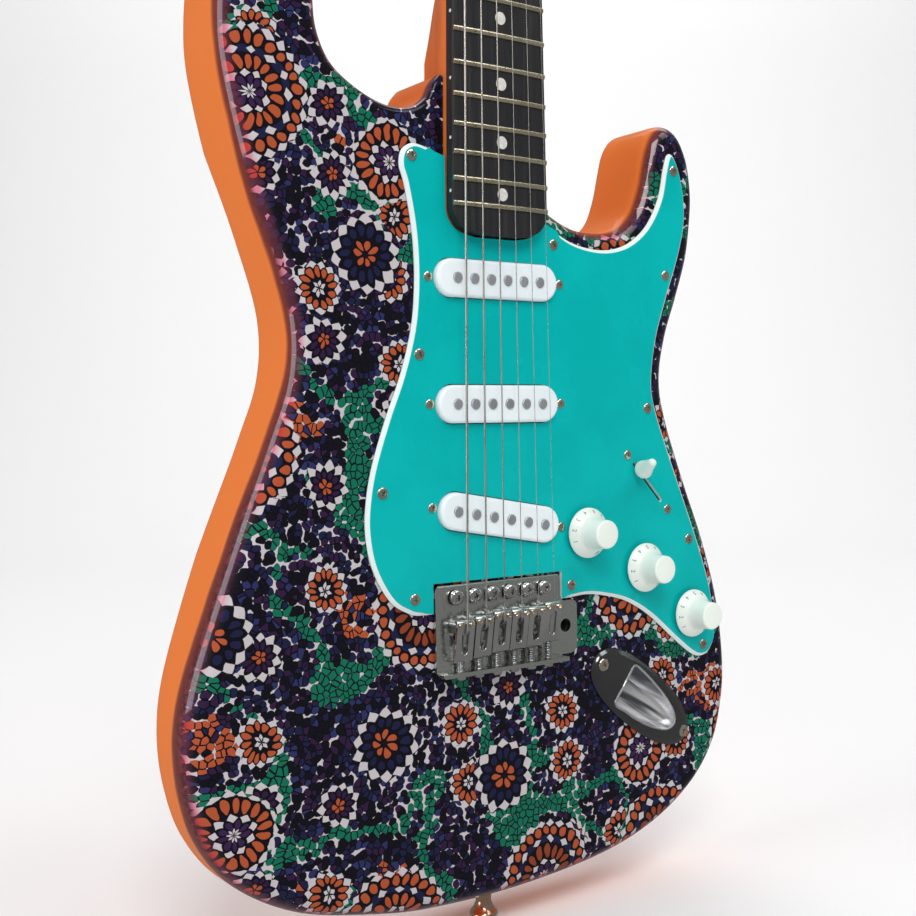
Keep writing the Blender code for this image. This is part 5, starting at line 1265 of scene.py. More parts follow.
def run_tree(name, mesh, kind, finish, values, angle=32.0):
    """Evaluate a tree over a mesh and return the result as a plain object."""
    tree = tree_of(kind)
    values = dict(values, Finish=finish_of(finish))
    source = bpy.data.objects.new(name + " source", mesh)
    bpy.context.scene.collection.objects.link(source)
    modifier = source.modifiers.new("nodes", "NODES")
    modifier.node_group = tree
    for item in tree.interface.items_tree:
        if item.item_type == "SOCKET" and item.in_out == "INPUT" and item.name in values:
            modifier[item.identifier] = values[item.name]
    made = evaluated_mesh(source)
    source.modifiers.clear()
    bpy.data.objects.remove(source, do_unlink=True)
    made.name = name
    if len(made.vertices) == 0:
        raise RuntimeError(name + " came out empty")
    return show_mesh(name, made, angle)


def point_mesh(places):
    """Loose points with a turn and a size each, from (point, facing, spin, size) entries."""
    mesh = bpy.data.meshes.new("points")
    mesh.from_pydata([tuple(p) for p, facing, spin, size in places], [], [])
    for name, kind in (("turn", "FLOAT_VECTOR"), ("grow", "FLOAT")):
        mesh.attributes.new(name, kind, "POINT")
    turn = mesh.attributes["turn"]
    grown = mesh.attributes["grow"]
    for i, (point, facing, spin, size) in enumerate(places):
        rotation = Vector(facing).to_track_quat("Z", "Y").to_matrix() @ Matrix.Rotation(spin, 3, "Z")
        turn.data[i].vector = rotation.to_euler()
        grown.data[i].value = size
    return mesh


TREES = {}


def tree_of(name):
    """A Geometry Nodes tree by its name, made on first use."""
    makers = {"copies": copies_tree, "coils": coils_tree, "frets": frets_tree}
    if name not in TREES:
        TREES[name] = makers[name]()
    return TREES[name]


def place_copies(name, template, places, diameter, finish, body="guitar"):
    """Put copies of a template at places on one body."""
    values = {"Template": template_of(template), "Diameter": diameter}
    return dress(run_tree(name, point_mesh(places), "copies", finish, values), body)


def dress(piece, body, replaced=()):
    """Tie a finished piece to its body and the nodes that it stands for."""
    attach(piece, body)
    if replaced:
        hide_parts(*replaced)
    return piece


# Templates of the small hardware, one metre wide with their foot at the origin and facing +Z
def add_piece(name, bm, finish, angle=40.0, body="guitar", replaced=()):
    """Turn a bmesh into a dressed piece of one body."""
    return dress(new_object(name, bm, finish, angle), body, replaced)


def screw_template(name, dome, rim):
    """Domed screw head with a cross recess."""
    profile = [(0.5, 0.0), (0.5, rim)]
    for step in range(1, 7):
        angle = 0.5 * math.pi * step / 6.0
        profile.append((0.5 * math.cos(angle) if step < 6 else 0.0, rim + dome * math.sin(angle)))
    head = new_object(name, wide_turned(profile), angle=38.0)
    for turn in (0.0, 0.5 * math.pi):
        along = Vector((math.cos(turn), math.sin(turn), 0.0))
        across = Vector((-along.y, along.x, 0.0))
        rings = []
        for z, reach, wide in ((rim + dome - 0.26, 0.07, 0.035), (rim + dome + 0.1, 0.30, 0.062)):
            rings.append([along * (a * reach) + across * (b * wide) + UP * z for a, b in SQUARE])
        combine(head, loft(rings))
    return settle(head, 38.0)


def wide_turned(profile):
    """Turned solid from (radius, height) pairs in metres, along +Z from the origin."""
    return turned([(radius / MM, along / MM) for radius, along in profile], ORIGIN, UP, 28)


def pole_template():
    """Bevelled pole piece."""
    profile = ((0.5, -0.10), (0.5, 0.13), (0.47, 0.17), (0.0, 0.18))
    return new_object("pole template", wide_turned(profile), angle=38.0)


def disc_template():
    """Thin inlaid disc."""
    profile = ((0.5, -0.05), (0.5, 0.012), (0.48, 0.018), (0.0, 0.022))
    return new_object("disc template", wide_turned(profile), angle=38.0)


def grub_template():
    """Small headless screw with a hexagon socket."""
    rings = []
    for radius, z, hexagon in ((0.5, -0.6, 0), (0.5, 0.28, 0), (0.45, 0.34, 0), (0.27, 0.34, 1),
                               (0.26, 0.02, 1)):
        ring = []
        for i in range(24):
            angle = 2.0 * math.pi * i / 24.0
            reach = radius
            if hexagon:
                reach = radius * math.cos(math.pi / 6.0) / math.cos((angle % (math.pi / 3.0)) - math.pi / 6.0)
            ring.append(Vector((reach * math.cos(angle), reach * math.sin(angle), z)))
        rings.append(ring)
    return new_object("grub template", loft(rings), angle=38.0)


def fret_template(size):
    """One fret, a metre wide along X, with a rounded crown and bevelled ends."""
    half = 0.5 * size.fret_width
    high = size.fret_height
    rings = []
    across = [-0.5, -0.4985, -0.47] + [x / 10.0 for x in range(-4, 5)] + [0.47, 0.4985, 0.5]
    for x in across:
        lean = 0.62 if abs(x) == 0.5 else (0.9 if abs(x) > 0.49 else 1.0)
        ring = []
        for step in range(9):
            angle = math.pi * step / 8.0
            ring.append(Vector((x, -high * lean * math.sin(angle) ** 0.8, half * math.cos(angle))))
        ring.append(Vector((x, 0.0006, -half)))
        ring.append(Vector((x, 0.0006, half)))
        rings.append(ring)
    return new_object("fret template", loft(rings), angle=38.0)


TEMPLATES = {}


def template_of(name):
    """A hardware template by its name, made on first use."""
    makers = {
        "screw": lambda: screw_template("screw template", 0.16, 0.02),
        "pan_screw": lambda: screw_template("pan screw template", 0.20, 0.16),
        "pole": pole_template, "disc": disc_template, "grub": grub_template,
        "fret": lambda: fret_template(sizes()),
    }
    if name not in TEMPLATES:
        TEMPLATES[name] = makers[name]()
    return TEMPLATES[name]


def drop_templates():
    """Remove the templates when every piece is made."""
    for template in TEMPLATES.values():
        bpy.data.objects.remove(template, do_unlink=True)
    TEMPLATES.clear()


# Body
def forearm_depth(x, z):
    """How far the forearm bevel lowers the face at a place."""
    start = Vector(FOREARM_LINE[0]) + Vector((0.0, TAIL_Z))
    along = (Vector(FOREARM_LINE[1]) - Vector(FOREARM_LINE[0])).normalized()
    normal = Vector((along.y, -along.x))
    return interpolate(FINE_FOREARM, (Vector((x, z)) - start).dot(normal))


def body_outline():
    """Fine outline of the body with the width of its rounded edge at each point."""
    line = smooth_line([(x, z + TAIL_Z, r) for x, z, r in BODY_OUTLINE], 7)
    return [(x, z) for x, z, r in line], [r for x, z, r in line]


def refined(steps, count):
    """Finer version of a table of steps, curved between its points."""
    return [(a, max(b, 0.0)) for a, b in smooth_line(steps, count)]


FINE_FOREARM = refined(FOREARM_STEPS, 6)
FINE_BELLY = refined(BELLY_STEPS, 5)
FINE_SPAN = refined(BELLY_SPAN, 4)


def split_faces(bm, line, distances, front):
    """Cut the front or back faces along lines parallel to a given line."""
    start = Vector(line[0]) + Vector((0.0, TAIL_Z))
    along = (Vector(line[1]) - Vector(line[0])).normalized()
    normal = Vector((along.y, -along.x))
    middle_w = 0.5 * BACK_W
    for reach in distances:
        point = start + normal * reach
        faces = [f for f in bm.faces if (w_of(f.calc_center_median()) > middle_w) == front]
        edges = {e for f in faces for e in f.edges}
        verts = {v for f in faces for v in f.verts}
        bmesh.ops.bisect_plane(
            bm, geom=list(verts) + list(edges) + faces, dist=1e-6,
            plane_co=at(point.x, 0.0, point.y), plane_no=Vector((normal.x, 0.0, normal.y)),
        )
    return start, along, normal


def bend_body(bm):
    """Give the body its forearm bevel in front and its belly cut behind."""
    middle_w = 0.5 * BACK_W
    start, along, normal = split_faces(bm, FOREARM_LINE, [d for d, depth in FINE_FOREARM[:-1]], True)
    for vert in bm.verts:
        w = w_of(vert.co)
        reach = (Vector((vert.co.x, vert.co.z)) / MM - start).dot(normal)
        share = clamp((w - middle_w) / (middle_w * -0.4))
        vert.co.y += interpolate(FINE_FOREARM, reach) * share * MM
    start, along, normal = split_faces(bm, BELLY_LINE, [d for d, depth in FINE_BELLY[:-1]], False)
    first = start - Vector((0.0, TAIL_Z))
    split_faces(bm, (tuple(first), tuple(first + normal)), [-d for d, depth in FINE_SPAN], False)
    for vert in bm.verts:
        w = w_of(vert.co)
        offset = Vector((vert.co.x, vert.co.z)) / MM - start
        depth = interpolate(FINE_BELLY, offset.dot(normal)) * interpolate(FINE_SPAN, offset.dot(along))
        share = clamp((middle_w - w) / (middle_w * -0.4))
        vert.co.y -= depth * share * MM


def cut_body_routes(body):
    """Neck pocket, pickup, control, bridge and jack routes, as in the model's source."""
    high = HEEL_TOP_Z + 20.0
    side = board_end(GAP) + [(neck_half_width(high) + GAP, high)]
    outline = side + [(-x, z) for x, z in reversed(side)]
    combine(body, prism(outline, -POCKET_DEPTH, 8.0), crossing=True)
    for name, height in PICKUP_HEIGHTS.items():
        outline = stadium((0.0, TAIL_Z + height), slant_direction(name), PICKUP_BASE_LENGTH + 3.0,
                          PICKUP_BASE_WIDTH + 3.0)
        combine(body, prism(outline, -20.0, 6.0))
    corners = [
        (35.0, 190.0), (43.0, 157.0), (80.0, 143.5), (100.0, 131.0), (116.5, 118.0), (127.0, 110.5),
        (139.0, 113.0), (143.5, 120.0), (138.0, 140.0), (124.0, 158.0), (118.5, 190.0), (96.0, 222.0),
        (80.0, 229.0), (64.0, 210.0),
    ]
    combine(body, prism(rounded_outline(above_tail(corners), 3.0, 4), -36.0, 6.0))
    channel = box_outline(-6.0, 6.0, TAIL_Z + PICKUP_HEIGHTS["bridge"], TAIL_Z + PICKUP_HEIGHTS["neck"])
    combine(body, prism(channel, -14.0, 5.0))
    low = STRING_HOLE_Z - 0.5 * BLOCK_LENGTH - BLOCK_SWING_ROOM
    high = STRING_HOLE_Z + 0.5 * BLOCK_LENGTH + BLOCK_ROUTE_MARGIN
    left = -PLATE_HALF_WIDTH + BLOCK_REACH - BLOCK_ROUTE_MARGIN
    right = ARM_HOLE_ACROSS + BLOCK_REACH + BLOCK_ROUTE_MARGIN
    combine(body, prism(rounded_outline(box_outline(left, right, low, high), 3.0, 5), BACK_W - 8.0, 6.0))
    half = 0.5 * SPRING_ROUTE_WIDTH
    outline = rounded_outline(box_outline(-half, half, low + 2.0, TAIL_Z + SPRING_ROUTE_TOP), 6.0, 6)
    combine(body, prism(outline, BACK_W - 8.0, BACK_W + SPRING_ROUTE_DEPTH))
    outline = jack_outline(JACK_HALF_LENGTH - 1.0, JACK_HALF_WIDTH - 0.7, JACK_ROUTE_REACH)
    combine(body, prism(outline, -34.0, 6.0))
    mouth, direction = socket_line()
    barrel_end = mouth + direction * ((SOCKET_LENGTH + 4.0) * MM)
    combine(body, cylinder(mouth, barrel_end, SOCKET_BARREL_RADIUS + 2.9, 24))


def mark_print(body):
    """Store each point's depth below the face and its distance past the print's edge, in millimetres."""
    for name in ("past_print", "face_depth"):
        body.data.attributes.new(name, "FLOAT", "POINT")
    values = body.data.attributes["past_print"].data
    depths = body.data.attributes["face_depth"].data
    treble = sizes().print_depth_treble / MM
    bass = sizes().print_depth_bass / MM
    for i, vert in enumerate(body.data.vertices):
        x = vert.co.x / MM
        z = vert.co.z / MM
        share = clamp((45.0 - x) / 125.0)
        share = share * share * (3.0 - 2.0 * share)
        inner = min(max((vert.normal.x + 0.8 * max(vert.normal.z, 0.0)) / 0.3, 0.0), 1.0)
        heel = clamp((x + 75.0) / 20.0) * clamp((z - 350.0) / 20.0)
        share *= 1.0 - max(inner, heel)
        upper = 3.0 * clamp((z - 200.0) / 80.0)
        depth = -w_of(vert.co) - forearm_depth(x, z)
        edge = treble + (bass - upper - treble) * share
        values[i].value = depth - edge
        depths[i].value = depth


def build_body():
    """Body blank with rounded edges and contours, its routes and the edge of its print."""
    outline, edges = body_outline()
    rings = [flat_ring(inset(outline, [r + 0.8 for r in edges]), 0.0)]
    for fall, level in quarter(10):
        moved = inset(outline, [r * level for r in edges])
        rings.append([at(x, -FRONT_EDGE_DEPTH * fall * r / max(edges), z) for (x, z), r in zip(moved, edges)])
    rings += [flat_ring(outline, w) for w in (-20.0, -28.0)]
    for fall, level in reversed(quarter(8)):
        rings.append(flat_ring(shrunk(outline, BACK_EDGE_RADIUS * level), BACK_W + BACK_EDGE_RADIUS * fall))
    rings.append(flat_ring(shrunk(outline, BACK_EDGE_RADIUS + 0.8), BACK_W))
    bm = loft(rings)
    bend_body(bm)
    bmesh.ops.triangulate(bm, faces=[f for f in bm.faces if len(f.verts) > 4])
    body = new_object("printed_body", bm, "print")
    cut_body_routes(body)
    settle(body, 40.0)
    mark_print(body)
    return dress(body, "guitar", ("body",))


# Neck, fretboard and headstock
def build_neck():
    """Maple neck: heel block, ramp, rounded shaft and flat headstock."""
    def section(z, depth, square, top=BOARD_JOINT_W, narrow=0.0):
        half = neck_half_width(z) - narrow
        points = []
        for i in range(33):
            angle = math.pi * i / 32.0
            x_round = half * math.cos(angle)
            w_round = top - depth * max(math.sin(angle), 0.0) ** 0.8
            box = min(1.0 / max(abs(math.cos(angle)), 1e-6), 1.0 / max(math.sin(angle), 1e-6))
            x_box = half * math.cos(angle) * box
            w_box = top - depth * math.sin(angle) * box
            points.append(at(x_round + (x_box - x_round) * square, w_round + (w_box - w_round) * square, z))
        return points

    heel = POCKET_DEPTH - GAP + BOARD_JOINT_W
    ramp_z = HEEL_TOP_Z + HEEL_REACH
    rings = []
    for rise, narrow in smooth_line(BOARD_END, 5):
        back = max(1.0 - rise / 12.0, 0.0)
        rings.append(section(BOARD_END_Z + rise + back, heel, 1.0, BOARD_JOINT_W, narrow + 0.7 * back))
    ramp = ((ramp_z, heel, 1.0), (ramp_z + 0.25 * HEEL_RAMP, heel - 0.2, 0.75),
            (ramp_z + 0.55 * HEEL_RAMP, 0.5 * (heel + NECK_DEPTH_AT_HEEL), 0.5),
            (ramp_z + HEEL_RAMP, NECK_DEPTH_AT_HEEL, 0.0))
    for z, depth, square in smooth_line(ramp, 5):
        rings.append(section(z, depth, clamp(square)))
    for share in (0.2, 0.4, 0.6, 0.8, 1.0):
        z = ramp_z + HEEL_RAMP + (NUT_Z - 12.0 - ramp_z - HEEL_RAMP) * share
        rings.append(section(z, NECK_DEPTH_AT_HEEL + (NECK_DEPTH_AT_NUT - NECK_DEPTH_AT_HEEL) * share, 0.0))
    last = NUT_Z + NUT_LENGTH + NUT_SHELF
    rings.append(section(last, NECK_DEPTH_AT_NUT, 0.0))
    for rise, thin, square, top, narrow in smooth_line((
            (1.0, 0.2, 0.0, BOARD_JOINT_W - 0.1, 0.1), (5.0, 1.4, 0.05, 1.2, 0.5),
            (9.0, 2.6, 0.1, HEAD_FACE_W - 0.4, 1.0)), 3):
        rings.append(section(last + rise, NECK_DEPTH_AT_NUT - thin, square, top, narrow))
    neck = new_object("bolt_on_neck", loft(rings), "neck", 30.0)

    outline = smooth_line([(x, z + NUT_Z) for x, z in HEAD_OUTLINE], 6)
    rings = []
    levels = []
    edge = [(HEAD_EDGE * fall, HEAD_EDGE * level, step / 5.0)
            for step, (fall, level) in enumerate(quarter(5))]
    for depth, amount, share in edge:
        levels.append((HEAD_FACE_W - depth, amount, 0.1 * share))
    for depth, amount, share in reversed(edge):
        levels.append((HEAD_BACK_W + depth, amount, 1.0 - 0.2 * share))
    for w, amount, scoop in levels:
        ring = []
        for x, z in shrunk(outline, amount):
            share = clamp((NUT_Z + HEAD_SCOOP - z) / HEAD_SCOOP) * scoop
            ring.append(at(x * (1.0 - 0.3 * share), w, z + 6.0 * share))
        rings.append(ring)
    combine(neck, loft(rings), "UNION")
    for index in range(6):
        x, z = post_centre(index)
        combine(neck, pin(x, z, HEAD_BACK_W - 2.0, HEAD_FACE_W + 2.0, BARREL_RADIUS + GAP, 24))
    settle(neck, 34.0)
    return dress(neck, "guitar", ("neck",))


def build_fretboard():
    """Crowned fretboard with its frets, pearl dots and side dots."""
    def section(z, narrow=0.0):
        half = neck_half_width(z) - narrow
        low = BOARD_JOINT_W + GAP
        ring = [at(-half, low, z), at(half, low, z), at(half, board_w(half) - 0.5, z),
                at(half - 0.15, board_w(half) - 0.15, z)]
        for i in range(13):
            x = (half - 0.5) * (1.0 - i / 6.0)
            ring.append(at(x, board_w(x), z))
        ring += [at(-half + 0.15, board_w(half) - 0.15, z), at(-half, board_w(half) - 0.5, z)]
        return ring

    rings = [section(BOARD_END_Z + rise, narrow) for rise, narrow in smooth_line(BOARD_END, 6)]
    for number in range(FRET_COUNT, 0, -1):
        if fret_z(number) > BOARD_END_Z + 14.0:
            rings.append(section(fret_z(number)))
    rings.append(section(NUT_Z - GAP))
    add_piece("fretboard_wood", loft(rings), "board", 40.0, "guitar", ("fretboard",))

    size = sizes()
    taper = (HEEL_WIDTH - NUT_WIDTH) / (NUT_Z - BOARD_END_Z)
    empty = bpy.data.meshes.new("start")
    frets = run_tree("frets", empty, "frets", "fret", {
        "Scale length": SCALE_LENGTH * MM, "Nut height": NUT_Z * MM, "Nut width": (NUT_WIDTH - 0.4) * MM,
        "Taper": taper,
        "Board radius": BOARD_RADIUS * MM, "Board front": at(0.0, BOARD_CROWN_W, 0.0).y,
        "Frets": size.fret_count, "Template": template_of("fret"),
    }, 50.0)
    dress(frets, "guitar")

    def middle(number):
        return 0.5 * (fret_z(number) + fret_z(number - 1))

    dots = [(at(0.0, board_w(0.0), middle(n)), FORWARD, 0.0, 1.0) for n in DOT_FRETS]
    for x in (-DOUBLE_DOT_REACH, DOUBLE_DOT_REACH):
        tilt = Vector((x / BOARD_RADIUS, -1.0, 0.0))
        dots.append((at(x, board_w(x), middle(DOUBLE_DOT_FRET)), tilt, 0.0, 1.0))
    place_copies("position_dots", "disc", dots, size.dot_diameter, "pearl", "guitar")
    side = []
    for n in DOT_FRETS + (DOUBLE_DOT_FRET,):
        offsets = (-4.0, 4.0) if n == DOUBLE_DOT_FRET else (0.0,)
        for offset in offsets:
            z = middle(n) + offset
            side.append((at(-neck_half_width(z), 5.6, z), (-1.0, 0.0, 0.0), 0.0, 1.0))
    place_copies("side_dots", "disc", side, size.side_dot_diameter, "cover", "guitar")


def build_nut():
    """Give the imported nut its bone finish."""
    refinish("nut", "bone")


def refinish(node, name):
    """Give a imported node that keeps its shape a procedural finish."""
    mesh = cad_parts[node].data
    mesh.materials.clear()
    mesh.materials.append(finish_of(name))


# Tuners
def build_tuners():
    """Six tuners: sealed housing with its barrel, string post, button, and their small screws."""
    along, out = tuner_directions()
    back = HEAD_BACK_W - GAP
    screws = []
    for index in range(6):
        number = index + 1
        x, z = post_centre(index)
        centre = Vector((x, z))
        corners = [centre + along * (a * 0.5 * TUNER_WIDTH) + out * (b * 0.5 * TUNER_LENGTH)
                   for a, b in SQUARE]
        outline = rounded_outline([tuple(c) for c in corners], 3.0, 6)
        rings = [flat_ring(outline, back)]
        for fall, level in quarter(5):
            rings.append(flat_ring(shrunk(outline, TUNER_EDGE * fall),
                                   back - TUNER_HEIGHT + TUNER_EDGE * level))
        housing = new_object("sealed_tuner_%d" % number, loft(rings), "chrome")
        combine(housing, turned(((BARREL_RADIUS, 0.0), (BARREL_RADIUS, HEAD_FACE_W + 0.4 - back + 2.0),
                                 (BARREL_RADIUS - 0.5, HEAD_FACE_W + 1.2 - back + 2.0)),
                                at(x, back - 2.0, z), FORWARD, 32), "UNION")
        combine(housing, pin(x, z, back - 3.0, HEAD_FACE_W + 4.0, POST_RADIUS + GAP, 28))
        start = centre + out * (0.5 * TUNER_LENGTH - 3.0)
        shaft_start = at(start.x, back - TUNER_SHAFT_OFFSET, start.y)
        direction = Vector((out.x, 0.0, out.y))
        combine(housing, cylinder(shaft_start - direction * MM, shaft_start + direction * (6.0 * MM),
                                  TUNER_SHAFT_RADIUS + GAP, 24))
        settle(housing)
        dress(housing, "guitar", ("tuner_housing_%d" % number,))

        post_base = at(x, back - 3.0 + GAP, z)
        top = POST_TOP_W - (back - 3.0 + GAP)
        string = HEAD_FACE_W + POST_STRING_W - (back - 3.0 + GAP)
        profile = smooth_line((
            (POST_WAIST_RADIUS, string - 4.0), (POST_WAIST_RADIUS, string - 1.0),
            (POST_WAIST_RADIUS, string + 0.9),
            (POST_RADIUS, string + 1.9)), 3)
        profile = [(POST_RADIUS, 0.0), (POST_RADIUS, string - 5.0)] + profile + [
            (POST_RADIUS, top - 0.5), (POST_RADIUS - 0.2, top - 0.15), (POST_RADIUS - 0.6, top)]
        post = new_object("string_post_%d" % number, turned(profile, post_base, FORWARD, 32), "chrome")
        slot = pin(x, z, top + back - 3.0 + GAP - 2.4, top + back - 3.0 + GAP + 1.0, 1.0, 16)
        combine(post, slot)
        settle(post)
        dress(post, "tuner_post_%d" % number, ("tuner_post_%d" % number,))

        stem = BUTTON_STEM
        profile = smooth_line((
            (TUNER_SHAFT_RADIUS, stem), (4.6, stem + 1.8), (8.3, stem + 5.5), (9.2, stem + 9.5),
            (8.2, stem + 13.5),
            (4.8, stem + 16.0), (1.6, stem + 16.55)), 4)
        profile = [(TUNER_SHAFT_RADIUS, 0.0), (TUNER_SHAFT_RADIUS, stem - 0.5)] + profile
        profile.append((0.0, stem + 16.6))
        body = "tuner_button_%d" % number
        button = turned(profile, shaft_start, direction, 40, squash=0.36)
        add_piece("oval_button_%d" % number, button, "chrome", 40.0, body, (body,))
        tip = shaft_start + direction * ((stem + 16.5) * MM)
        place_copies("button_screw_%d" % number, "screw", [(tip, direction, 0.4, 1.0)], 0.0036, "chrome",
                     body)
        for side in (-1.0, 1.0):
            spot = centre + along * (side * 0.5 * TUNER_WIDTH - side * 2.2) - out * (0.5 * TUNER_LENGTH - 2.2)
            screws.append((at(spot.x, back - TUNER_HEIGHT + 0.05, spot.y), -FORWARD, 0.3 * index, 1.0))
    place_copies("tuner_screws", "screw", screws, 0.0030, "nickel")
    refinish("string_tree", "chrome")
    tree_z = NUT_Z + TREE_ABOVE_NUT
    tree_x = 0.5 * (string_x(4, tree_z) + string_x(5, tree_z))
    over = TREE_STRING_W + 0.5 * STRING_DIAMETERS[4] + GAP + 1.8
    place_copies("string_tree_screw", "screw", [(at(tree_x, over, tree_z), FORWARD, 0.5, 1.0)], 0.0040,
                 "chrome", "guitar")


# Strings
def string_runs(index):
    """A string's three runs: block to saddle, saddle to nut, and nut to the turns on its post."""
    radius = 0.5 * STRING_DIAMETERS[index]
    z_crest = crest_z(index)
    top = crest_w(index) + GAP + radius
    x = saddle_x(index)
    low = [
        at(x, STRING_END_W, STRING_HOLE_Z), at(x, -2.0, STRING_HOLE_Z),
        at(x, PLATE_TOP_W + 0.5, STRING_HOLE_Z + 0.3),
        at(x, top - 2.0, z_crest - 4.4), at(x, top - 0.25, z_crest - 2.8), at(x, top, z_crest + 0.2),
    ]
    nut_w = nut_slot_w(index) + GAP + radius
    nut_near = at(string_x(index, NUT_Z), nut_w, NUT_Z)
    nut_far = at(string_x(index, NUT_Z + NUT_LENGTH), nut_w, NUT_Z + NUT_LENGTH)
    high = [nut_near, nut_far]
    if index >= 4:
        z = NUT_Z + TREE_ABOVE_NUT
        down = TREE_STRING_W + 0.5 * (STRING_DIAMETERS[4] - STRING_DIAMETERS[index])
        high.append(at(string_x(index, z - 2.2), down, z - 2.2))
        high.append(at(string_x(index, z + 2.2), down, z + 2.2))
    px, pz = post_centre(index)
    wrap = POST_WAIST_RADIUS + GAP + radius
    pitch = STRING_DIAMETERS[index] + 0.45
    start_w = HEAD_FACE_W + POST_STRING_W - radius
    for step in range(STRING_TURNS * 20 + 1):
        turn = 2.0 * math.pi * step / 20.0
        high.append(at(px + wrap * math.cos(turn), start_w - pitch * step / 20.0, pz + wrap * math.sin(turn)))
    return low, [low[-1], nut_near], high


def build_strings():
    """Six strings, each in three runs: block to saddle, saddle to nut, and nut to the turns on its post."""
    for index in range(6):
        number = index + 1
        radius = 0.5 * STRING_DIAMETERS[index]
        finish = "wound" if index < 3 else "plain"
        low, middle, high = string_runs(index)
        bend = smooth_line([tuple(p) for p in low[2:]], 4)
        past_crest = middle[0] + (middle[1] - middle[0]).normalized() * (STRING_TAIL * MM)
        low = low[:2] + [Vector(p) for p in bend] + [past_crest]
        node = "string_%d" % number
        lower = sweep(low, 0.98 * radius, STRING_SIDES)
        anchor = new_object("string_anchor_%d" % number, lower, finish, 60.0)
        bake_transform(anchor)
        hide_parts(node)
        steps = 24
        line = [middle[0].lerp(middle[1], step / steps) for step in range(steps + 1)]
        run = add_piece("string_run_%d" % number, sweep(line, radius, STRING_SIDES), finish, 60.0,
                        "guitar", (node,))
        tuple(middle[1])
        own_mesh(run)
        add_piece("string_turns_%d" % number, sweep(high, radius, 10), finish, 60.0,
                  "guitar", (node,))


# Pickguard
def build_pickguard():
    """Layered pickguard with its bevelled edge, its holes and its screws."""
    side = board_end(2.0 * GAP)
    left = side[-1][0]
    bridge_left = -PLATE_HALF_WIDTH - 1.1
    bridge_top = PLATE_FRONT_Z + 1.2
    bass = smooth_line(above_tail(GUARD_BASS_EDGE), 6)
    treble = smooth_line(above_tail(GUARD_TREBLE_EDGE), 6)
    outline = (
        list(reversed(side)) + [(-x, z) for x, z in side] + [(-left, bass[0][1] - 1.5)] + bass
        + [(bridge_left, bass[-1][1]), (bridge_left, bridge_top), (-bridge_left, bridge_top),
           (-bridge_left, treble[0][1])]
        + treble + [(left, treble[-1][1] + 2.5)]
    )
    amounts = [GUARD_BEVEL] * len(outline)
    for i, (x, z) in enumerate(outline):
        if abs(x) <= max(left, -bridge_left) + 0.01:
            amounts[i] = 0.15
    rings = [flat_ring(outline, w) for w in (GAP, GAP + 0.5)]
    for share in (0.35, 0.7, 1.0):
        moved = inset(outline, [a * share for a in amounts])
        rings.append(flat_ring(moved, GAP + 0.5 + (GUARD_THICKNESS - 0.5) * share))
    guard = new_object("layered_pickguard", loft(rings), "guard", 28.0)
    for name, height in PICKUP_HEIGHTS.items():
        slot = stadium((0.0, TAIL_Z + height), slant_direction(name), PICKUP_LENGTH + 2.0 * PICKUP_CLEARANCE,
                       PICKUP_WIDTH + 2.0 * PICKUP_CLEARANCE, 20)
        combine(guard, prism(slot, -2.0, GUARD_TOP_W + 2.0))
    holes = bmesh.new()
    for x, height in KNOB_PLACES.values():
        z = TAIL_Z + height
        pin(x, z, -2.0, GUARD_TOP_W + 2.0, BUSHING_RADIUS + GAP, 32, holes)
    slot = stadium((SELECTOR_CENTRE[0], SELECTOR_CENTRE[1] + TAIL_Z), SELECTOR_DIRECTION,
                   SELECTOR_SLOT_LENGTH, SELECTOR_SLOT_WIDTH, 6)
    prism(slot, -2.0, GUARD_TOP_W + 2.0, holes)
    combine(guard, holes)
    settle(guard, 28.0)
    dress(guard, "guitar", ("pickguard",))

    size = sizes()
    places = [(at(x, GUARD_TOP_W, z + TAIL_Z), FORWARD, 0.7 * i, 1.0)
              for i, (x, z) in enumerate(GUARD_SCREWS)]
    place_copies("pickguard_screws", "screw", places, size.guard_screw_head, "nickel")
    places = []
    for name, height in PICKUP_HEIGHTS.items():
        across, up = slant_direction(name)
        for side_sign in (-1.0, 1.0):
            reach = side_sign * PICKUP_SCREW_REACH
            spot = at(reach * across, GUARD_TOP_W, TAIL_Z + height + reach * up)
            places.append((spot, FORWARD, 0.4 + height, 0.86))
    for i, (x, z) in enumerate(SELECTOR_SCREWS):
        places.append((at(x, GUARD_TOP_W, z + TAIL_Z), FORWARD, 1.1 * i, 0.9))
    place_copies("pickup_and_selector_screws", "screw", places, size.guard_screw_head, "nickel")


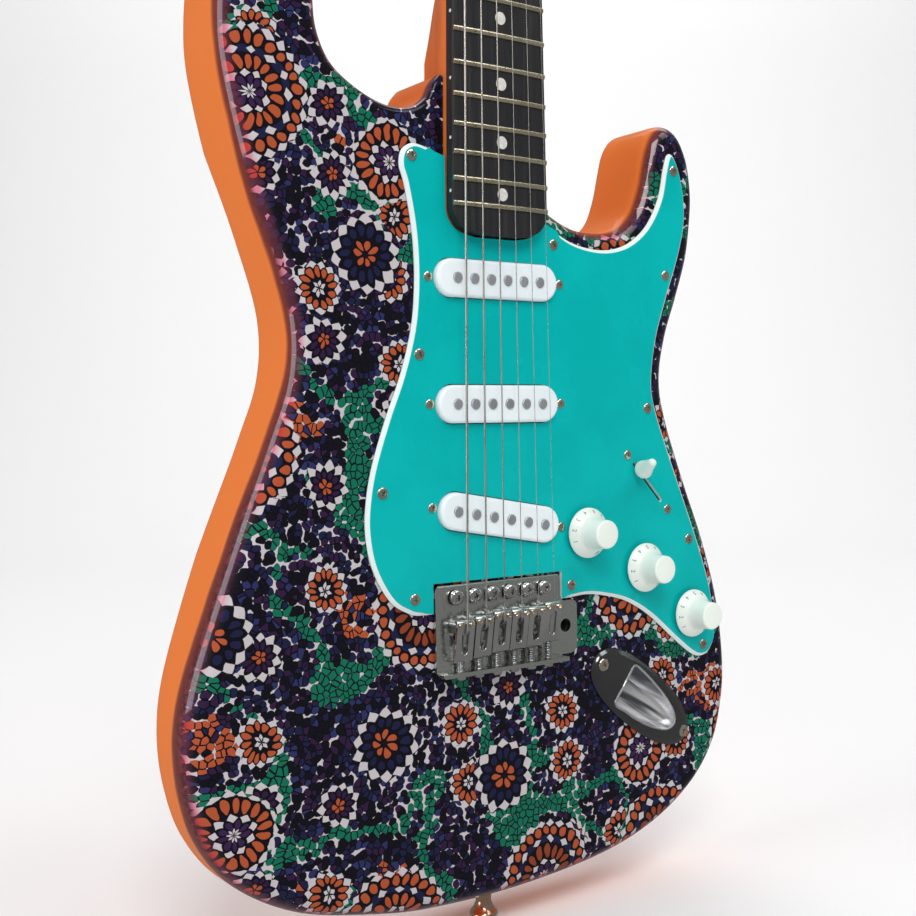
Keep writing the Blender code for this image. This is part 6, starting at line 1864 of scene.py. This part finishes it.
# Pickups
def build_pickups():
    """Three single-coil pickups: base, soft-edged cover and six pole pieces each."""
    for name, height in PICKUP_HEIGHTS.items():
        centre = (0.0, TAIL_Z + height)
        direction = slant_direction(name)
        outline = stadium(centre, direction, PICKUP_LENGTH, PICKUP_WIDTH, 20)
        rings = [flat_ring(outline, PICKUP_BASE_W - 6.0)]
        for fall, level in quarter(6):
            rings.append(flat_ring(shrunk(outline, PICKUP_EDGE * fall), PICKUP_TOP_W - PICKUP_EDGE * level))
        rings.append(flat_ring(shrunk(outline, PICKUP_EDGE + 0.6), PICKUP_TOP_W))
        cover = new_object("pickup_cover_" + name, loft(rings), "cover", 40.0)
        base = stadium(centre, direction, PICKUP_BASE_LENGTH, PICKUP_BASE_WIDTH, 14)
        combine(cover, prism(base, PICKUP_BASE_W - 2.5, PICKUP_BASE_W), "UNION")
        holes = bmesh.new()
        places = []
        for index in range(6):
            reach = POLE_SPANS[name] * (index / 5.0 - 0.5)
            x = reach * direction[0]
            z = centre[1] + reach * direction[1]
            pin(x, z, PICKUP_TOP_W - 0.35, PICKUP_TOP_W + 2.0, POLE_RADIUS + 0.28, 28, holes)
            places.append((at(x, PICKUP_TOP_W - 0.05, z), FORWARD, 0.2 * index, 1.0))
        combine(cover, holes)
        settle(cover, 40.0)
        body = "pickup_" + name
        dress(cover, body, (body,))
        place_copies("pole_pieces_" + name, "pole", places, 2.0 * POLE_RADIUS * MM, "pole", body)


# Knobs and selector
def numeral_mesh(bm, text, height, origin, right, up):
    """Add a raised number, flat on a plane, to a bmesh."""
    curve = bpy.data.curves.new("numeral", "FONT")
    curve.body = text
    curve.size = height
    curve.align_x = "CENTER"
    curve.align_y = "CENTER"
    curve.extrude = 0.00003
    curve.resolution_u = 3
    holder = bpy.data.objects.new("numeral", curve)
    bpy.context.scene.collection.objects.link(holder)
    mesh = evaluated_mesh(holder)
    normal = right.cross(up)
    mesh.transform(Matrix.Translation(origin) @ Matrix((right, up, normal)).transposed().to_4x4())
    bm.from_mesh(mesh)
    bpy.data.objects.remove(holder, do_unlink=True)
    bpy.data.curves.remove(curve)
    bpy.data.meshes.remove(mesh)


def build_knobs():
    """Skirted knobs with plain numbers on their skirts and bare caps."""
    knob_w = GUARD_TOP_W + KNOB_CLEARANCE
    bushing_w = GUARD_TOP_W + 3.0
    top = knob_w + KNOB_HEIGHT
    first_angle = {"volume": 200.0, "neck_tone": 215.0, "middle_tone": 215.0}
    for name, (x, height) in KNOB_PLACES.items():
        z = TAIL_Z + height
        body = "knob_" + name
        profile = [
            (0.0, -4.0), (SHAFT_RADIUS, -4.0), (SHAFT_RADIUS, bushing_w + 1.0),
            (BUSHING_RADIUS + 0.8, bushing_w + 1.0), (BUSHING_RADIUS + 0.8, knob_w),
            (KNOB_SKIRT_RADIUS - 0.3, knob_w), (KNOB_SKIRT_RADIUS, knob_w + 0.25),
            (KNOB_SKIRT_RADIUS, knob_w + 0.8),
            (KNOB_SKIRT_RADIUS - 0.2, knob_w + 1.1),
        ]
        profile += smooth_line(((KNOB_TOP_RADIUS + 2.4, knob_w + 3.7), (KNOB_TOP_RADIUS + 1.35, knob_w + 4.7),
                                (KNOB_TOP_RADIUS + 0.7, knob_w + 6.2), (KNOB_TOP_RADIUS + 0.25, knob_w + 9.0),
                                (KNOB_TOP_RADIUS, top - 1.1)), 4)
        for fall, level in quarter(5)[1:]:
            profile.append((KNOB_TOP_RADIUS - 0.9 * fall, top - 0.9 * level))
        profile += [(KNOB_TOP_RADIUS - 2.6, top + 0.14), (0.0, top + 0.3)]
        knob = turned(profile, at(x, 0.0, z), FORWARD, 72)
        add_piece("skirted_knob_" + name, knob, "mint", 36.0, body, (body,))
        slope = Vector((-(KNOB_SKIRT_RADIUS - 0.2 - KNOB_TOP_RADIUS - 2.4), 2.6)).normalized()
        bm = bmesh.new()
        for number in range(1, 11):
            angle = math.radians(first_angle[name] - 30.0 * (number - 1))
            out = Vector((math.cos(angle), 0.0, math.sin(angle)))
            around = Vector((-math.sin(angle), 0.0, math.cos(angle)))
            radius = 0.5 * (KNOB_SKIRT_RADIUS - 0.2 + KNOB_TOP_RADIUS + 2.4)
            origin = at(x, knob_w + 2.4 + 0.02, z) + out * (radius * MM)
            inward = (out * slope.x + FORWARD * slope.y).normalized()
            normal = around.cross(inward)
            if normal.dot(FORWARD) < 0.0:
                around = -around
                normal = -normal
            numeral_mesh(bm, str(number), sizes().numeral_height, origin + normal * 0.00002, around, inward)
        add_piece("numbers_" + name, bm, "numeral", 32.0, body)
        refinish("pot_" + name, "steel")


def build_selector():
    """Teardrop tip on the pickup selector's steel lever, and the finishes of the lever and the switch."""
    pivot, slot, lever, axis = selector_frame()
    side = lever.cross(axis)
    profile = smooth_line((
        (TIP_BASE_RADIUS - 2.0, 0.0), (TIP_BASE_RADIUS - 0.5, 0.8), (TIP_BASE_RADIUS, 2.2),
        (TIP_BASE_RADIUS - 0.3, 3.8),
        (TIP_BASE_RADIUS - 1.2, 6.5), (TIP_END_RADIUS + 0.5, TIP_LENGTH - 3.0),
        (TIP_END_RADIUS, TIP_LENGTH - 1.2),
        (TIP_END_RADIUS - 0.9, TIP_LENGTH - 0.25)), 5)
    profile = list(profile) + [(0.0, TIP_LENGTH)]
    base = pivot + lever * (TIP_BASE_REACH * MM)
    tip = new_object("teardrop_tip", turned(profile, base, lever, 48), "mint", 40.0)
    rings = []
    for along in (-1.0, LEVER_REACH - TIP_BASE_REACH + GAP):
        rings.append([base + (lever * along + axis * (a * (0.5 * LEVER_THICKNESS + GAP))
                              + side * (b * (0.4 * LEVER_WIDTH + GAP))) * MM
                      for a, b in SQUARE])
    combine(tip, loft(rings))
    settle(tip, 40.0)
    dress(tip, "selector", ("selector_tip",))
    refinish("selector_lever", "steel")
    refinish("selector_switch", "steel")


# Bridge
def build_bridge_plate():
    """Bent tremolo plate with its flange, tab, holes and six pivot screws, and its block."""
    under = GAP
    chamfer = under + 0.55 * PLATE_THICKNESS
    profile = [
        (PLATE_FRONT_Z, chamfer), (PIVOT_Z, under), (PLATE_REAR_Z, under),
        (PLATE_REAR_Z, FLANGE_HEIGHT), (PLATE_REAR_Z + FLANGE_THICKNESS, FLANGE_HEIGHT),
        (PLATE_REAR_Z + FLANGE_THICKNESS, PLATE_TOP_W), (PLATE_FRONT_Z - 0.5, PLATE_TOP_W),
        (PLATE_FRONT_Z, PLATE_TOP_W - 0.5),
    ]
    bm = prism_across(profile, -PLATE_HALF_WIDTH - 4.0, PLATE_TAB_REACH + 4.0)
    plate = new_object("tremolo_plate", bm, "satin_plate")
    tab_z = PLATE_FRONT_Z - PLATE_TAB_FROM
    corners = [
        (-PLATE_HALF_WIDTH, PLATE_REAR_Z - 0.5), (PLATE_TAB_REACH, PLATE_REAR_Z - 0.5),
        (PLATE_TAB_REACH, tab_z),
        (PLATE_HALF_WIDTH, tab_z), (PLATE_HALF_WIDTH, PLATE_FRONT_Z + 0.5),
        (-PLATE_HALF_WIDTH, PLATE_FRONT_Z + 0.5),
    ]
    combine(plate, prism(rounded_outline(corners, 3.0, 8), -4.0, FLANGE_HEIGHT + 4.0), "INTERSECT")
    trim = box_outline(PLATE_HALF_WIDTH + 1.0, PLATE_TAB_REACH + 5.0, PLATE_REAR_Z - 3.0,
                       PLATE_REAR_Z + FLANGE_THICKNESS + 0.5)
    combine(plate, prism(trim, -4.0, FLANGE_HEIGHT + 4.0))
    low = PLATE_REAR_Z + FLANGE_THICKNESS + 0.5
    corner = [(PLATE_TAB_REACH - TAB_CORNER, low - 1.0), (PLATE_TAB_REACH + 1.0, low - 1.0),
              (PLATE_TAB_REACH + 1.0, low + TAB_CORNER)]
    corner += [(PLATE_TAB_REACH - TAB_CORNER * fall, low + TAB_CORNER * level) for fall, level in quarter(8)]
    combine(plate, prism(corner, -4.0, FLANGE_HEIGHT + 4.0))
    holes = bmesh.new()
    for index in range(6):
        x = saddle_x(index)
        pin(x, STRING_HOLE_Z, -3.0, 6.0, STRING_HOLE_RADIUS, 24, holes)
    pin(ARM_HOLE_ACROSS, ARM_HOLE_Z, -3.0, 6.0, ARM_HOLE_RADIUS, 32, holes)
    shanks = bmesh.new()
    places = []
    for index in range(6):
        x = PIVOT_SCREW_PITCH * (index - 2.5)
        pin(x, PIVOT_Z, -3.0, 6.0, PIVOT_HOLE_RADIUS, 24, holes)
        pin(x, PIVOT_Z, GAP, PLATE_TOP_W + 1.0, PIVOT_SHANK_RADIUS, 16, shanks)
        places.append((at(x, PLATE_TOP_W + PIVOT_SCREW_LIFT, PIVOT_Z), FORWARD, 0.5 * index, 1.0))
    add_piece("pivot_shanks", shanks, "steel")
    combine(plate, holes)
    settle(plate)
    add_bevel(plate, 0.35, 2)
    settle(plate)
    dress(plate, "tremolo", ("bridge_plate",))
    refinish("tremolo_block", "cast")
    place_copies("pivot_screws", "pan_screw", places, sizes().pivot_screw_head, "chrome")


def build_saddles():
    """Six bent-steel saddles, each with two height screws, a length screw and its spring."""
    for index in range(6):
        number = index + 1
        body = "saddle_%d" % number
        x = saddle_x(index)
        z = crest_z(index)
        top = crest_w(index)
        rear_w = top - 2.6
        foot = PLATE_TOP_W + 1.0
        sheet = SADDLE_SHEET
        rear = z - SADDLE_LENGTH
        upper = smooth_line((
            (z + SADDLE_LIP, top - 2.4), (z + SADDLE_LIP - 0.2, top - 1.2), (z + 1.2, top - 0.25),
            (z + 0.2, top),
            (z - 1.4, top - 0.18)), 4)
        bend = smooth_line(((rear + 2.4, rear_w + 0.02), (rear + 0.9, rear_w - 0.35),
                            (rear + 0.2, rear_w - 1.2),
                            (rear, rear_w - 2.4)), 4)
        lower = smooth_line(((rear + sheet, rear_w - 2.6), (rear + sheet + 0.4, rear_w - sheet - 0.35),
                             (rear + sheet + 1.4, rear_w - sheet - 0.05)), 3)
        under = smooth_line(((z - 1.4, top - sheet - 0.1), (z - 0.3, top - sheet),
                             (z + SADDLE_LIP - sheet - 0.1, top - sheet - 0.5),
                             (z + SADDLE_LIP - sheet, top - 2.4)), 3)
        profile = upper + bend + [(rear, foot), (rear + sheet, foot)] + lower + under
        half = 0.5 * SADDLE_WIDTH
        sheet_bent = prism_across(profile, x - half, x + half)
        saddle = new_object("bent_saddle_%d" % number, sheet_bent, "chrome", 30.0)
        slot = stadium((x, z - SADDLE_SLOT_START - 0.5 * SADDLE_SLOT_LENGTH), (0.0, 1.0), SADDLE_SLOT_LENGTH,
                       SADDLE_SLOT_WIDTH, 10)
        combine(saddle, prism(slot, 5.0, 16.0))
        settle(saddle, 30.0)
        add_bevel(saddle, 0.28, 3, 40.0)
        settle(saddle, 30.0)
        dress(saddle, body, (body,))
        grubs = []
        stems = bmesh.new()
        for side in (-0.5, 0.5):
            place = x + side * HEIGHT_SCREW_SPACING
            grubs.append((at(place, top + 0.05, z - 0.5), FORWARD, 0.6 * number + side, 1.0))
            pin(place, z - 0.5, PLATE_TOP_W + GAP, top - 1.0, HEIGHT_SCREW_RADIUS - 0.1, 16, stems)
        place_copies("height_screws_%d" % number, "grub", grubs, 2.0 * HEIGHT_SCREW_RADIUS * MM, "nickel",
                     body)
        add_piece("height_screw_stems_%d" % number, stems, "steel", 40.0, body)

        screw_w = 5.9
        flange = PLATE_REAR_Z
        rod = turned(((1.35, 0.0), (1.35, z - 5.5 - flange)), at(x, screw_w, flange), UP, 16)
        add_piece("length_screw_%d" % number, rod, "steel", 40.0, "tremolo")
        place_copies("length_screw_head_%d" % number, "pan_screw",
                     [(at(x, screw_w, flange), -UP, 0.3 * number, 1.0)], 0.0052, "chrome", "tremolo")
        near = flange + FLANGE_THICKNESS + 0.1
        length = rear - near - 0.1
        place = point_mesh([(at(x, screw_w, near), UP, 0.0, 1.0)])
        spring = run_tree("saddle_spring_%d" % number, place, "coils", "spring", {
            "Turns": 7.0, "Radius": 0.0019, "Length": length * MM, "Wire": sizes().saddle_spring_wire,
            "Sides": 6, "Steps": 18,
        }, 60.0)
        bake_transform(spring)


# Jack plate
def jack_outline(half_length, half_width, limit=1000.0, count=96):
    """Boat-shaped oval turned along the jack plate, squared off at a limit along it."""
    centre, along, across = jack_axes()
    outline = []
    for i in range(count):
        angle = 2.0 * math.pi * i / count
        power = 0.92 if math.cos(angle) > 0.0 else 0.84
        reach = math.copysign(abs(math.cos(angle)) ** power, math.cos(angle)) * half_length
        reach = min(max(reach, -limit), limit)
        width = math.copysign(abs(math.sin(angle)) ** power, math.sin(angle)) * half_width
        outline.append(tuple(centre + along * reach + across * width))
    return outline


def jack_dish(grow, top_w, steps=3):
    """Scooped dish under the jack plate's opening, grown by the sheet's thickness."""
    centre, along, across = jack_axes()
    slope = ((JACK_DISH[0][0], JACK_DISH_DEEP_W), (26.0, JACK_DISH_SHALLOW_W))
    fine = smooth_line(JACK_DISH, steps, closed=True)
    rings = []
    for share, shrink in ((0.0, 0.0), (0.45, 0.35), (0.7, 0.8), (0.86, 1.6), (0.95, 2.5), (1.0, 3.6)):
        ring = []
        for a, b in shrunk(fine, shrink - grow):
            floor = interpolate(slope, a) - grow
            place = centre + along * a + across * b
            ring.append(at(place.x, top_w + (floor - top_w) * share, place.y))
        rings.append(ring)
    return loft(rings)


def inside(outline, x, z):
    """Whether a place lies within a closed outline."""
    within = False
    for first, second in zip(outline, outline[1:] + outline[:1]):
        if (first[1] > z) != (second[1] > z):
            crossing = first[0] + (second[0] - first[0]) * (z - first[1]) / (second[1] - first[1])
            within = within != (x < crossing)
    return within


def dome_w(x, z):
    """Height of the jack plate's dome at a place."""
    outline = jack_outline(JACK_HALF_LENGTH, JACK_HALF_WIDTH)
    reach = min((Vector((x, z)) - Vector(point)).length for point in outline)
    return GAP + JACK_DOME * interpolate(JACK_DOME_RISE, reach)


def socket_line():
    """Centre of the dish's end wall and the direction that a plug goes in along."""
    centre, along, across = jack_axes()
    end = JACK_DISH[0][0]
    place = centre + along * end - across * 0.8
    slope = (JACK_DISH_SHALLOW_W - JACK_DISH_DEEP_W) / (26.0 - end)
    direction = Vector((-along.x, slope * 0.7, -along.y)).normalized()
    return at(place.x, 0.5 * JACK_DISH_DEEP_W - 0.2, place.y), direction


def build_jack():
    """Domed jack plate in chrome darkened with painted shade, with its dish in painted reflection streaks,
    its rim bead lightened as a painted highlight, two screws, and the socket in the dish's end wall.
    """
    outline = jack_outline(JACK_HALF_LENGTH, JACK_HALF_WIDTH)
    rings = [flat_ring(outline, w) for w in (GAP, GAP + 0.5)]
    for amount, rise in JACK_DOME_RISE[1:]:
        rings.append(flat_ring(shrunk(outline, amount), GAP + JACK_DOME * rise))
    # The plate's chrome is darkened with painted shade
    plate = new_object("boat_jack_plate", loft(rings), "shade_darkened_chrome", 30.0)
    combine(plate, jack_dish(JACK_SHEET, JACK_DISH_TOP_W), "UNION")
    combine(plate, jack_dish(0.0, JACK_DOME + 6.0))
    mouth, direction = socket_line()
    combine(plate, cylinder(mouth - direction * (6.0 * MM), mouth + direction * (8.0 * MM),
                            SOCKET_BARREL_RADIUS + GAP, 40))
    settle(plate, 30.0)
    # Second slot: the dish, with painted reflection streaks
    plate.data.materials.append(finish_of("dish"))
    centre, along, across = jack_axes()
    rim = [centre + along * a + across * b for a, b in smooth_line(JACK_DISH, 6, closed=True)]
    for face in plate.data.polygons:
        if inside(rim, face.center.x / MM, face.center.z / MM):
            face.material_index = 1
    dress(plate, "guitar", ("jack_plate",))
    points = [at(place.x, dome_w(place.x, place.y) - 0.1, place.y) for place in rim]
    bead = bmesh.new()
    rings = []
    for before, here, after in zip(points[-1:] + points[:-1], points, points[1:] + points[:1]):
        outward = (after - before).normalized().cross(FORWARD)
        ring = [math.radians(60.0 * k) for k in range(6)]
        rings.append([bead.verts.new(here + (outward * math.cos(t) + FORWARD * math.sin(t)) * (0.65 * MM))
                      for t in ring])
    for low, high in zip(rings, rings[1:] + rings[:1]):
        for k in range(6):
            bead.faces.new((low[k], low[k - 1], high[k - 1], high[k]))
    # Rim bead in a lightened metal: a painted highlight
    add_piece("dish_rim", bead, "rim", 60.0, "guitar")
    refinish("jack_socket", "nickel")
    places = []
    for reach, spin in ((-JACK_SCREW_REACH, 0.3), (JACK_SCREW_REACH, 1.0)):
        spot = centre + along * reach
        places.append((at(spot.x, GAP + 0.80 * JACK_DOME, spot.y), FORWARD, spin, 1.0))
    place_copies("jack_plate_screws", "screw", places, sizes().plate_screw_head, "nickel")


# Back of the body
def build_springs():
    """Three tremolo springs hooked from the claw to the block."""
    claw_z = TAIL_Z + CLAW_ABOVE_TAIL
    block_z = STRING_HOLE_Z + 0.5 * BLOCK_LENGTH
    low_w = BACK_W + 0.5 * SPRING_ROUTE_DEPTH - 3.0
    size = sizes()
    wire = size.spring_wire / MM
    for number, x in enumerate(SPRING_PLACES, 1):
        radius = SPRING_RADIUS - 0.5 * wire
        first = block_z + 7.0
        last = claw_z - 7.0
        place = point_mesh([(at(x, low_w, first), UP, 0.0, 1.0)])
        coil = run_tree("spring_coil_%d" % number, place, "coils", "spring", {
            "Turns": 34.0, "Radius": radius * MM, "Length": (last - first) * MM, "Wire": size.spring_wire,
            "Sides": 7, "Steps": 18,
        }, 60.0)
        hooks = bmesh.new()
        for start, end, tip in ((first, block_z + GAP, -1.0), (last, claw_z - GAP, 1.0)):
            path = [at(x + radius, low_w, start), at(x + 0.75 * radius, low_w, start + tip * 1.2),
                    at(x + 0.3 * radius, low_w, start + tip * 2.2), at(x, low_w, start + tip * 3.4),
                    at(x, low_w, end)]
            line = [Vector(p) for p in smooth_line([tuple(q) for q in path], 4)]
            sweep(line, 0.5 * wire, 8, hooks)
        bmesh.ops.recalc_face_normals(hooks, faces=hooks.faces)
        hooks.from_mesh(coil.data)
        hooks.to_mesh(coil.data)
        hooks.free()
        coil.data.shade_smooth()
        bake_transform(coil)
        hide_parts("tremolo_spring_%d" % number)


def build_back():
    """Spring claw, springs, back cover and neck plate, with the screws that hold them."""
    build_springs()
    refinish("spring_claw", "steel")
    refinish("back_cover", "back_cover")
    refinish("neck_plate", "chrome")
    low = STRING_HOLE_Z - 0.5 * BLOCK_LENGTH - BLOCK_SWING_ROOM - COVER_MARGIN
    high = TAIL_Z + SPRING_ROUTE_TOP + COVER_MARGIN
    back = BACK_W - GAP - COVER_THICKNESS
    places = []
    for x in (-0.5 * COVER_WIDTH + 4.5, 0.5 * COVER_WIDTH - 4.5):
        for z in (low + 5.0, 0.5 * (low + high), high - 5.0):
            places.append((at(x, back, z), -FORWARD, 0.02 * z, 1.0))
    place_copies("back_cover_screws", "screw", places, sizes().guard_screw_head, "nickel")
    low = HEEL_TOP_Z - NECK_PLATE_SET_BACK - 0.5 * NECK_PLATE_LENGTH
    places = []
    for x in (-0.5 * NECK_PLATE_WIDTH + 6.5, 0.5 * NECK_PLATE_WIDTH - 6.5):
        for z in (low + 6.5, low + NECK_PLATE_LENGTH - 6.5):
            places.append((at(x, back, z), -FORWARD, 0.05 * z, 1.25))
    place_copies("neck_plate_screws", "screw", places, sizes().plate_screw_head, "chrome")


# Strap buttons
def build_strap_buttons():
    """Turned strap buttons with their screws and felt washers, on the tail and on the bass horn."""
    profile = [(3.3, 1.2), (3.5, 0.3), (4.0, 0.0), (BUTTON_RADIUS - 0.9, 0.0)]
    profile += smooth_line(((BUTTON_RADIUS - 0.5, 0.1), (BUTTON_RADIUS, 0.6), (BUTTON_RADIUS - 0.1, 1.6),
                            (5.9, 2.9),
                            (4.9, 4.4), (4.1, 6.4), (3.9, 8.0), (4.4, 11.5), (5.3, BUTTON_LENGTH - 1.0)), 4)
    coarse = smooth_line([(x, z + TAIL_Z) for x, z, r in BODY_OUTLINE], 2)
    horn_x, horn_z = max(coarse, key=lambda point: point[1])
    places = (
        ("tail", at(TAIL_BUTTON_ACROSS, -BUTTON_DEPTH, 0.0), UP),
        ("horn", at(horn_x, -BUTTON_DEPTH, horn_z + GAP + BUTTON_LENGTH), -UP),
    )
    for name, face, axis in places:
        rows = [(0.0, 1.6), (3.1, 1.6)] + profile
        add_piece("conical_button_" + name, turned(rows, face, axis, 56), "bronze", 40.0,
                  "guitar", ("strap_button_" + name,))
        washer = turned(((5.2, BUTTON_LENGTH - 1.0), (5.9, BUTTON_LENGTH - 0.9), (5.9, BUTTON_LENGTH - 0.1),
                         (5.2, BUTTON_LENGTH)), face, axis, 48)
        add_piece("felt_washer_" + name, washer, "felt", 40.0, "guitar")
        place_copies("strap_button_screw_" + name, "screw", [(face + axis * 0.00155, -axis, 0.4, 1.0)],
                     0.0062, "nickel")


# Stage
def build_floor():
    """Pale studio sheet that runs from the floor up into the background in one curve."""
    bm = bmesh.new()
    forward = Vector((CAMERA_FORWARD[0], CAMERA_FORWARD[1], 0.0)).normalized()
    side = Vector((forward.y, -forward.x, 0.0))
    profile = [(-3.0, 0.0), (1.6, 0.0)]
    for step in range(1, 13):
        angle = 0.5 * math.pi * step / 12.0
        profile.append((1.6 + 1.2 * math.sin(angle), 1.2 * (1.0 - math.cos(angle))))
    profile.append((2.8, 4.5))
    rows = []
    for reach, height in profile:
        rows.append([bm.verts.new(forward * reach + side * s + UP * (height - 0.0005)) for s in (-7.0, 7.0)])
    for low, high in zip(rows, rows[1:]):
        bm.faces.new((low[0], low[1], high[1], high[0]))
    floor = new_object("studio_sheet", bm, "paper", 60.0)
    for face in floor.data.polygons:
        if face.normal.z < -0.01:
            floor.data.flip_normals()
            break
    floor.visible_glossy = False


def add_light(name, place, target, width, height, power, tint=(1.0, 1.0, 1.0)):
    """Soft rectangular light aimed at a point."""
    data = bpy.data.lights.new(name, "AREA")
    data.shape = "RECTANGLE"
    data.size = width
    data.size_y = height
    data.energy = power
    data.color = tint
    light = bpy.data.objects.new(name, data)
    light.location = place
    light.rotation_euler = (Vector(target) - Vector(place)).to_track_quat("-Z", "Y").to_euler()
    bpy.context.scene.collection.objects.link(light)


def build_lights():
    """Pale world and soft lights in front, to each side and above."""
    world = bpy.data.worlds.new("studio")
    world.use_nodes = True
    background = world.node_tree.nodes["Background"]
    background.inputs["Color"].default_value = (1.0, 1.0, 1.0, 1.0)
    background.inputs["Strength"].default_value = 0.22
    bpy.context.scene.world = world
    middle = (0.0, 0.0, 0.28)
    add_light("key light", (-1.1, -1.9, 2.3), middle, 1.3, 1.3, 45.0, (1.0, 0.985, 0.97))
    add_light("side light", (-2.3, 0.1, 0.8), middle, 0.9, 1.9, 20.0, (0.95, 0.93, 1.0))
    add_light("fill light", (0.9, -1.5, 2.8), middle, 1.6, 1.6, 26.0)
    add_light("sheet light", (1.0, 1.3, 2.6), (1.4, 2.0, 0.8), 2.4, 2.4, 34.0)


def build_camera():
    """Camera at the photograph's place and angle."""
    data = bpy.data.cameras.new("photograph view")
    data.sensor_width = SENSOR_WIDTH
    data.sensor_fit = "HORIZONTAL"
    data.lens = CAMERA_FOCAL_PIXELS / PICTURE_PIXELS * SENSOR_WIDTH
    data.clip_start = 0.01
    data.clip_end = 30.0
    camera = bpy.data.objects.new("photograph view", data)
    rows = Matrix((Vector(CAMERA_RIGHT), -Vector(CAMERA_DOWN), -Vector(CAMERA_FORWARD))).transposed()
    camera.matrix_world = Matrix.Translation(Vector(CAMERA_PLACE) * MM) @ rows.to_4x4()
    bpy.context.scene.collection.objects.link(camera)
    bpy.context.scene.camera = camera


# Operators, in the order that main calls them
class BodyOperator(bpy.types.Operator):
    """Build the printed body with its contours and routes."""

    bl_idname = "guitar.build_body"
    bl_label = "Printed Body"

    def execute(self, context):
        build_body()
        return {"FINISHED"}


class NeckOperator(bpy.types.Operator):
    """Build the neck, the fretboard with its frets and dots, and the nut."""

    bl_idname = "guitar.build_neck"
    bl_label = "Neck and Fretboard"

    def execute(self, context):
        build_neck()
        build_fretboard()
        build_nut()
        return {"FINISHED"}


class TunersOperator(bpy.types.Operator):
    """Build the six tuners and the string tree."""

    bl_idname = "guitar.build_tuners"
    bl_label = "Tuners"

    def execute(self, context):
        build_tuners()
        return {"FINISHED"}


class StringsOperator(bpy.types.Operator):
    """Build the six strings."""

    bl_idname = "guitar.build_strings"
    bl_label = "Strings"

    def execute(self, context):
        build_strings()
        return {"FINISHED"}


class PickguardOperator(bpy.types.Operator):
    """Build the layered pickguard and its screws."""

    bl_idname = "guitar.build_pickguard"
    bl_label = "Pickguard"

    def execute(self, context):
        build_pickguard()
        return {"FINISHED"}


class PickupsOperator(bpy.types.Operator):
    """Build the three pickups with their pole pieces."""

    bl_idname = "guitar.build_pickups"
    bl_label = "Pickups"

    def execute(self, context):
        build_pickups()
        return {"FINISHED"}


class ControlsOperator(bpy.types.Operator):
    """Build the knobs and the pickup selector."""

    bl_idname = "guitar.build_controls"
    bl_label = "Knobs and Selector"

    def execute(self, context):
        build_knobs()
        build_selector()
        return {"FINISHED"}


class BridgeOperator(bpy.types.Operator):
    """Build the tremolo plate, its saddles and their screws and springs."""

    bl_idname = "guitar.build_bridge"
    bl_label = "Tremolo Bridge"

    def execute(self, context):
        build_bridge_plate()
        build_saddles()
        return {"FINISHED"}


class JackOperator(bpy.types.Operator):
    """Build the jack plate with its dish and socket."""

    bl_idname = "guitar.build_jack"
    bl_label = "Jack Plate"

    def execute(self, context):
        build_jack()
        return {"FINISHED"}


class BackOperator(bpy.types.Operator):
    """Build the springs, the back cover's and neck plate's screws and finishes."""

    bl_idname = "guitar.build_back"
    bl_label = "Springs and Back"

    def execute(self, context):
        build_back()
        return {"FINISHED"}


class StrapButtonsOperator(bpy.types.Operator):
    """Build the two strap buttons."""

    bl_idname = "guitar.build_strap_buttons"
    bl_label = "Strap Buttons"

    def execute(self, context):
        build_strap_buttons()
        return {"FINISHED"}


class StageOperator(bpy.types.Operator):
    """Build the studio sheet, the lights and the camera."""

    bl_idname = "guitar.build_stage"
    bl_label = "Stage"

    def execute(self, context):
        build_floor()
        build_lights()
        build_camera()
        return {"FINISHED"}


OPERATORS = (
    StageOperator, BodyOperator, NeckOperator, TunersOperator, StringsOperator, PickguardOperator,
    PickupsOperator,
    ControlsOperator, BridgeOperator, JackOperator, BackOperator, StrapButtonsOperator,
)


class GuitarPanel(bpy.types.Panel):
    """Buttons that build the guitar piece by piece, over its sizes and colours."""

    bl_idname = "VIEW3D_PT_guitar_builder"
    bl_label = "Guitar"
    bl_space_type = "VIEW_3D"
    bl_region_type = "UI"
    bl_category = "Guitar"

    def draw(self, context):
        column = self.layout.column(align=True)
        for operator in OPERATORS:
            column.operator(operator.bl_idname)
        for group in (context.scene.guitar_sizes, context.scene.guitar_colours):
            box = self.layout.box()
            for label in group.bl_rna.properties.keys():
                if label not in ("rna_type", "name"):
                    box.prop(group, label)


CLASSES = (GuitarSizes, GuitarColours) + OPERATORS + (GuitarPanel,)


def register():
    """Register the classes and hang the settings on the scene."""
    for cls in CLASSES:
        bpy.utils.register_class(cls)
    bpy.types.Scene.guitar_sizes = PointerProperty(type=GuitarSizes)
    bpy.types.Scene.guitar_colours = PointerProperty(type=GuitarColours)


def unregister():
    """Take the settings and the classes away again."""
    del bpy.types.Scene.guitar_colours
    del bpy.types.Scene.guitar_sizes
    for cls in reversed(CLASSES):
        bpy.utils.unregister_class(cls)


def main():
    """Build every piece."""
    register()
    bpy.context.scene.view_settings.view_transform = "Standard"
    for operator in OPERATORS:
        group, name = operator.bl_idname.split(".")
        getattr(getattr(bpy.ops, group), name)()
    drop_templates()


if __name__ == "__main__":
    main()
